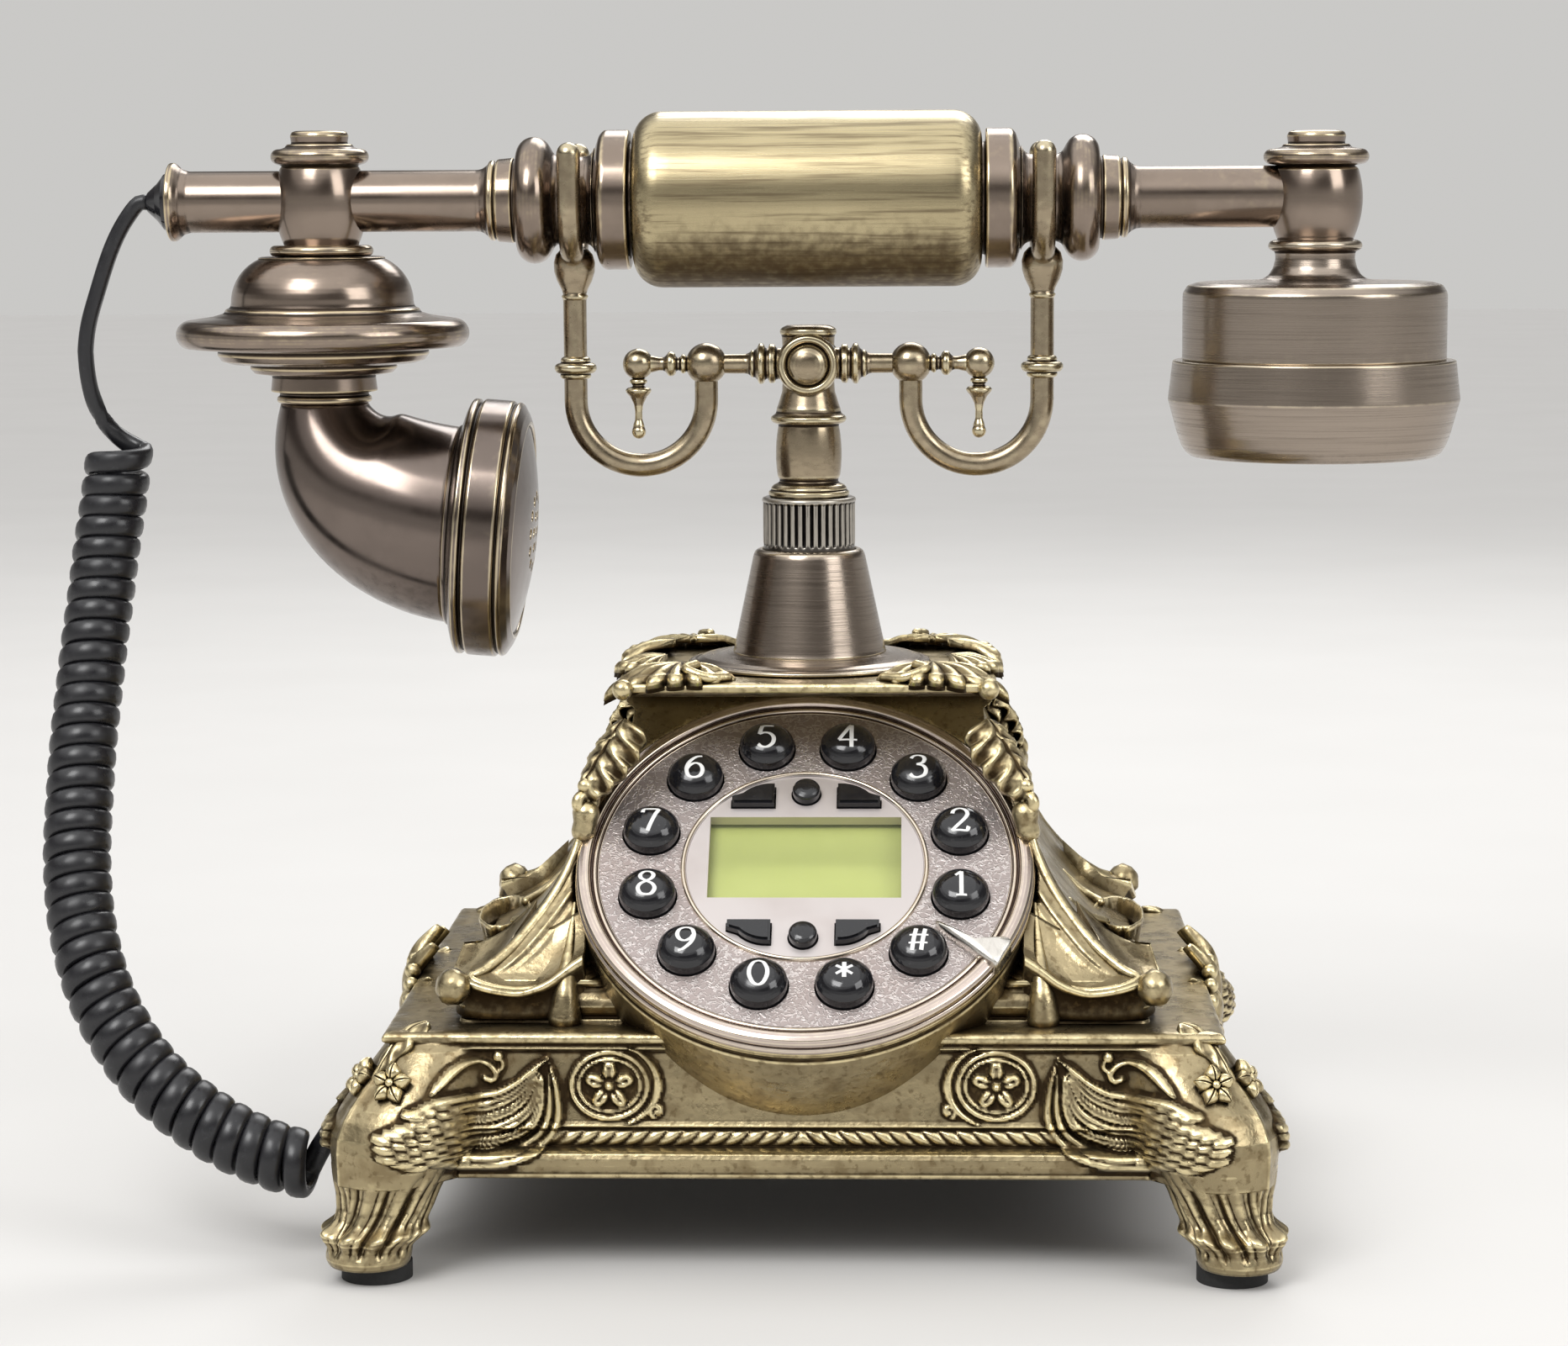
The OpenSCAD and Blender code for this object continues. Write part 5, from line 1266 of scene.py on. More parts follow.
# Each figure is strokes of points in a box one unit high, drawn with a broad pen.
FIGURES = {
    "0": [[(0.30, 1.0), (0.14, 0.92), (0.03, 0.7), (0.0, 0.5), (0.03, 0.3), (0.14, 0.08), (0.30, 0.0), (0.46, 0.08),
           (0.57, 0.3), (0.6, 0.5), (0.57, 0.7), (0.46, 0.92), (0.30, 1.0)]],
    "1": [[(0.12, 0.82), (0.22, 0.9), (0.32, 1.0)], [(0.32, 1.0), (0.32, 0.5), (0.32, 0.0)],
          [(0.14, 0.0), (0.32, 0.0), (0.5, 0.0)]],
    "2": [[(0.04, 0.74), (0.09, 0.9), (0.27, 1.0), (0.46, 0.94), (0.55, 0.76), (0.5, 0.58), (0.34, 0.36),
           (0.16, 0.16), (0.02, 0.02)],
          [(0.02, 0.03), (0.3, 0.03), (0.52, 0.03), (0.59, 0.18)]],
    "3": [[(0.05, 0.84), (0.14, 0.96), (0.3, 1.0), (0.46, 0.93), (0.51, 0.78), (0.44, 0.62), (0.24, 0.54)],
          [(0.24, 0.54), (0.46, 0.48), (0.56, 0.3), (0.5, 0.1), (0.3, 0.0), (0.12, 0.03), (0.02, 0.14)]],
    "4": [[(0.42, 1.0), (0.22, 0.66), (0.0, 0.3)], [(0.0, 0.29), (0.3, 0.29), (0.62, 0.29)],
          [(0.43, 1.0), (0.43, 0.5), (0.43, 0.0)]],
    "5": [[(0.54, 0.98), (0.34, 0.97), (0.15, 0.97)], [(0.15, 0.97), (0.1, 0.76), (0.06, 0.56)],
          [(0.06, 0.56), (0.24, 0.62), (0.43, 0.57), (0.55, 0.4), (0.52, 0.16), (0.34, 0.01), (0.14, 0.02),
           (0.02, 0.12)]],
    "6": [[(0.54, 0.97), (0.34, 0.9), (0.12, 0.66), (0.03, 0.36), (0.1, 0.08), (0.3, 0.0), (0.5, 0.08), (0.58, 0.3),
           (0.5, 0.52), (0.32, 0.6), (0.14, 0.5), (0.05, 0.36)]],
    "7": [[(0.02, 0.8), (0.07, 0.96), (0.3, 0.96), (0.58, 0.97)], [(0.58, 0.97), (0.42, 0.6), (0.22, 0.0)]],
    "8": [[(0.3, 0.54), (0.12, 0.66), (0.08, 0.82), (0.18, 0.96), (0.3, 1.0), (0.44, 0.96), (0.52, 0.82),
           (0.46, 0.66), (0.3, 0.54), (0.1, 0.42), (0.02, 0.24), (0.12, 0.05), (0.3, 0.0), (0.48, 0.05),
           (0.58, 0.24), (0.5, 0.42), (0.3, 0.54)]],
    "star": [[(0.3, 0.92), (0.3, 0.6), (0.3, 0.28)], [(0.03, 0.78), (0.3, 0.6), (0.57, 0.42)],
             [(0.57, 0.78), (0.3, 0.6), (0.03, 0.42)]],
    "hash": [[(0.22, 0.95), (0.14, 0.5), (0.08, 0.05)], [(0.52, 0.95), (0.44, 0.5), (0.38, 0.05)],
             [(0.0, 0.66), (0.3, 0.66), (0.62, 0.66)], [(-0.03, 0.33), (0.3, 0.33), (0.59, 0.33)]],
}
FIGURES["9"] = [[(0.6 - x, 1 - y) for x, y in FIGURES["6"][0]]]


def figure_sheets(name):
    """A figure's strokes as flat bars laid on the key's dome: the pen is broad for down strokes and thin for
    flat ones."""
    sheets = []
    for stroke in FIGURES[name]:
        line = evenly(flowing(stroke, 6), 0.03)
        way = headings(line)
        broad = (0.034 + 0.038 * np.abs(way[:, 1:]) ** 1.5) * FIGURE_H
        line = (line - (0.3, 0.5)) * FIGURE_H
        across = np.stack([-way[:, 1], way[:, 0]], axis=-1)
        rows = [line + across * broad * share for share in (-1, -1, -0.55, 0.55, 1, 1)]
        flat = np.stack(rows, axis=1)
        lift = np.array([-0.12, 0.05, 0.09, 0.09, 0.05, -0.12])
        z = key_dome(np.hypot(flat[..., 0], flat[..., 1])) + lift
        sheets.append((closed_ends(np.concatenate([flat, z[..., None]], axis=-1)), True))
    return sheets


def key_dome(distance):
    """Height of a number key's skin: a flattened dome that drops a little with the square of the distance, and
    steeply near its edge with the power 3.6 of it."""
    return KEY_H - 0.35 * np.clip(distance / KEY_R, 0, 1) ** 2 - 2.6 * np.clip(distance / KEY_R, 0, 1) ** 3.6


class TELEPHONE_OT_number_keys(bpy.types.Operator):
    """Twelve glossy round keys with white figures"""

    bl_idname = "telephone.number_keys"
    bl_label = "Number Keys"

    def execute(self, context):
        black, white = glossy_black(), figure_white()
        share = np.linspace(0.985, 0, 14)
        profile = [(-4.0, KEY_R + 0.3), (-3.0, KEY_R + 0.3), (-2.9, KEY_R - 0.1), (0.9, KEY_R), (1.35, KEY_R - 0.03)]
        profile += [(float(key_dome(KEY_R * s)), KEY_R * s) for s in share[:-1]]
        names = "1 2 3 4 5 6 7 8 9 0 star hash".split()
        for index, name in enumerate(names):
            angle = math.radians(30 * index - 15)
            at = np.array([KEY_RING * math.cos(angle), KEY_RING * math.sin(angle), 0])
            key = turned(rounded(profile, 0.12, 2), 72) + at
            add_piece(f"key_{name}_dome", [(on_dial(key), True)], black, f"key_{name}_body",
                      (f"key_{name}",))
            sheets = [(on_dial(grid + at), closed) for grid, closed in figure_sheets(name)]
            add_piece(f"key_{name}_figure", sheets, white, f"key_{name}_body")
        return {"FINISHED"}


class TELEPHONE_OT_carried_parts(bpy.types.Operator):
    """Finishes of the construction's own parts that keep their shape, inside and out"""

    bl_idname = "telephone.carried_parts"
    bl_label = "Carried Parts"

    def execute(self, context):
        black = glossy_black()
        matte = plain("matte black", (0.025, 0.025, 0.025), 0.55)
        rubber = plain("foot rubber", (0.018, 0.018, 0.018), 0.75, 0.0, 1400.0, 0.3, 0.05)
        steel = plain("spring steel", (0.55, 0.54, 0.52), 0.3, 1.0)
        board = circuit_green()
        finishes_of = {
            "face_plate": grained_plate(), "display_panel": display_face(), "display_lens": display_window(),
            "keypad_mat": plain("keypad rubber", (0.12, 0.12, 0.125), 0.6), "keypad_board": board,
            "main_board": board, "bottom_plate": plain("black sheet", (0.035, 0.032, 0.03), 0.45),
            "rubber_feet": rubber, "screws": steel, "cradle_spring": steel, "mast_nut": steel, "hook_switch": matte,
            "ringer": matte, "microphone": matte, "earpiece_speaker": matte, "line_jack": black, "cord_jack": black,
            "cord_gland": black, "cord_plug": plain("clear plug", (0.42, 0.43, 0.45), 0.2),
            "key_upper_left": black, "key_upper_right": black, "key_lower_left": black, "key_lower_right": black,
            "key_top_round": black, "key_bottom_round": black,
        }
        for node, material in finishes_of.items():
            for slot in bpy.data.objects[node].material_slots:
                slot.material = material
        return {"FINISHED"}


# ---------------------------------------------------------------- base


def nearest_on(points, line):
    """For each point its distance from a line of short stretches, and how far along the line's whole length
    its nearest place is, from 0 to 1."""
    start, end = line[:-1], line[1:]
    step = end - start
    length = np.linalg.norm(step, axis=1)
    reach = points[:, None] - start[None]
    share = np.clip(np.sum(reach * step, axis=2) / np.maximum(length**2, 1e-9), 0, 1)
    distance = np.linalg.norm(reach - share[..., None] * step, axis=2)
    best = np.argmin(distance, axis=1)
    row = np.arange(len(points))
    along = (np.concatenate([[0], np.cumsum(length)])[best] + share[row, best] * length[best]) / length.sum()
    return distance[row, best], along


class Relief:
    """Heights over a flat region, to which ornaments are added one after another. Each takes the higher of what
    was there and its own height, as clay pressed on clay does."""

    def __init__(self, a, z):
        self.shape = a.shape
        self.at = np.stack([a.ravel(), z.ravel()], axis=-1)
        self.height = np.zeros(len(self.at))

    def near(self, line, reach):
        """Numbers of the points in the box round a line, widened by a reach."""
        low, high = line.min(axis=0) - reach, line.max(axis=0) + reach
        return np.nonzero(np.all((self.at > low) & (self.at < high), axis=1))[0]

    def bar(self, line, width, height, base=0.0, shaft=0.0, barbs=0.0, power=0.5):
        """A rounded bar along a line: its height falls from the middle to each edge as (1 - t^2)^power. Width
        and height are arrays over the line's length; shaft cuts a groove along it and barbs slanting ones."""
        line = evenly(np.asarray(line, float), 0.8)
        found = self.near(line, np.max(width) + 0.5)
        if not len(found):
            return
        distance, along = nearest_on(self.at[found], line)
        stations = np.linspace(0, 1, len(width))
        half = np.interp(along, stations, width)
        tall = np.interp(along, stations, np.broadcast_to(height, (len(width),)))
        t = np.clip(distance / np.maximum(half, 1e-6), 0, 1)
        total = run_of(line)[-1]
        lift = base + tall * (1 - t * t) ** power
        lift -= shaft * np.exp(-((distance / 0.35) ** 2)) * (t < 1)
        lift -= barbs * (0.5 + 0.5 * np.cos(2 * math.pi * (along * total - distance * 1.1) / 1.15)) * t * (t < 0.97)
        lift = np.where(t < 1, lift, 0)
        self.height[found] = np.maximum(self.height[found], lift)

    def disc(self, centre, radius, height, base=0.0, power=0.5):
        """A dome whose height falls as (1 - t^2)^power."""
        centre = np.array(centre, float)
        found = self.near(centre[None], radius)
        t = np.linalg.norm(self.at[found] - centre, axis=1) / radius
        lift = np.where(t < 1, base + height * np.maximum(1 - t * t, 0) ** power, 0)
        self.height[found] = np.maximum(self.height[found], lift)

    def flower(self, centre, radius, height, petals=5, turn=0.0):
        """Petals round a boss: each is a dome stretched from the middle outwards, with a groove down it."""
        centre = np.array(centre, float)
        for k in range(petals):
            angle = turn + 2 * math.pi * k / petals
            way = np.array([math.cos(angle), math.sin(angle)])
            line = centre + way * np.array([[0.25], [0.55], [0.8]]) * radius
            width = np.array([0.16, 0.3, 0.36, 0.3]) * radius
            self.bar(line, width, height * np.array([0.6, 0.9, 1.0, 0.9]), shaft=height * 0.45)
        self.disc(centre, radius * 0.24, height * 1.15)

    def grid(self):
        """The heights in the shape of the region's own grid."""
        return self.height.reshape(self.shape)


def spiral(centre, outer, inner, turns, start, steps=40):
    """A spiral from an outer to an inner radius, whose radius shrinks by equal shares."""
    t = np.linspace(0, 1, steps)
    r = outer * (inner / outer) ** t
    a = math.radians(start) + 2 * math.pi * turns * t
    return np.stack([centre[0] + r * np.cos(a), centre[1] + r * np.sin(a)], axis=-1)


def rope_height(a, z, limit):
    """A twisted rope: strands are slanting waves under a round bar's height, as far as a limit each way."""
    t = (z - ROPE_Z) / ROPE_R
    bar = np.sqrt(np.clip(1 - t * t, 0, 1))
    strand = np.abs(np.cos(math.pi * (a + 1.5 * t) / STRAND_STEP)) ** 0.6
    return bar * (0.7 + 0.9 * strand) * (np.abs(a) < limit)


ROPE_Z, ROPE_R, STRAND_STEP = 29.4, 1.75, 3.5  # the rope's height and radius, and the step of its strands


PLINTH_PROFILE = [  # height, how far beyond the panel
    (52.0, -26.0), (52.0, -3.2), (51.85, -0.6), (51.4, 0.1), (50.7, 0.45), (50.0, 0.35), (49.6, -0.2), (49.4, -0.9),
    (48.9, -1.1), (48.4, -0.7), (48.0, -1.2), (47.4, -1.7), (46.0, -1.6), (42.0, -1.1), (37.0, -0.6), (33.0, -0.1),
    (32.0, 0.35), (31.6, -0.2), (31.2, -0.9), (30.6, -1.1), (29.4, -1.15), (28.2, -1.1), (27.7, -0.7), (27.4, 0.6),
    (27.0, 2.0), (26.5, 2.9), (25.6, 3.3), (24.2, 3.3), (23.0, 3.0), (22.4, 2.5), (22.1, 2.7), (21.4, 2.3),
    (21.0, 1.4), (21.0, -2.6), (24.5, -3.0),
]


TOWER_ROWS = [  # height, half width, half depth
    (121.2, 20, 15), (121.2, 39.8, 32.6), (120.9, 41.0, 33.8), (120.2, 41.5, 34.3), (119.2, 41.3, 34.1),
    (118.7, 40.4, 33.2), (118.3, 39.2, 32.2), (117.4, 38.9, 32.0), (116.7, 39.4, 32.6), (116.2, 40.6, 33.6),
    (115.0, 41.0, 34.0), (113.6, 40.8, 33.9), (113.0, 39.8, 33.2), (112.3, 38.9, 32.6), (109.0, 39.2, 33.0),
    (105.5, 40.8, 34.4), (102, 43.2, 36.6), (98.5, 46.2, 39.4), (96.6, 47.8, 40.8), (95.6, 48.0, 41.0),
    (94.9, 47.4, 40.2), (93.6, 47.4, 40.2), (90, 48.4, 41.4), (86, 49.8, 43.0), (82, 51.6, 45.0), (78, 53.9, 47.4),
    (74, 56.8, 50.2), (70, 60.2, 53.0), (66.5, 63.4, 55.4), (64, 66.4, 57.2), (62.2, 69.2, 58.6),
    (61.4, 71.2, 59.4), (61.0, 72.2, 59.8), (60.3, 72.6, 60.0), (59.7, 72.0, 59.6), (59.3, 71.2, 59.0),
    (58.4, 71.6, 59.2), (57.0, 72.8, 60.0), (55.4, 73.4, 60.4), (54.0, 72.8, 60.0), (53.0, 71.8, 59.2),
    (52.6, 73.2, 60.2), (51.4, 73.6, 60.6), (51.0, 20, 15),
]


def tower_skin():
    """Rounded rectangles stacked up the tower: each row's half sizes come from the list, and its corners are
    quarter circles. A bead and a finer one run down beside each corner, the faces between them are a little
    hollow, and the skin is cleared from the dial's round column."""
    rows = np.array(TOWER_ROWS)
    corners = run_of(rows)
    runs = np.unique(np.round(np.concatenate([corners, np.arange(corners[1], corners[-2], 0.7)]), 3))
    rows = at_runs(rows, runs)
    side = np.concatenate([np.linspace(-1, -0.72, 26)[:-1], np.linspace(-0.72, 0.72, 46)[:-1],
                           np.linspace(0.72, 1, 26)])
    turn = np.radians(np.linspace(0, 90, 9))[1:-1]
    points = []
    height, half_x, half_y = rows[:, 0][:, None], rows[:, 1][:, None], rows[:, 2][:, None]
    corner = 2.6
    for k, (lengthwise, sign) in enumerate(((True, -1), (False, 1), (True, 1), (False, -1))):
        run = side if k in (0, 1) else -side
        long_half = (half_x if lengthwise else half_y) - corner
        face = (half_y if lengthwise else half_x)
        from_edge = long_half * (1 - np.abs(run)[None])
        beads = sum(share * np.exp(-(((from_edge - d) / 0.75) ** 2)) for d, share in ((1.2, 1.0), (3.7, 0.4)))
        zone = smoothstep(61, 66, height) * smoothstep(97.5, 93.0, height)
        scoop = 1.5 * smoothstep(9, 20, from_edge) * zone
        outset = sign * (face + 0.85 * beads * zone - scoop)
        across = long_half * run[None]
        points.append(np.stack([across, outset] if lengthwise else [outset, across], axis=-1))
        quarter = np.array([(1, -1), (1, 1), (-1, 1), (-1, -1)][k])
        centre = np.stack([half_x - corner, half_y - corner], axis=-1) * quarter
        start = math.radians([-90, 0, 90, 180][k])
        way = np.stack([np.cos(start + turn), np.sin(start + turn)], axis=-1)
        points.append(centre + corner * way[None])
    flat = np.concatenate(points, axis=1)
    grid = np.concatenate([flat, np.broadcast_to(height[..., None], flat.shape[:2] + (1,))], axis=-1)
    return closed_ends(swept_by_dial(grid))


def dial_axes():
    """The dial's own up, and its way out of its face."""
    a = math.radians(DIAL_TILT)
    return np.array([0, math.cos(a), math.sin(a)]), np.array([0, -math.sin(a), math.cos(a)])


def leaf(line, outward, width, crown, lobes, ribs, droop, thick=0.8):
    """An acanthus leaf along a line: each cross-section is crowned in the middle, its edges droop, a groove
    runs down the middle, ribs fan out to the lobes, and the outline swells at each lobe. Its back is flat."""
    line = evenly(flowing(line, 8), 0.7)
    t = np.linspace(0, 1, len(line))[:, None]
    s = np.linspace(-1, 1, 33)[None]
    outline = np.sin(math.pi * np.clip(t, 0, 1) ** 0.75) ** 0.55 * (1 - 0.25 * t)
    scallop = 1 - 0.28 * np.abs(np.cos(math.pi * lobes * t)) ** 2.5
    half = width * np.maximum(outline * scallop, 0.04)
    folds = np.cos(2 * math.pi * (lobes * t - 0.9 * np.abs(s)) + math.pi)
    crowned, ribbed = crown * (1 - s * s) ** 0.7 * outline, ribs * folds * np.abs(s) ** 0.6 * outline
    high = crowned + ribbed - 0.45 * np.exp(-((s / 0.09) ** 2)) - droop * np.abs(s) ** 2.5
    face = np.stack([high, half * s], axis=-1)
    back = np.stack([np.minimum(high, 0) - thick + 0 * s, half * s * 0.96], axis=-1)[:, ::-1]
    dark = 0.5 * np.exp(-((s / 0.14) ** 2)) - 0.5 * folds * np.abs(s) ** 0.5 * min(ribs, 1)
    # The back gets painted shade, as the side that faces in under the leaf.
    dark = np.concatenate([dark, np.full(dark.shape, 0.3)], axis=1)
    outward = np.broadcast_to(np.asarray(outward, float), (len(line), 3))
    skin = carried(line, outward, np.concatenate([face, back], axis=1))
    return closed_ends(np.concatenate([skin, dark[..., None]], axis=-1))


def sheet_at(grid, x, y=1):
    """A closed sheet from a grid, mirrored across where x or y is -1. A fourth value at a point is its mask."""
    mask = grid[..., 3] if grid.shape[-1] > 3 else np.zeros(grid.shape[:2])
    return grid[..., :3] * np.array([x, y, 1]), True, mask


def four_ways(grid):
    """The same skin at the front right corner and at the three others."""
    return [sheet_at(grid, x, y) for x in (1, -1) for y in (1, -1)]


def add_wing(relief):
    """A folded wing, measured from the panel's middle for a leg whose axis is at 86: rows of scales at its root,
    then six long feathers that sweep up together to one tip, under a fine upper rib."""
    feathers = [
        ([(74.0, 24.6), (71.1, 24.4), (64.6, 24.6), (59.3, 25.9), (54.2, 28.6), (51.5, 33.5), (51.7, 39.6),
          (53.2, 45.4)], 0.95, 1.5),
        ([(73.0, 26.6), (68.5, 26.0), (63.5, 26.2), (58.6, 27.8), (54.8, 31.0), (53.2, 35.8), (53.4, 43.2)],
         0.95, 1.2),
        ([(73.0, 29.2), (67.0, 28.6), (62.5, 29.4), (58.2, 31.4), (55.6, 35.0), (54.4, 42.2)], 1.35, 1.45),
        ([(73.0, 31.8), (67.0, 31.2), (63.2, 32.0), (59.2, 34.0), (56.7, 37.0), (54.9, 42.8)], 1.3, 1.35),
        ([(73.0, 34.2), (67.5, 33.7), (64.2, 34.5), (60.6, 36.1), (57.8, 38.9), (55.2, 43.6)], 1.3, 1.45),
        ([(73.0, 36.8), (67.5, 36.3), (64.4, 37.0), (61.0, 38.5), (58.1, 41.0), (55.4, 44.4)], 1.3, 1.4),
    ]
    for order, (points, width, height) in enumerate(feathers):
        halves = width * np.array([0.9, 1.0, 1.0, 1.0, 0.95, 0.85, 0.6, 0.15])
        relief.bar(flowing(points, 8), halves, height, base=0.55, shaft=0.5 if order > 1 else 0.0,
                   barbs=0.5 if order in (2, 4) else 0.0, power=0.45)
    rib = [(82, 36.6), (76.4, 38.9), (70, 38.6), (64.6, 39.0), (60.4, 41.0), (56.8, 43.8), (53.6, 46.2)]
    relief.bar(flowing(rib, 8), np.array([0.3, 0.8, 0.8, 0.75, 0.7, 0.6, 0.2]), 1.35, base=0.7)
    for row in range(7):
        for k in range(7):
            a = 71.4 + 2.35 * row + 0.45 * k
            z = 25.4 + 1.95 * k + 0.98 * (row % 2) + 0.16 * row
            low, high = 24.6 + 0.3 * max(a - 78, 0), 38.4 - 0.75 * max(a - 79, 0)
            if low < z < high and a < 87.5:
                line = [(a + 1.5, z + 0.25), (a - 1.3, z - 0.2)]
                relief.bar(line, np.array([0.8, 1.12, 1.2, 0.95]), np.array([0.4, 0.75, 1.0, 1.05]),
                           base=0.8 + 0.1 * row, power=0.5)


def add_long_side(relief):
    """The ornaments of the front and back panels: wings, rosettes in their frames, crescents and comma scrolls."""
    add_wing(relief)
    centre = (40.6, 40.6)
    angles = np.radians(range(0, 361, 10))
    for reach, wide in (((8.0, 6.9), 0.62), ((6.5, 5.5), 0.4)):
        ring = np.stack([centre[0] + reach[0] * np.cos(angles), centre[1] + reach[1] * np.sin(angles)], axis=-1)
        relief.bar(ring, np.array([wide, wide]), 0.95, base=0.2)
    relief.flower(centre, 4.9, 2.1, 5, math.pi / 2)
    angles = np.radians(range(115, 256, 9))
    crescent = np.stack([centre[0] + 10.2 * np.cos(angles), centre[1] + 8.6 * np.sin(angles)], axis=-1)
    relief.bar(crescent, np.array([0.25, 0.7, 1.0, 0.7, 0.25]), 1.0, base=0.2)
    relief.bar(spiral((30.6, 35.4), 1.6, 0.5, 1.0, -60), np.array([0.5, 0.6, 0.7]), 0.9, base=0.2)
    comma = [(77.2, 40.6), (75.2, 42.8), (72.6, 45.0), (69.4, 45.9), (66.2, 45.2), (64.4, 43.2), (65.2, 41.8),
             (67.0, 42.2)]
    relief.bar(flowing(comma, 8), np.array([0.5, 1.0, 1.1, 0.8, 0.6, 0.75, 0.8, 0.75]), 1.5, base=0.3)
    relief.bar(flowing([(64.4, 43.4), (62.9, 44.6), (63.5, 46.4)], 6), np.array([0.5, 0.55, 0.5]), 1.2, base=0.3)
    relief.disc((64.0, 46.7), 1.25, 1.7, base=0.3)


def add_short_side(relief):
    """The ornaments of the left and right panels: wings at both legs and a scroll each side of the middle."""
    add_wing(relief)
    relief.bar(spiral((45.6, 42.6), 2.6, 0.6, 1.25, 210), np.array([0.6, 0.95, 0.7, 0.8, 0.9]), 1.3, base=0.2)


def casting_outline(z, outset):
    """A quarter of the plinth's outline at each height, from the front's middle round the corner to the side's
    middle. From a point inside the corner, each ray meets the farther of the panel and the leg's circle; the
    step between them is smoothed by averaging neighbours, as a fillet would."""
    straight = np.linspace(0, POLE[0], 136)[:-1]
    swing = np.radians(np.linspace(-90, 0, 178))
    side = np.linspace(-POLE[1], 0, 94)[1:]
    half_x, half_y = BASE_X + outset[:, None], BASE_Y + outset[:, None]
    c, s = np.cos(swing)[None], -np.sin(swing)[None]
    box = np.minimum((half_x - POLE[0]) / np.maximum(c, 1e-6), (half_y - POLE[1]) / np.maximum(s, 1e-6))
    centre_x, radius = np.interp(z, KNEE[::-1, 0], KNEE[::-1, 1]), np.interp(z, KNEE[::-1, 0], KNEE[::-1, 2])
    off = np.stack([centre_x - POLE[0], centre_x - LEG_SHIFT - POLE[1]], axis=-1)
    along = off[:, :1] * c + off[:, 1:] * s
    room = radius[:, None] ** 2 - (np.sum(off**2, axis=1)[:, None] - along**2)
    circle = np.where(room > 0, along + np.sqrt(np.maximum(room, 0)), 0)
    extra = np.maximum(circle - box, 0)
    for _ in range(FILLET_PASSES):
        extra[:, 1:-1] = 0.25 * extra[:, :-2] + 0.5 * extra[:, 1:-1] + 0.25 * extra[:, 2:]
    reach = box + extra
    corner = np.stack([POLE[0] + reach * c, -POLE[1] - reach * s], axis=-1)
    front = np.stack(np.broadcast_arrays(straight[None], -half_y), axis=-1)
    right = np.stack(np.broadcast_arrays(half_x, side[None]), axis=-1)
    leg_share = np.pad(smoothstep(0, 2.5, extra), ((0, 0), (len(straight), len(side))))
    flat = np.concatenate([front, corner, right], axis=1)
    return flat, leg_share


CASTING_STEP = 0.46  # millimetres between rows of the plinth's skin
PANEL_OUTSET = -1.2  # how far beyond the panel the skin lies under a leg, where the mouldings have died away
FILLET_PASSES, SHADE_PASSES = 26, 9
POLE = (58.0, 40.0)  # the point inside a corner from which the outline's rays start
LEG_SHIFT = 16.5  # how much nearer to the middle a leg's axis is from front to back than from side to side
KNEE = np.array([  # height, the leg axis's distance to the side, radius
    (53.6, 74.8, 3.5), (53.0, 75.6, 6.0), (52, 76.4, 7.6), (50.3, 77.3, 9.2), (48, 78.3, 10.6), (45, 79.5, 11.7),
    (42, 80.8, 12.6), (39.8, 81.9, 13.1), (37, 83.4, 13.7), (34.6, 84.5, 14.0), (31, 85.5, 14.2), (28, 85.9, 14.0),
    (25, 86.3, 13.3), (22.4, 86.8, 12.5), (21, 87.1, 12.0), (18.5, 87.5, 11.2),
])


def casting_quarter():
    """A quarter of the plinth's skin with its ornament: the outline at each height of the moulding's profile,
    pushed out along its own normal by the relief. The mouldings die away on the leg. A fourth value is the
    mask: dark where the relief is lower than the mean of its surroundings, bright where it is higher."""
    profile = np.array(PLINTH_PROFILE[1:-2])
    runs = run_of(profile)
    fine = np.unique(np.round(np.concatenate([runs, np.arange(runs[7], runs[-1] - 4, CASTING_STEP)]), 3))
    rows = at_runs(profile, fine)
    z, outset = rows[:, 0], rows[:, 1]
    flat, leg_share = casting_outline(z, outset)
    smooth_flat, _ = casting_outline(z, np.full(len(z), PANEL_OUTSET))
    share = leg_share[..., None]
    flat = flat * (1 - share) + np.where(share > 0, smooth_flat, flat) * share
    high = np.broadcast_to(z[:, None], leg_share.shape)
    front = np.abs(flat[..., 1]) > np.abs(flat[..., 0]) - LEG_SHIFT + 1.0
    lift = np.zeros(high.shape)
    sides = ((flat[..., 0], add_long_side, front), (-flat[..., 1] + LEG_SHIFT, add_short_side, ~front))
    for place, ornament, mine in sides:
        relief = Relief(place, high)
        ornament(relief)
        lift = np.where(mine, relief.grid(), lift)
    lift *= smoothstep(22.4, 24.4, high) * smoothstep(50.4, 48.6, high)
    rope = rope_height(flat[..., 0], high, 53.5) * front * (1 - leg_share)
    lift = np.maximum(lift, np.where(rope > 0, rope, 0))
    grid = np.concatenate([flat, high[..., None]], axis=-1)
    along = np.gradient(grid, axis=1)
    along[..., 2] = 0
    normal = unit(np.stack([along[..., 1], -along[..., 0], 0 * high], axis=-1))
    around = lift
    for _ in range(SHADE_PASSES):
        around = np.pad(around, 1, mode="edge")
        around = 0.25 * (around[:-2, 1:-1] + around[2:, 1:-1] + around[1:-1, :-2] + around[1:-1, 2:])
    dark = np.clip(1.5 * (around - lift), -0.35, 0.6)
    return np.concatenate([grid + normal * lift[..., None], dark[..., None]], axis=-1)


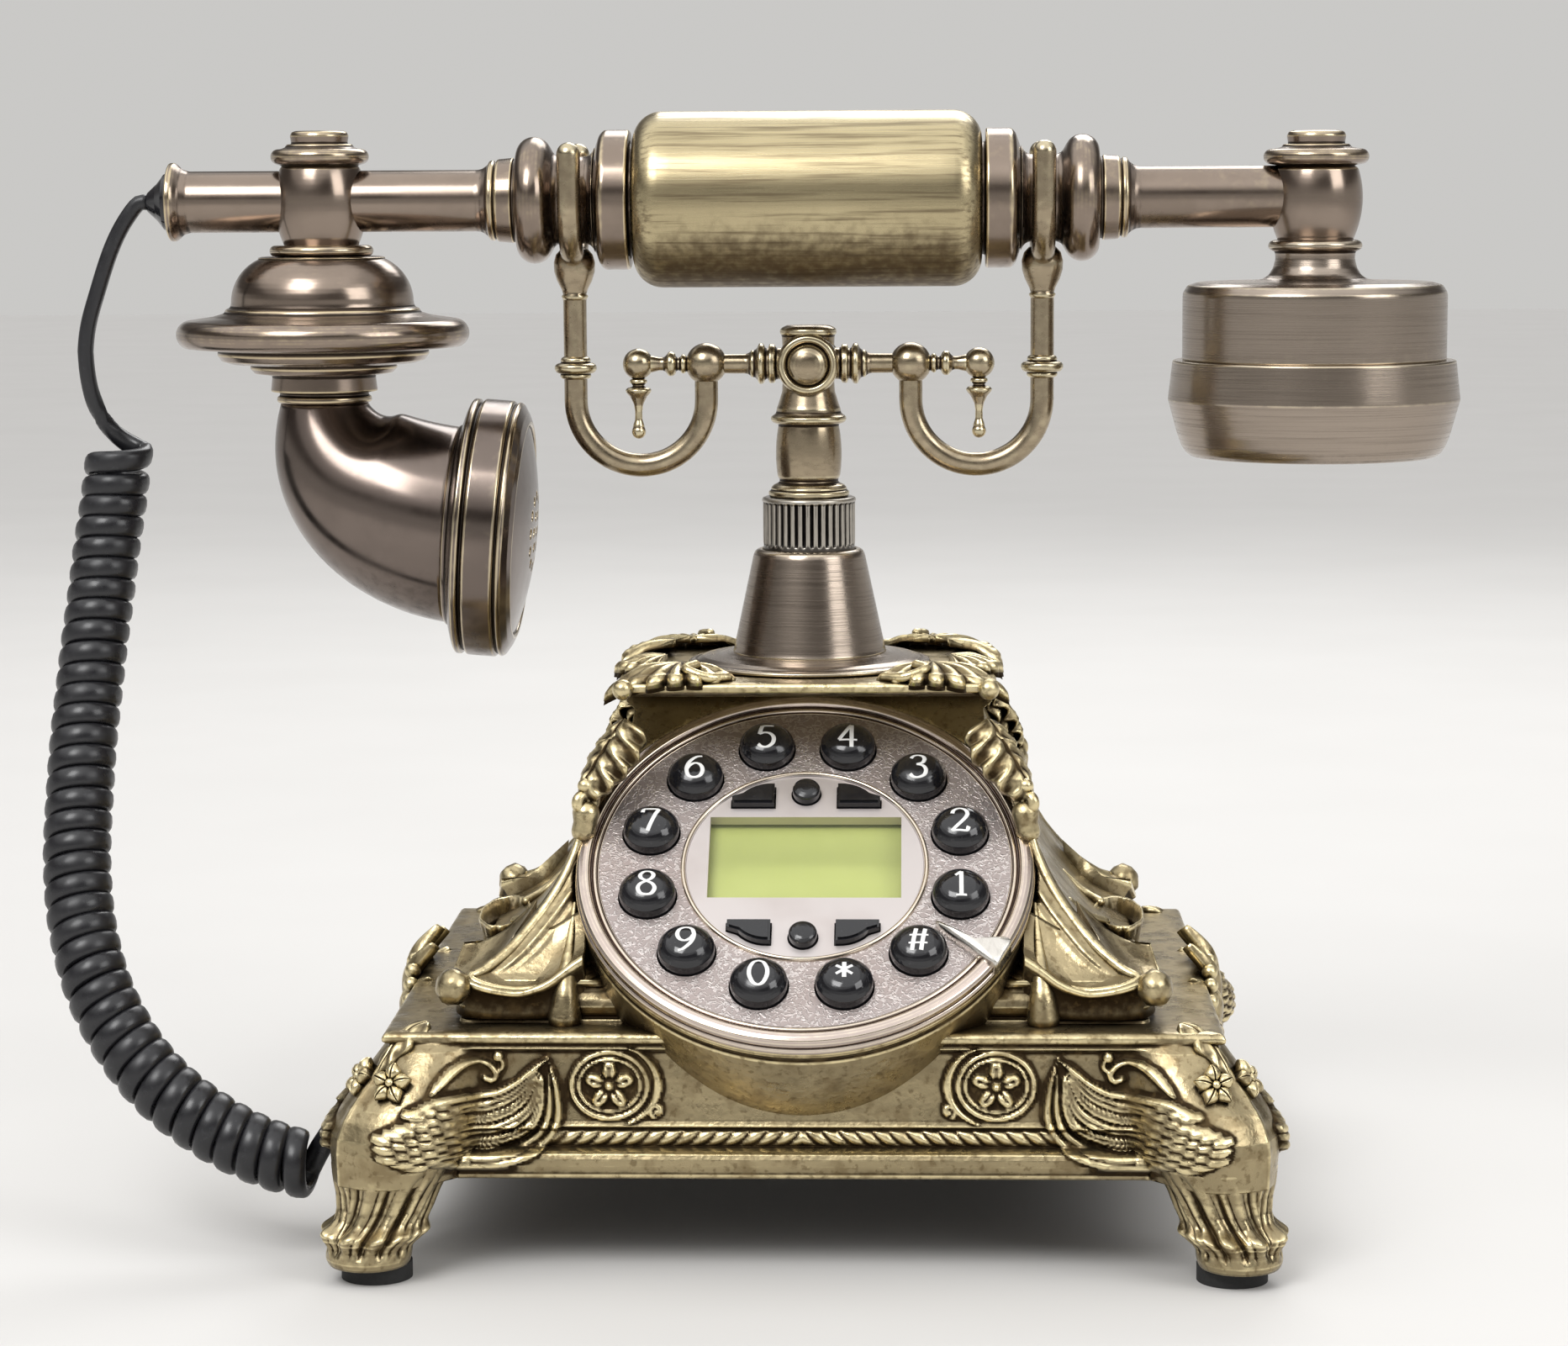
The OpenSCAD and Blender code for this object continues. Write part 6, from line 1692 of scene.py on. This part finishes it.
def clear_of_jacks(grid):
    """The plinth's skin pressed back round the two jacks, whose faces stand half a millimetre proud of it."""
    for name, axis, way in (("cord_jack", 0, -1), ("line_jack", 1, 1)):
        low, high = node_box(name)
        middle, half = (low + high) / 2, (high - low) / 2
        face = max(way * low[axis], way * high[axis]) - 0.5
        across, reach = grid[..., 1 - axis], grid[..., axis] * way
        beside = np.abs(across - middle[1 - axis]) - half[1 - axis]
        above = np.abs(grid[..., 2] - middle[2]) - half[2]
        pressed = reach + np.minimum(face - reach, 0) * smoothstep(2.6, 0.8, np.maximum(beside, above))
        grid[..., axis] = np.where(reach > 0.8 * face, pressed, reach) * way
    return grid


def casting_half(side):
    """Half of the plinth's skin, mirrored from a quarter and turned inwards along its top and bottom edges."""
    quarter = casting_quarter()
    rear = quarter[:, ::-1][:, 1:] * np.array([1, -1, 1, 1])
    grid = np.concatenate([quarter, rear], axis=1)
    inner = [grid[:1] * np.array([0.8, 0.78, 1, 1]), grid, grid[-1:] * np.array([0.93, 0.92, 1, 1]),
             grid[-1:] * np.array([0.93, 0.92, 1, 1]) + np.array([0, 0, 3.0, 0])]
    grid = clear_of_jacks(np.concatenate(inner, axis=0) * np.array([side, 1, 1, 1]))[:, ::side]
    return grid[..., :3], False, grid[..., 3]


LEG_ROWS = [  # height, the leg axis's distance to the side, radius
    (28, 85.9, 12.6), (26.5, 86.1, 13.0), (24.5, 86.4, 13.1), (22.4, 86.8, 12.5), (21, 87.1, 12.0),
    (18.5, 87.5, 11.1), (15.4, 88.1, 10.4), (13.2, 88.9, 10.1), (11.6, 89.7, 10.2), (10.3, 90.4, 10.5),
    (9.3, 90.8, 10.4), (8.4, 91.0, 9.7), (7.6, 91.1, 9.2), (6.4, 91.2, 9.1), (5.2, 91.3, 9.0), (4.3, 91.3, 8.7),
    (3.7, 91.3, 8.3), (3.5, 91.2, 7.6),
]


def leg_skin():
    """A leg at the front right corner, from inside the knee to the foot. Rings are stacked down the leg; each is
    a circle with flutes that deepen below the knee, lean with height and end in upturned lobes at the foot."""
    rows = np.array(LEG_ROWS)
    rows = at_runs(rows, np.linspace(0, run_of(rows)[-1], 110))
    z, centre, radius = rows[:, 0][:, None], rows[:, 1][:, None], rows[:, 2][:, None]
    a = once_round(240)[None]
    away = np.angle(np.exp(1j * (a + math.radians(45))))
    lean = 0.02 * np.maximum(24 - z, 0) * np.sign(away)
    wave = np.cos(5.0 * (away + lean) * (1 + 0.06 * np.sin(3 * away)))
    depth = 1.7 * smoothstep(26.5, 18, z) * smoothstep(5.6, 8.6, z)
    cut = (1 - np.abs(wave)) ** 1.6
    second = 0.35 * depth * (1 - np.abs(np.cos(10.0 * (away + lean))))
    lip = 1.5 * np.exp(-(((z - 10.2 - 0.9 * np.abs(wave)) / 1.25) ** 2)) * np.abs(wave) ** 1.3
    r = radius - depth * cut - second + lip
    grid = np.stack([centre + r * np.cos(a), LEG_SHIFT - centre + r * np.sin(a), np.broadcast_to(z, r.shape)],
                    axis=-1)
    return closed_ends(grid)


BEZEL_WIDTH, DRUM_GAP = 3.35, 0.35  # the bezel beyond the rim, and the clear space round it
BEHIND_DIAL, UNDER_BEZEL = 12.0, 0.7  # depths behind the dial's middle of the pocket's floor and of the front
CORNICE_Z = 117.9  # nothing above this height is moved


def swept_by_dial(grid):
    """Between the corner piers the front lies in a plane just under the bezel. The round column over the dial's
    face is clear: a point in it moves straight back to where it leaves the column, either through the column's
    far side or through a plane behind the dial."""
    up, out = dial_axes()
    reach = RIM_R + BEZEL_WIDTH + DRUM_GAP
    x, y, z = grid[..., 0], grid[..., 1], grid[..., 2]
    chord = np.sqrt(np.maximum(reach**2 - x**2, 0))
    rise = z - DIAL_AT[2]
    enters = DIAL_AT[1] + (-chord - up[2] * rise) / up[1]
    far_side = DIAL_AT[1] + (chord - up[2] * rise) / up[1]
    leaves = np.minimum(far_side, DIAL_AT[1] + (out[2] * rise + BEHIND_DIAL) / -out[1])
    below = z < CORNICE_Z
    inside = (np.abs(x) < reach) & (y > enters) & (y < leaves) & below
    slope = DIAL_AT[1] + (out[2] * rise + UNDER_BEZEL) / -out[1]
    faced = y + np.maximum(slope - y, 0) * below * (y < 0) * smoothstep(43.5, 41.0, np.abs(x))
    moved = grid.copy()
    moved[..., 1] = np.where(inside, np.maximum(leaves, faced), faced)
    return moved


def deck_skin():
    """The plinth's flat top under the tower: a shallow slab, a little below the ledge."""
    rows = [(50.2, 60, 42), (50.2, 84.6, 66.6), (51.6, 84.9, 66.9), (51.93, 84.4, 66.4), (51.93, 60, 42)]
    t = np.linspace(-1, 1, 60)
    edge = np.concatenate([np.stack([t, -1 + 0 * t], -1)[:-1], np.stack([1 + 0 * t, t], -1)[:-1],
                           np.stack([-t, 1 + 0 * t], -1)[:-1], np.stack([-1 + 0 * t, -t], -1)[:-1]])
    grid = np.stack([np.column_stack([edge * np.array([w, d]), np.full(len(edge), z)]) for z, w, d in rows])
    return closed_ends(grid)


def bowl(reach, width, depth, flutes):
    """An oblong bowl: rings go down its outside and up its inside. Each ring is an oval whose edge is scalloped,
    and the outside is ribbed by the same waves."""
    a = once_round(120)
    rings = [(0.0, -1.0), (0.3, -0.99), (0.5, -0.93), (0.66, -0.8), (0.78, -0.62), (0.87, -0.4), (0.95, -0.18),
             (1.02, -0.03), (1.05, 0.05), (1.03, 0.1), (0.97, 0.08), (0.9, -0.06), (0.8, -0.3), (0.62, -0.5),
             (0.35, -0.6), (0.0, -0.62)]
    share, level = np.array(rings).T
    wave = 1 + 0.045 * (share**2)[:, None] * np.abs(np.cos(0.5 * flutes * a))
    x = reach * share[:, None] * np.cos(a) * wave
    y = width * share[:, None] * np.sin(a) * wave
    z = depth * level[:, None] + 0.0 * x
    return np.stack([x, y, z], axis=-1)


def shell_lobe(hinge, out, length, fan, droop, flutes, lift=1.0):
    """A shell-like leaf that spreads from a hinge and droops over an edge. In polar steps round the hinge, its
    height is a crown that falls with distance squared, plus ribs whose tips scallop its outline; its underside
    is a millimetre or more below. The first and last angles are in fan, in degrees from out."""
    a = np.radians(np.linspace(fan[0], fan[1], 110))[:, None]
    r = np.concatenate([np.linspace(0.06, 1, 30), [1.02, 1.0]])[None]
    share = (a - a[0]) / (a[-1] - a[0])
    rib = np.abs(np.cos(math.pi * flutes * share))
    outline = length * (0.80 + 0.20 * rib**0.7) * (1 - 0.10 * np.sin(math.pi * share))
    outline = outline * (1 + 0.28 * share**3)
    distance = outline * r
    sag = droop * np.maximum(distance - 0.45 * length, 0) ** 2 / length
    top = 1.2 * lift * (1 - r**2) + 1.1 * (rib - 0.5) * np.minimum(r, 1) ** 0.8 - sag
    top = top + 0.5 * np.exp(-(((r - 0.93) / 0.08) ** 2))
    shade = np.where(np.arange(32)[None] >= 30, top - 1.3, top)
    way = math.atan2(out[1], out[0]) + a
    face = np.stack([hinge[0] + distance * np.cos(way), hinge[1] + distance * np.sin(way), hinge[2] + shade], axis=-1)
    under = face[:, ::-1].copy()
    under[..., 2] -= 1.6 * (1 - r[:, ::-1] ** 4 * 0.4)
    dark = np.clip(0.8 * (0.55 - rib) * np.minimum(r, 1), -0.4, 0.5)
    # The underside gets painted shade, as the side that faces down under the lobe.
    dark = np.concatenate([dark, np.full(dark.shape, 0.3)], axis=1)
    return closed_ends(np.concatenate([np.concatenate([face, under], axis=1), dark[..., None]], axis=-1))


def top_lobes():
    """The shell-like leaf that folds over the slab's front edge beside the mast, and a smaller one behind it."""
    front = shell_lobe((27.5, -23.5, 123.4), (0.15, -1.0), 13.6, (-72, 62), 0.62, 6)
    rear = shell_lobe((31.0, -13.5, 123.2), (0.8, -0.35), 11.6, (-55, 60), 0.42, 5, 1.5)
    tip = ball((39.6, -34.6, 119.8), 2.3, 20)
    curl = flowing([(17, -30.6, 122.0), (21.5, -33.4, 122.4), (26, -32.2, 124.0), (24, -29.6, 124.6)], 8)
    return [front, rear, tip, tube(evenly(curl, 0.5), 1.1, (0, 0, 1), 14)]


def corner_acanthus():
    """The bracket under the cornice: leaves bent down the corner, ending in a scroll over a small block."""
    down = [(39.4, -33.0, 113.4), (41.6, -35.0, 108.6), (45.0, -37.8, 103.6), (47.9, -40.2, 99.2),
            (48.8, -41.2, 96.2)]
    front = [(38.6, -33.4, 112.5), (40.6, -35.0, 107.6), (43.4, -37.6, 102.4), (46.4, -40.6, 98.0)]
    side = [(40.4, -30.6, 112.5), (42.4, -32.4, 107.6), (45.4, -35.4, 102.4), (48.4, -38.4, 98.0)]
    leaves = [leaf(down, (0.72, -0.62, 0.3), 8.6, 1.5, 5, 1.2, 2.6)]
    leaves += [leaf(line, out, 5.6, 1.3, 4, 1.0, 1.4) for line, out in (
        (front, (0.15, -0.97, 0.2)), (side, (0.97, -0.15, 0.2)))]
    axis = unit(np.array([0.76, -0.65, 0]))
    flat = spiral((0, 0), 3.3, 0.6, 1.5, 100)
    scroll = np.array([47.9, -40.6, 96.4]) + flat[:, :1] * axis + flat[:, 1:] * np.array([0, 0, 1.0])
    rolled = tube(scroll, np.linspace(1.7, 1.0, len(scroll)), np.cross(axis, (0, 0, 1)), 16)
    block = tube(np.array([(47.4, -40.2, 93.6), (47.6, -40.4, 91.6), (47.9, -40.6, 89.8)]), np.array([3.0, 2.6, 2.7]),
                 axis, 16)
    return leaves + [rolled, block]


def corner_ridge():
    """The wire down a front corner's edge that turns under at the bottom into the lip of the hollow face."""
    points = [(48.0, -40.8, 93), (48.6, -41.4, 89), (50.4, -43.4, 83.5), (53.2, -46.4, 78), (57.2, -50.0, 72.4),
              (62.0, -54.0, 67.2), (67.4, -57.8, 63.2), (70.6, -60.2, 61.8), (68.6, -61.6, 60.6),
              (64.4, -61.8, 59.6), (59.6, -61.4, 59.2), (54.6, -60.8, 60.2), (50.6, -60.0, 62.2)]
    line = evenly(flowing(points, 8), 0.8)
    widths = [0.9, 1.0, 1.05, 1.1, 1.15, 1.2, 1.25, 1.15, 1.0, 0.9, 0.85, 0.75, 0.5]
    return [tube(line, np.interp(np.linspace(0, 12, len(line)), range(13), widths), (0.7, -0.7, 0.3), 16)]


def corner_flare():
    """The tower's foot at a corner: the face flares out like a trumpet to a thin lip that sags between the
    corner and a fold beside the drum, and under the lip a body curves in to the ledge. Each cross-section runs
    from the face over the lip and under it; a round knob covers the corner, where the lips meet."""
    upper = [(46.5, -50.6, 75), (49.5, -51.6, 73.6), (53, -52.4, 71.6), (57, -52.8, 69.6), (60.6, -52.6, 68.0),
             (62.4, -51.2, 67.6), (62.8, -48.4, 68.2), (61.4, -45.2, 70.0), (59.6, -41.6, 72.4),
             (58.4, -38.2, 74.4)]
    lip = [(46.5, -60.6, 66.5), (49.5, -61.6, 64.6), (54, -62.8, 61.0), (60, -63.4, 58.9), (67, -63.6, 60.2),
           (73.2, -62.0, 62.4), (75.6, -56.0, 60.0), (76.2, -50.0, 58.9), (75.4, -43.6, 61.0), (74.2, -38.2, 64.6)]
    middle = np.array([40.0, -30.0])
    steps = np.linspace(0, len(lip) - 1, 90)
    count = np.arange(len(lip))
    top, edge = (
        softened(np.stack([np.interp(steps, count, column) for column in np.array(p).T], axis=1), 12)
        for p in (upper, lip)
    )
    inward = unit(np.c_[middle - edge[:, :2], np.zeros(len(edge))])
    s = np.linspace(0, 1, 22)[None, :, None]
    share = np.concatenate([s, s, 1 - (1 - s) ** 1.9], axis=-1)
    face = top[:, None] + (edge - top)[:, None] * share
    under = []
    turns = [(-0.35, -0.25), (-0.5, 0.1), (-0.35, 0.15), (0.3, 0.2), (1.1, 0.32), (1.6, 0.55), (1.7, 0.8), (1.3, 1.0)]
    for inset, drop in turns + [(14, 1.0)]:
        low = edge + inward * inset
        low[:, 2] = edge[:, 2] - (edge[:, 2] - 53.2) * max(drop, 0) + (0.35 if drop < 0 else 0)
        under.append(low)
    grid = np.concatenate([face, np.stack(under, axis=1)], axis=1)
    # The mask brightens the lip's worn edge and paints shade under the lip, where the body curves in to the ledge.
    dark = np.concatenate([np.linspace(0.05, -0.1, 22), (-0.3, -0.3, 0.1, 0.35, 0.45, 0.45, 0.4, 0.4, 0.4)])
    dark = np.broadcast_to(dark, grid.shape[:2])[..., None]
    knob = turned(np.array([(-3.8, 0), (-3.4, 1.9), (-2.0, 3.3), (0, 4.0), (1.8, 3.6), (3.1, 2.3), (3.7, 0)]), 48)
    a = np.arctan2(knob[..., 1], knob[..., 0])
    knob[..., :2] *= (1 + 0.05 * np.cos(5 * a + 1.5 * knob[..., 2]))[..., None]
    tip = unit(np.array([0.8, -0.5, 0.3]))
    fold = [(49.2, -49.2, 75.5), (49.6, -53.4, 70), (50.0, -57.8, 64.5), (50.4, -60.9, 58.5), (50.6, -61.4, 53.4)]
    fold = evenly(flowing(fold, 8), 0.6)
    wide = np.interp(np.linspace(0, 1, len(fold)), [0, 0.4, 0.75, 1], [0.5, 1.1, 2.4, 3.6])
    flare = np.concatenate([closed_ends(grid), closed_ends(dark)], axis=-1)
    knob = placed(knob, (74.0, -62.8, 60.2), *square_to(tip))
    return [flare, knob, tube(fold, wide, (0, -1, 0), 20)]


def square_to(axis):
    """Two directions square to an axis and to each other, so that a turned piece's axis comes out along it."""
    right = unit(np.cross((0, 0, 1), axis))
    return right, np.cross(axis, right)


def side_bowl():
    """The oblong bowl at the foot of the tower's side, and the two curved arms that hold it to the tower."""
    grid = placed(bowl(17.2, 5.2, 11.5, 9), (69.6, 0, 63.6), (0, 1, 0), (-1, 0, 0))
    line = evenly(flowing([(66.0, -12.0, 64.4), (62.2, -15.0, 66.2), (57.6, -17.5, 70.0)], 8), 0.6)
    arm = tube(line, 1.2, (1, 0, 0), 14)
    return [grid, arm, arm * np.array([1, -1, 1])]


def side_shell():
    """The shell at the middle of a plinth side: ribs fanned over a boss, two volutes, and an arc of pearls each
    side, standing above the ledge."""
    made = []
    hub = np.array([88.6, 0, 33.5])
    for k in range(-4, 5):
        angle = math.radians(90 + 21 * k)
        way = np.array([0, math.cos(angle), math.sin(angle)])
        tall = 28.0 - 0.5 * k * k
        arch = ((0.12, 0.8), (0.45, 2.0), (0.75, 1.6), (1.0, -3.4))
        line = [hub + way * tall * s + np.array([1.0, 0, 0]) * h for s, h in arch]
        made.append(leaf(line, (1, 0, 0.35), 4.4, 2.2, 1, 0.1, 0.6, 1.6))
    made.append(ball(hub + np.array([1.0, 0, 1.0]), 3.6, 24))
    for side in (-1, 1):
        flat = spiral((0, 0), 5.0, 0.9, 1.4, 95 if side > 0 else 85)
        line = np.stack([np.full(len(flat), 90.0), side * 17.5 + side * flat[:, 0], 30.5 + flat[:, 1]], axis=-1)
        made.append(tube(line, np.linspace(1.7, 1.2, len(line)), (1, 0, 0), 14))
        for k in range(8):
            angle = math.radians(14 + 10.5 * k)
            place = (89.6 - 0.1 * k, side * 27.0 * math.sin(angle), 31.0 + 24.0 * math.cos(angle))
            made.append(ball(place, 1.9 - 0.07 * k, 14))
    return made


def shoulder_flower():
    """Two five-petalled flowers on a leg's shoulder: each petal is a small crowned leaf, and a ribbed leaf
    runs up the shoulder between the two."""
    made, size = [], 5.0
    for centre, out in (((85.6, -77.2, 42.6), (0.30, -0.80, 0.5)), ((93.2, -69.4, 42.2), (0.80, -0.30, 0.5))):
        out = unit(np.array(out))
        right, above = square_to(out)
        for k in range(5):
            angle = 2 * math.pi * k / 5 + math.pi / 2
            way = math.cos(angle) * right + math.sin(angle) * above
            line = np.array(centre) + np.array([0.15, 0.4, 0.7, 0.95])[:, None] * size * way
            line = line + np.array([0.0, 0.5, 0.6, -0.1])[:, None] * out
            made.append(leaf(line, out, size * 0.40, 1.2, 1, 0.0, 0.2, 1.8))
        made.append(ball(np.array(centre) + 0.7 * out, size * 0.2, 16))
    ridge = [(79.0, -64.8, 53.2), (82.8, -67.6, 51.4), (86.8, -70.6, 47.4), (89.2, -72.6, 43.4)]
    return made + [leaf(ridge, (0.55, -0.5, 0.67), 4.2, 1.0, 3, 0.4, 0.4, 1.4)]


def cast_gold():
    """Antiqued gold casting: dark brown in the recesses, as patina and as painted occlusion shade, rubbed bright on
    the high places, faintly pitted.
    """
    found = bpy.data.materials.get("cast gold")
    if found:
        return found
    material, tree, shader = new_material("cast gold")
    shaded_wear = wear_and_shade(tree, finishes().gold, (0.035, 0.022, 0.010), (0.80, 0.68, 0.40), (1.0, 1.0, 0.5))
    place = add_node(tree, "TexCoord").outputs["Object"]
    pits = noise(tree, place, 620.0, 3.0)
    lumps = noise(tree, place, 150.0, 4.0)
    # Painted shade: ambient occlusion darkens the colour in recesses and between and under parts.
    shade = add_node(tree, "AmbientOcclusion", {"Distance": 0.006}, samples=8, only_local=False).outputs["AO"]
    tone = mixed(tree, ramp(tree, shade, 0.92, 0.35, 0.0, 0.9), shaded_wear["Color"], (0.04, 0.025, 0.012, 1))
    tone = mixed(tree, ramp(tree, pits, 0.54, 0.70, 0.0, 0.55), tone, (0.12, 0.08, 0.035, 1))
    tone = mixed(tree, ramp(tree, lumps, 0.52, 0.70, 0.0, 0.5), tone, (0.16, 0.11, 0.05, 1))
    tree.links.new(tone, shader.inputs["Base Color"])
    shader.inputs["Metallic"].default_value = 0.94
    dull = maths(tree, "MULTIPLY", shaded_wear["Groove Mask"], 0.3)
    tree.links.new(maths(tree, "ADD", ramp(tree, lumps, 0.3, 0.7, 0.24, 0.38), dull), shader.inputs["Roughness"])
    high = maths(tree, "ADD", maths(tree, "MULTIPLY", pits, 0.5), lumps)
    raise_skin(tree, shader, high, 0.6, 0.0004)
    return material


class TELEPHONE_OT_base(bpy.types.Operator):
    """Cast base: plinth with its wings, rosettes and rope, the deck, the tower, and the drum behind the dial"""

    bl_idname = "telephone.base"
    bl_label = "Base Casting"

    def execute(self, context):
        gold = cast_gold()
        add_piece("plinth_right", [casting_half(1)], gold, "base", ("base_shell",))
        add_piece("plinth_left", [casting_half(-1)], gold, "base")
        add_piece("deck", [(deck_skin(), True)], gold, "base")
        r = RIM_R
        drum = [(-2.6, r - 2.4), (-2.6, r + 2.2), (-2.9, r + 3.0), (-3.8, r + 3.2), (-4.6, r + 2.7),
                (-5.4, r + 2.6), (-6.0, r + 3.1), (-12, r + 3.3), (-36, r + 3.3), (-36, r - 2.4)]
        drum = on_dial(turned_ring(rounded(drum, 0.3), 256))
        add_piece("tower", [(tower_skin(), True)], gold, "base")
        add_piece("dial_drum", [(drum, True)], gold, "base")
        return {"FINISHED"}


class TELEPHONE_OT_legs(bpy.types.Operator):
    """Four fluted legs with lobed feet"""

    bl_idname = "telephone.legs"
    bl_label = "Legs"

    def execute(self, context):
        for k, sheet in enumerate(four_ways(leg_skin())):
            add_piece(f"leg_{k + 1}", [sheet], cast_gold(), "base")
        return {"FINISHED"}


class TELEPHONE_OT_ornament(bpy.types.Operator):
    """Leaves, scrolls, bowls and flowers on the tower's corners, the plinth's sides and the legs' shoulders"""

    bl_idname = "telephone.ornament"
    bl_label = "Ornament"

    def execute(self, context):
        corners = {
            "corner_ridge": corner_ridge(), "corner_scroll": corner_flare(), "corner_acanthus": corner_acanthus(),
            "top_lobe": top_lobes(), "shoulder_flower": shoulder_flower(),
        }
        for name, grids in corners.items():
            ways = [four_ways(grid) for grid in grids]
            for k in range(4):
                add_piece(f"{name}_{k + 1}", [way[k] for way in ways], cast_gold(), "base")
        for name, grids in {"side_bowl": side_bowl(), "side_shell": side_shell()}.items():
            for k, side in enumerate((1, -1)):
                sheets = [sheet_at(grid, side) for grid in grids]
                add_piece(f"{name}_{k + 1}", sheets, cast_gold(), "base")
        return {"FINISHED"}


# ---------------------------------------------------------------- panel and running


OPERATORS = (
    TELEPHONE_OT_stage, TELEPHONE_OT_cord, TELEPHONE_OT_grip, TELEPHONE_OT_stems, TELEPHONE_OT_tie_caps,
    TELEPHONE_OT_mouthpiece, TELEPHONE_OT_earpiece, TELEPHONE_OT_cradle, TELEPHONE_OT_forks, TELEPHONE_OT_mast,
    TELEPHONE_OT_dial, TELEPHONE_OT_number_keys, TELEPHONE_OT_base, TELEPHONE_OT_legs, TELEPHONE_OT_ornament,
    TELEPHONE_OT_carried_parts,
)


class TELEPHONE_PT_pieces(bpy.types.Panel):
    """The telephone's sizes, finishes and pieces"""

    bl_idname = "TELEPHONE_PT_pieces"
    bl_label = "Telephone"
    bl_space_type = "VIEW_3D"
    bl_region_type = "UI"
    bl_category = "Telephone"

    def draw(self, context):
        for group in (sizes(), finishes()):
            for key in group.bl_rna.properties.keys():
                if key not in ("rna_type", "name"):
                    self.layout.prop(group, key)
        for operator in OPERATORS:
            self.layout.operator(operator.bl_idname)


CLASSES = (TelephoneSizes, TelephoneFinishes) + OPERATORS + (TELEPHONE_PT_pieces,)


def register():
    """Makes the classes known and gives the scene its sizes and colours."""
    for item in CLASSES:
        bpy.utils.register_class(item)
    bpy.types.Scene.telephone_sizes = bpy.props.PointerProperty(type=TelephoneSizes)
    bpy.types.Scene.telephone_finishes = bpy.props.PointerProperty(type=TelephoneFinishes)


def unregister():
    """Takes back what register gave."""
    del bpy.types.Scene.telephone_finishes
    del bpy.types.Scene.telephone_sizes
    for item in reversed(CLASSES):
        bpy.utils.unregister_class(item)


def main():
    register()
    for operator in OPERATORS:
        getattr(bpy.ops.telephone, operator.bl_idname.split(".")[1])()


if __name__ == "__main__":
    main()
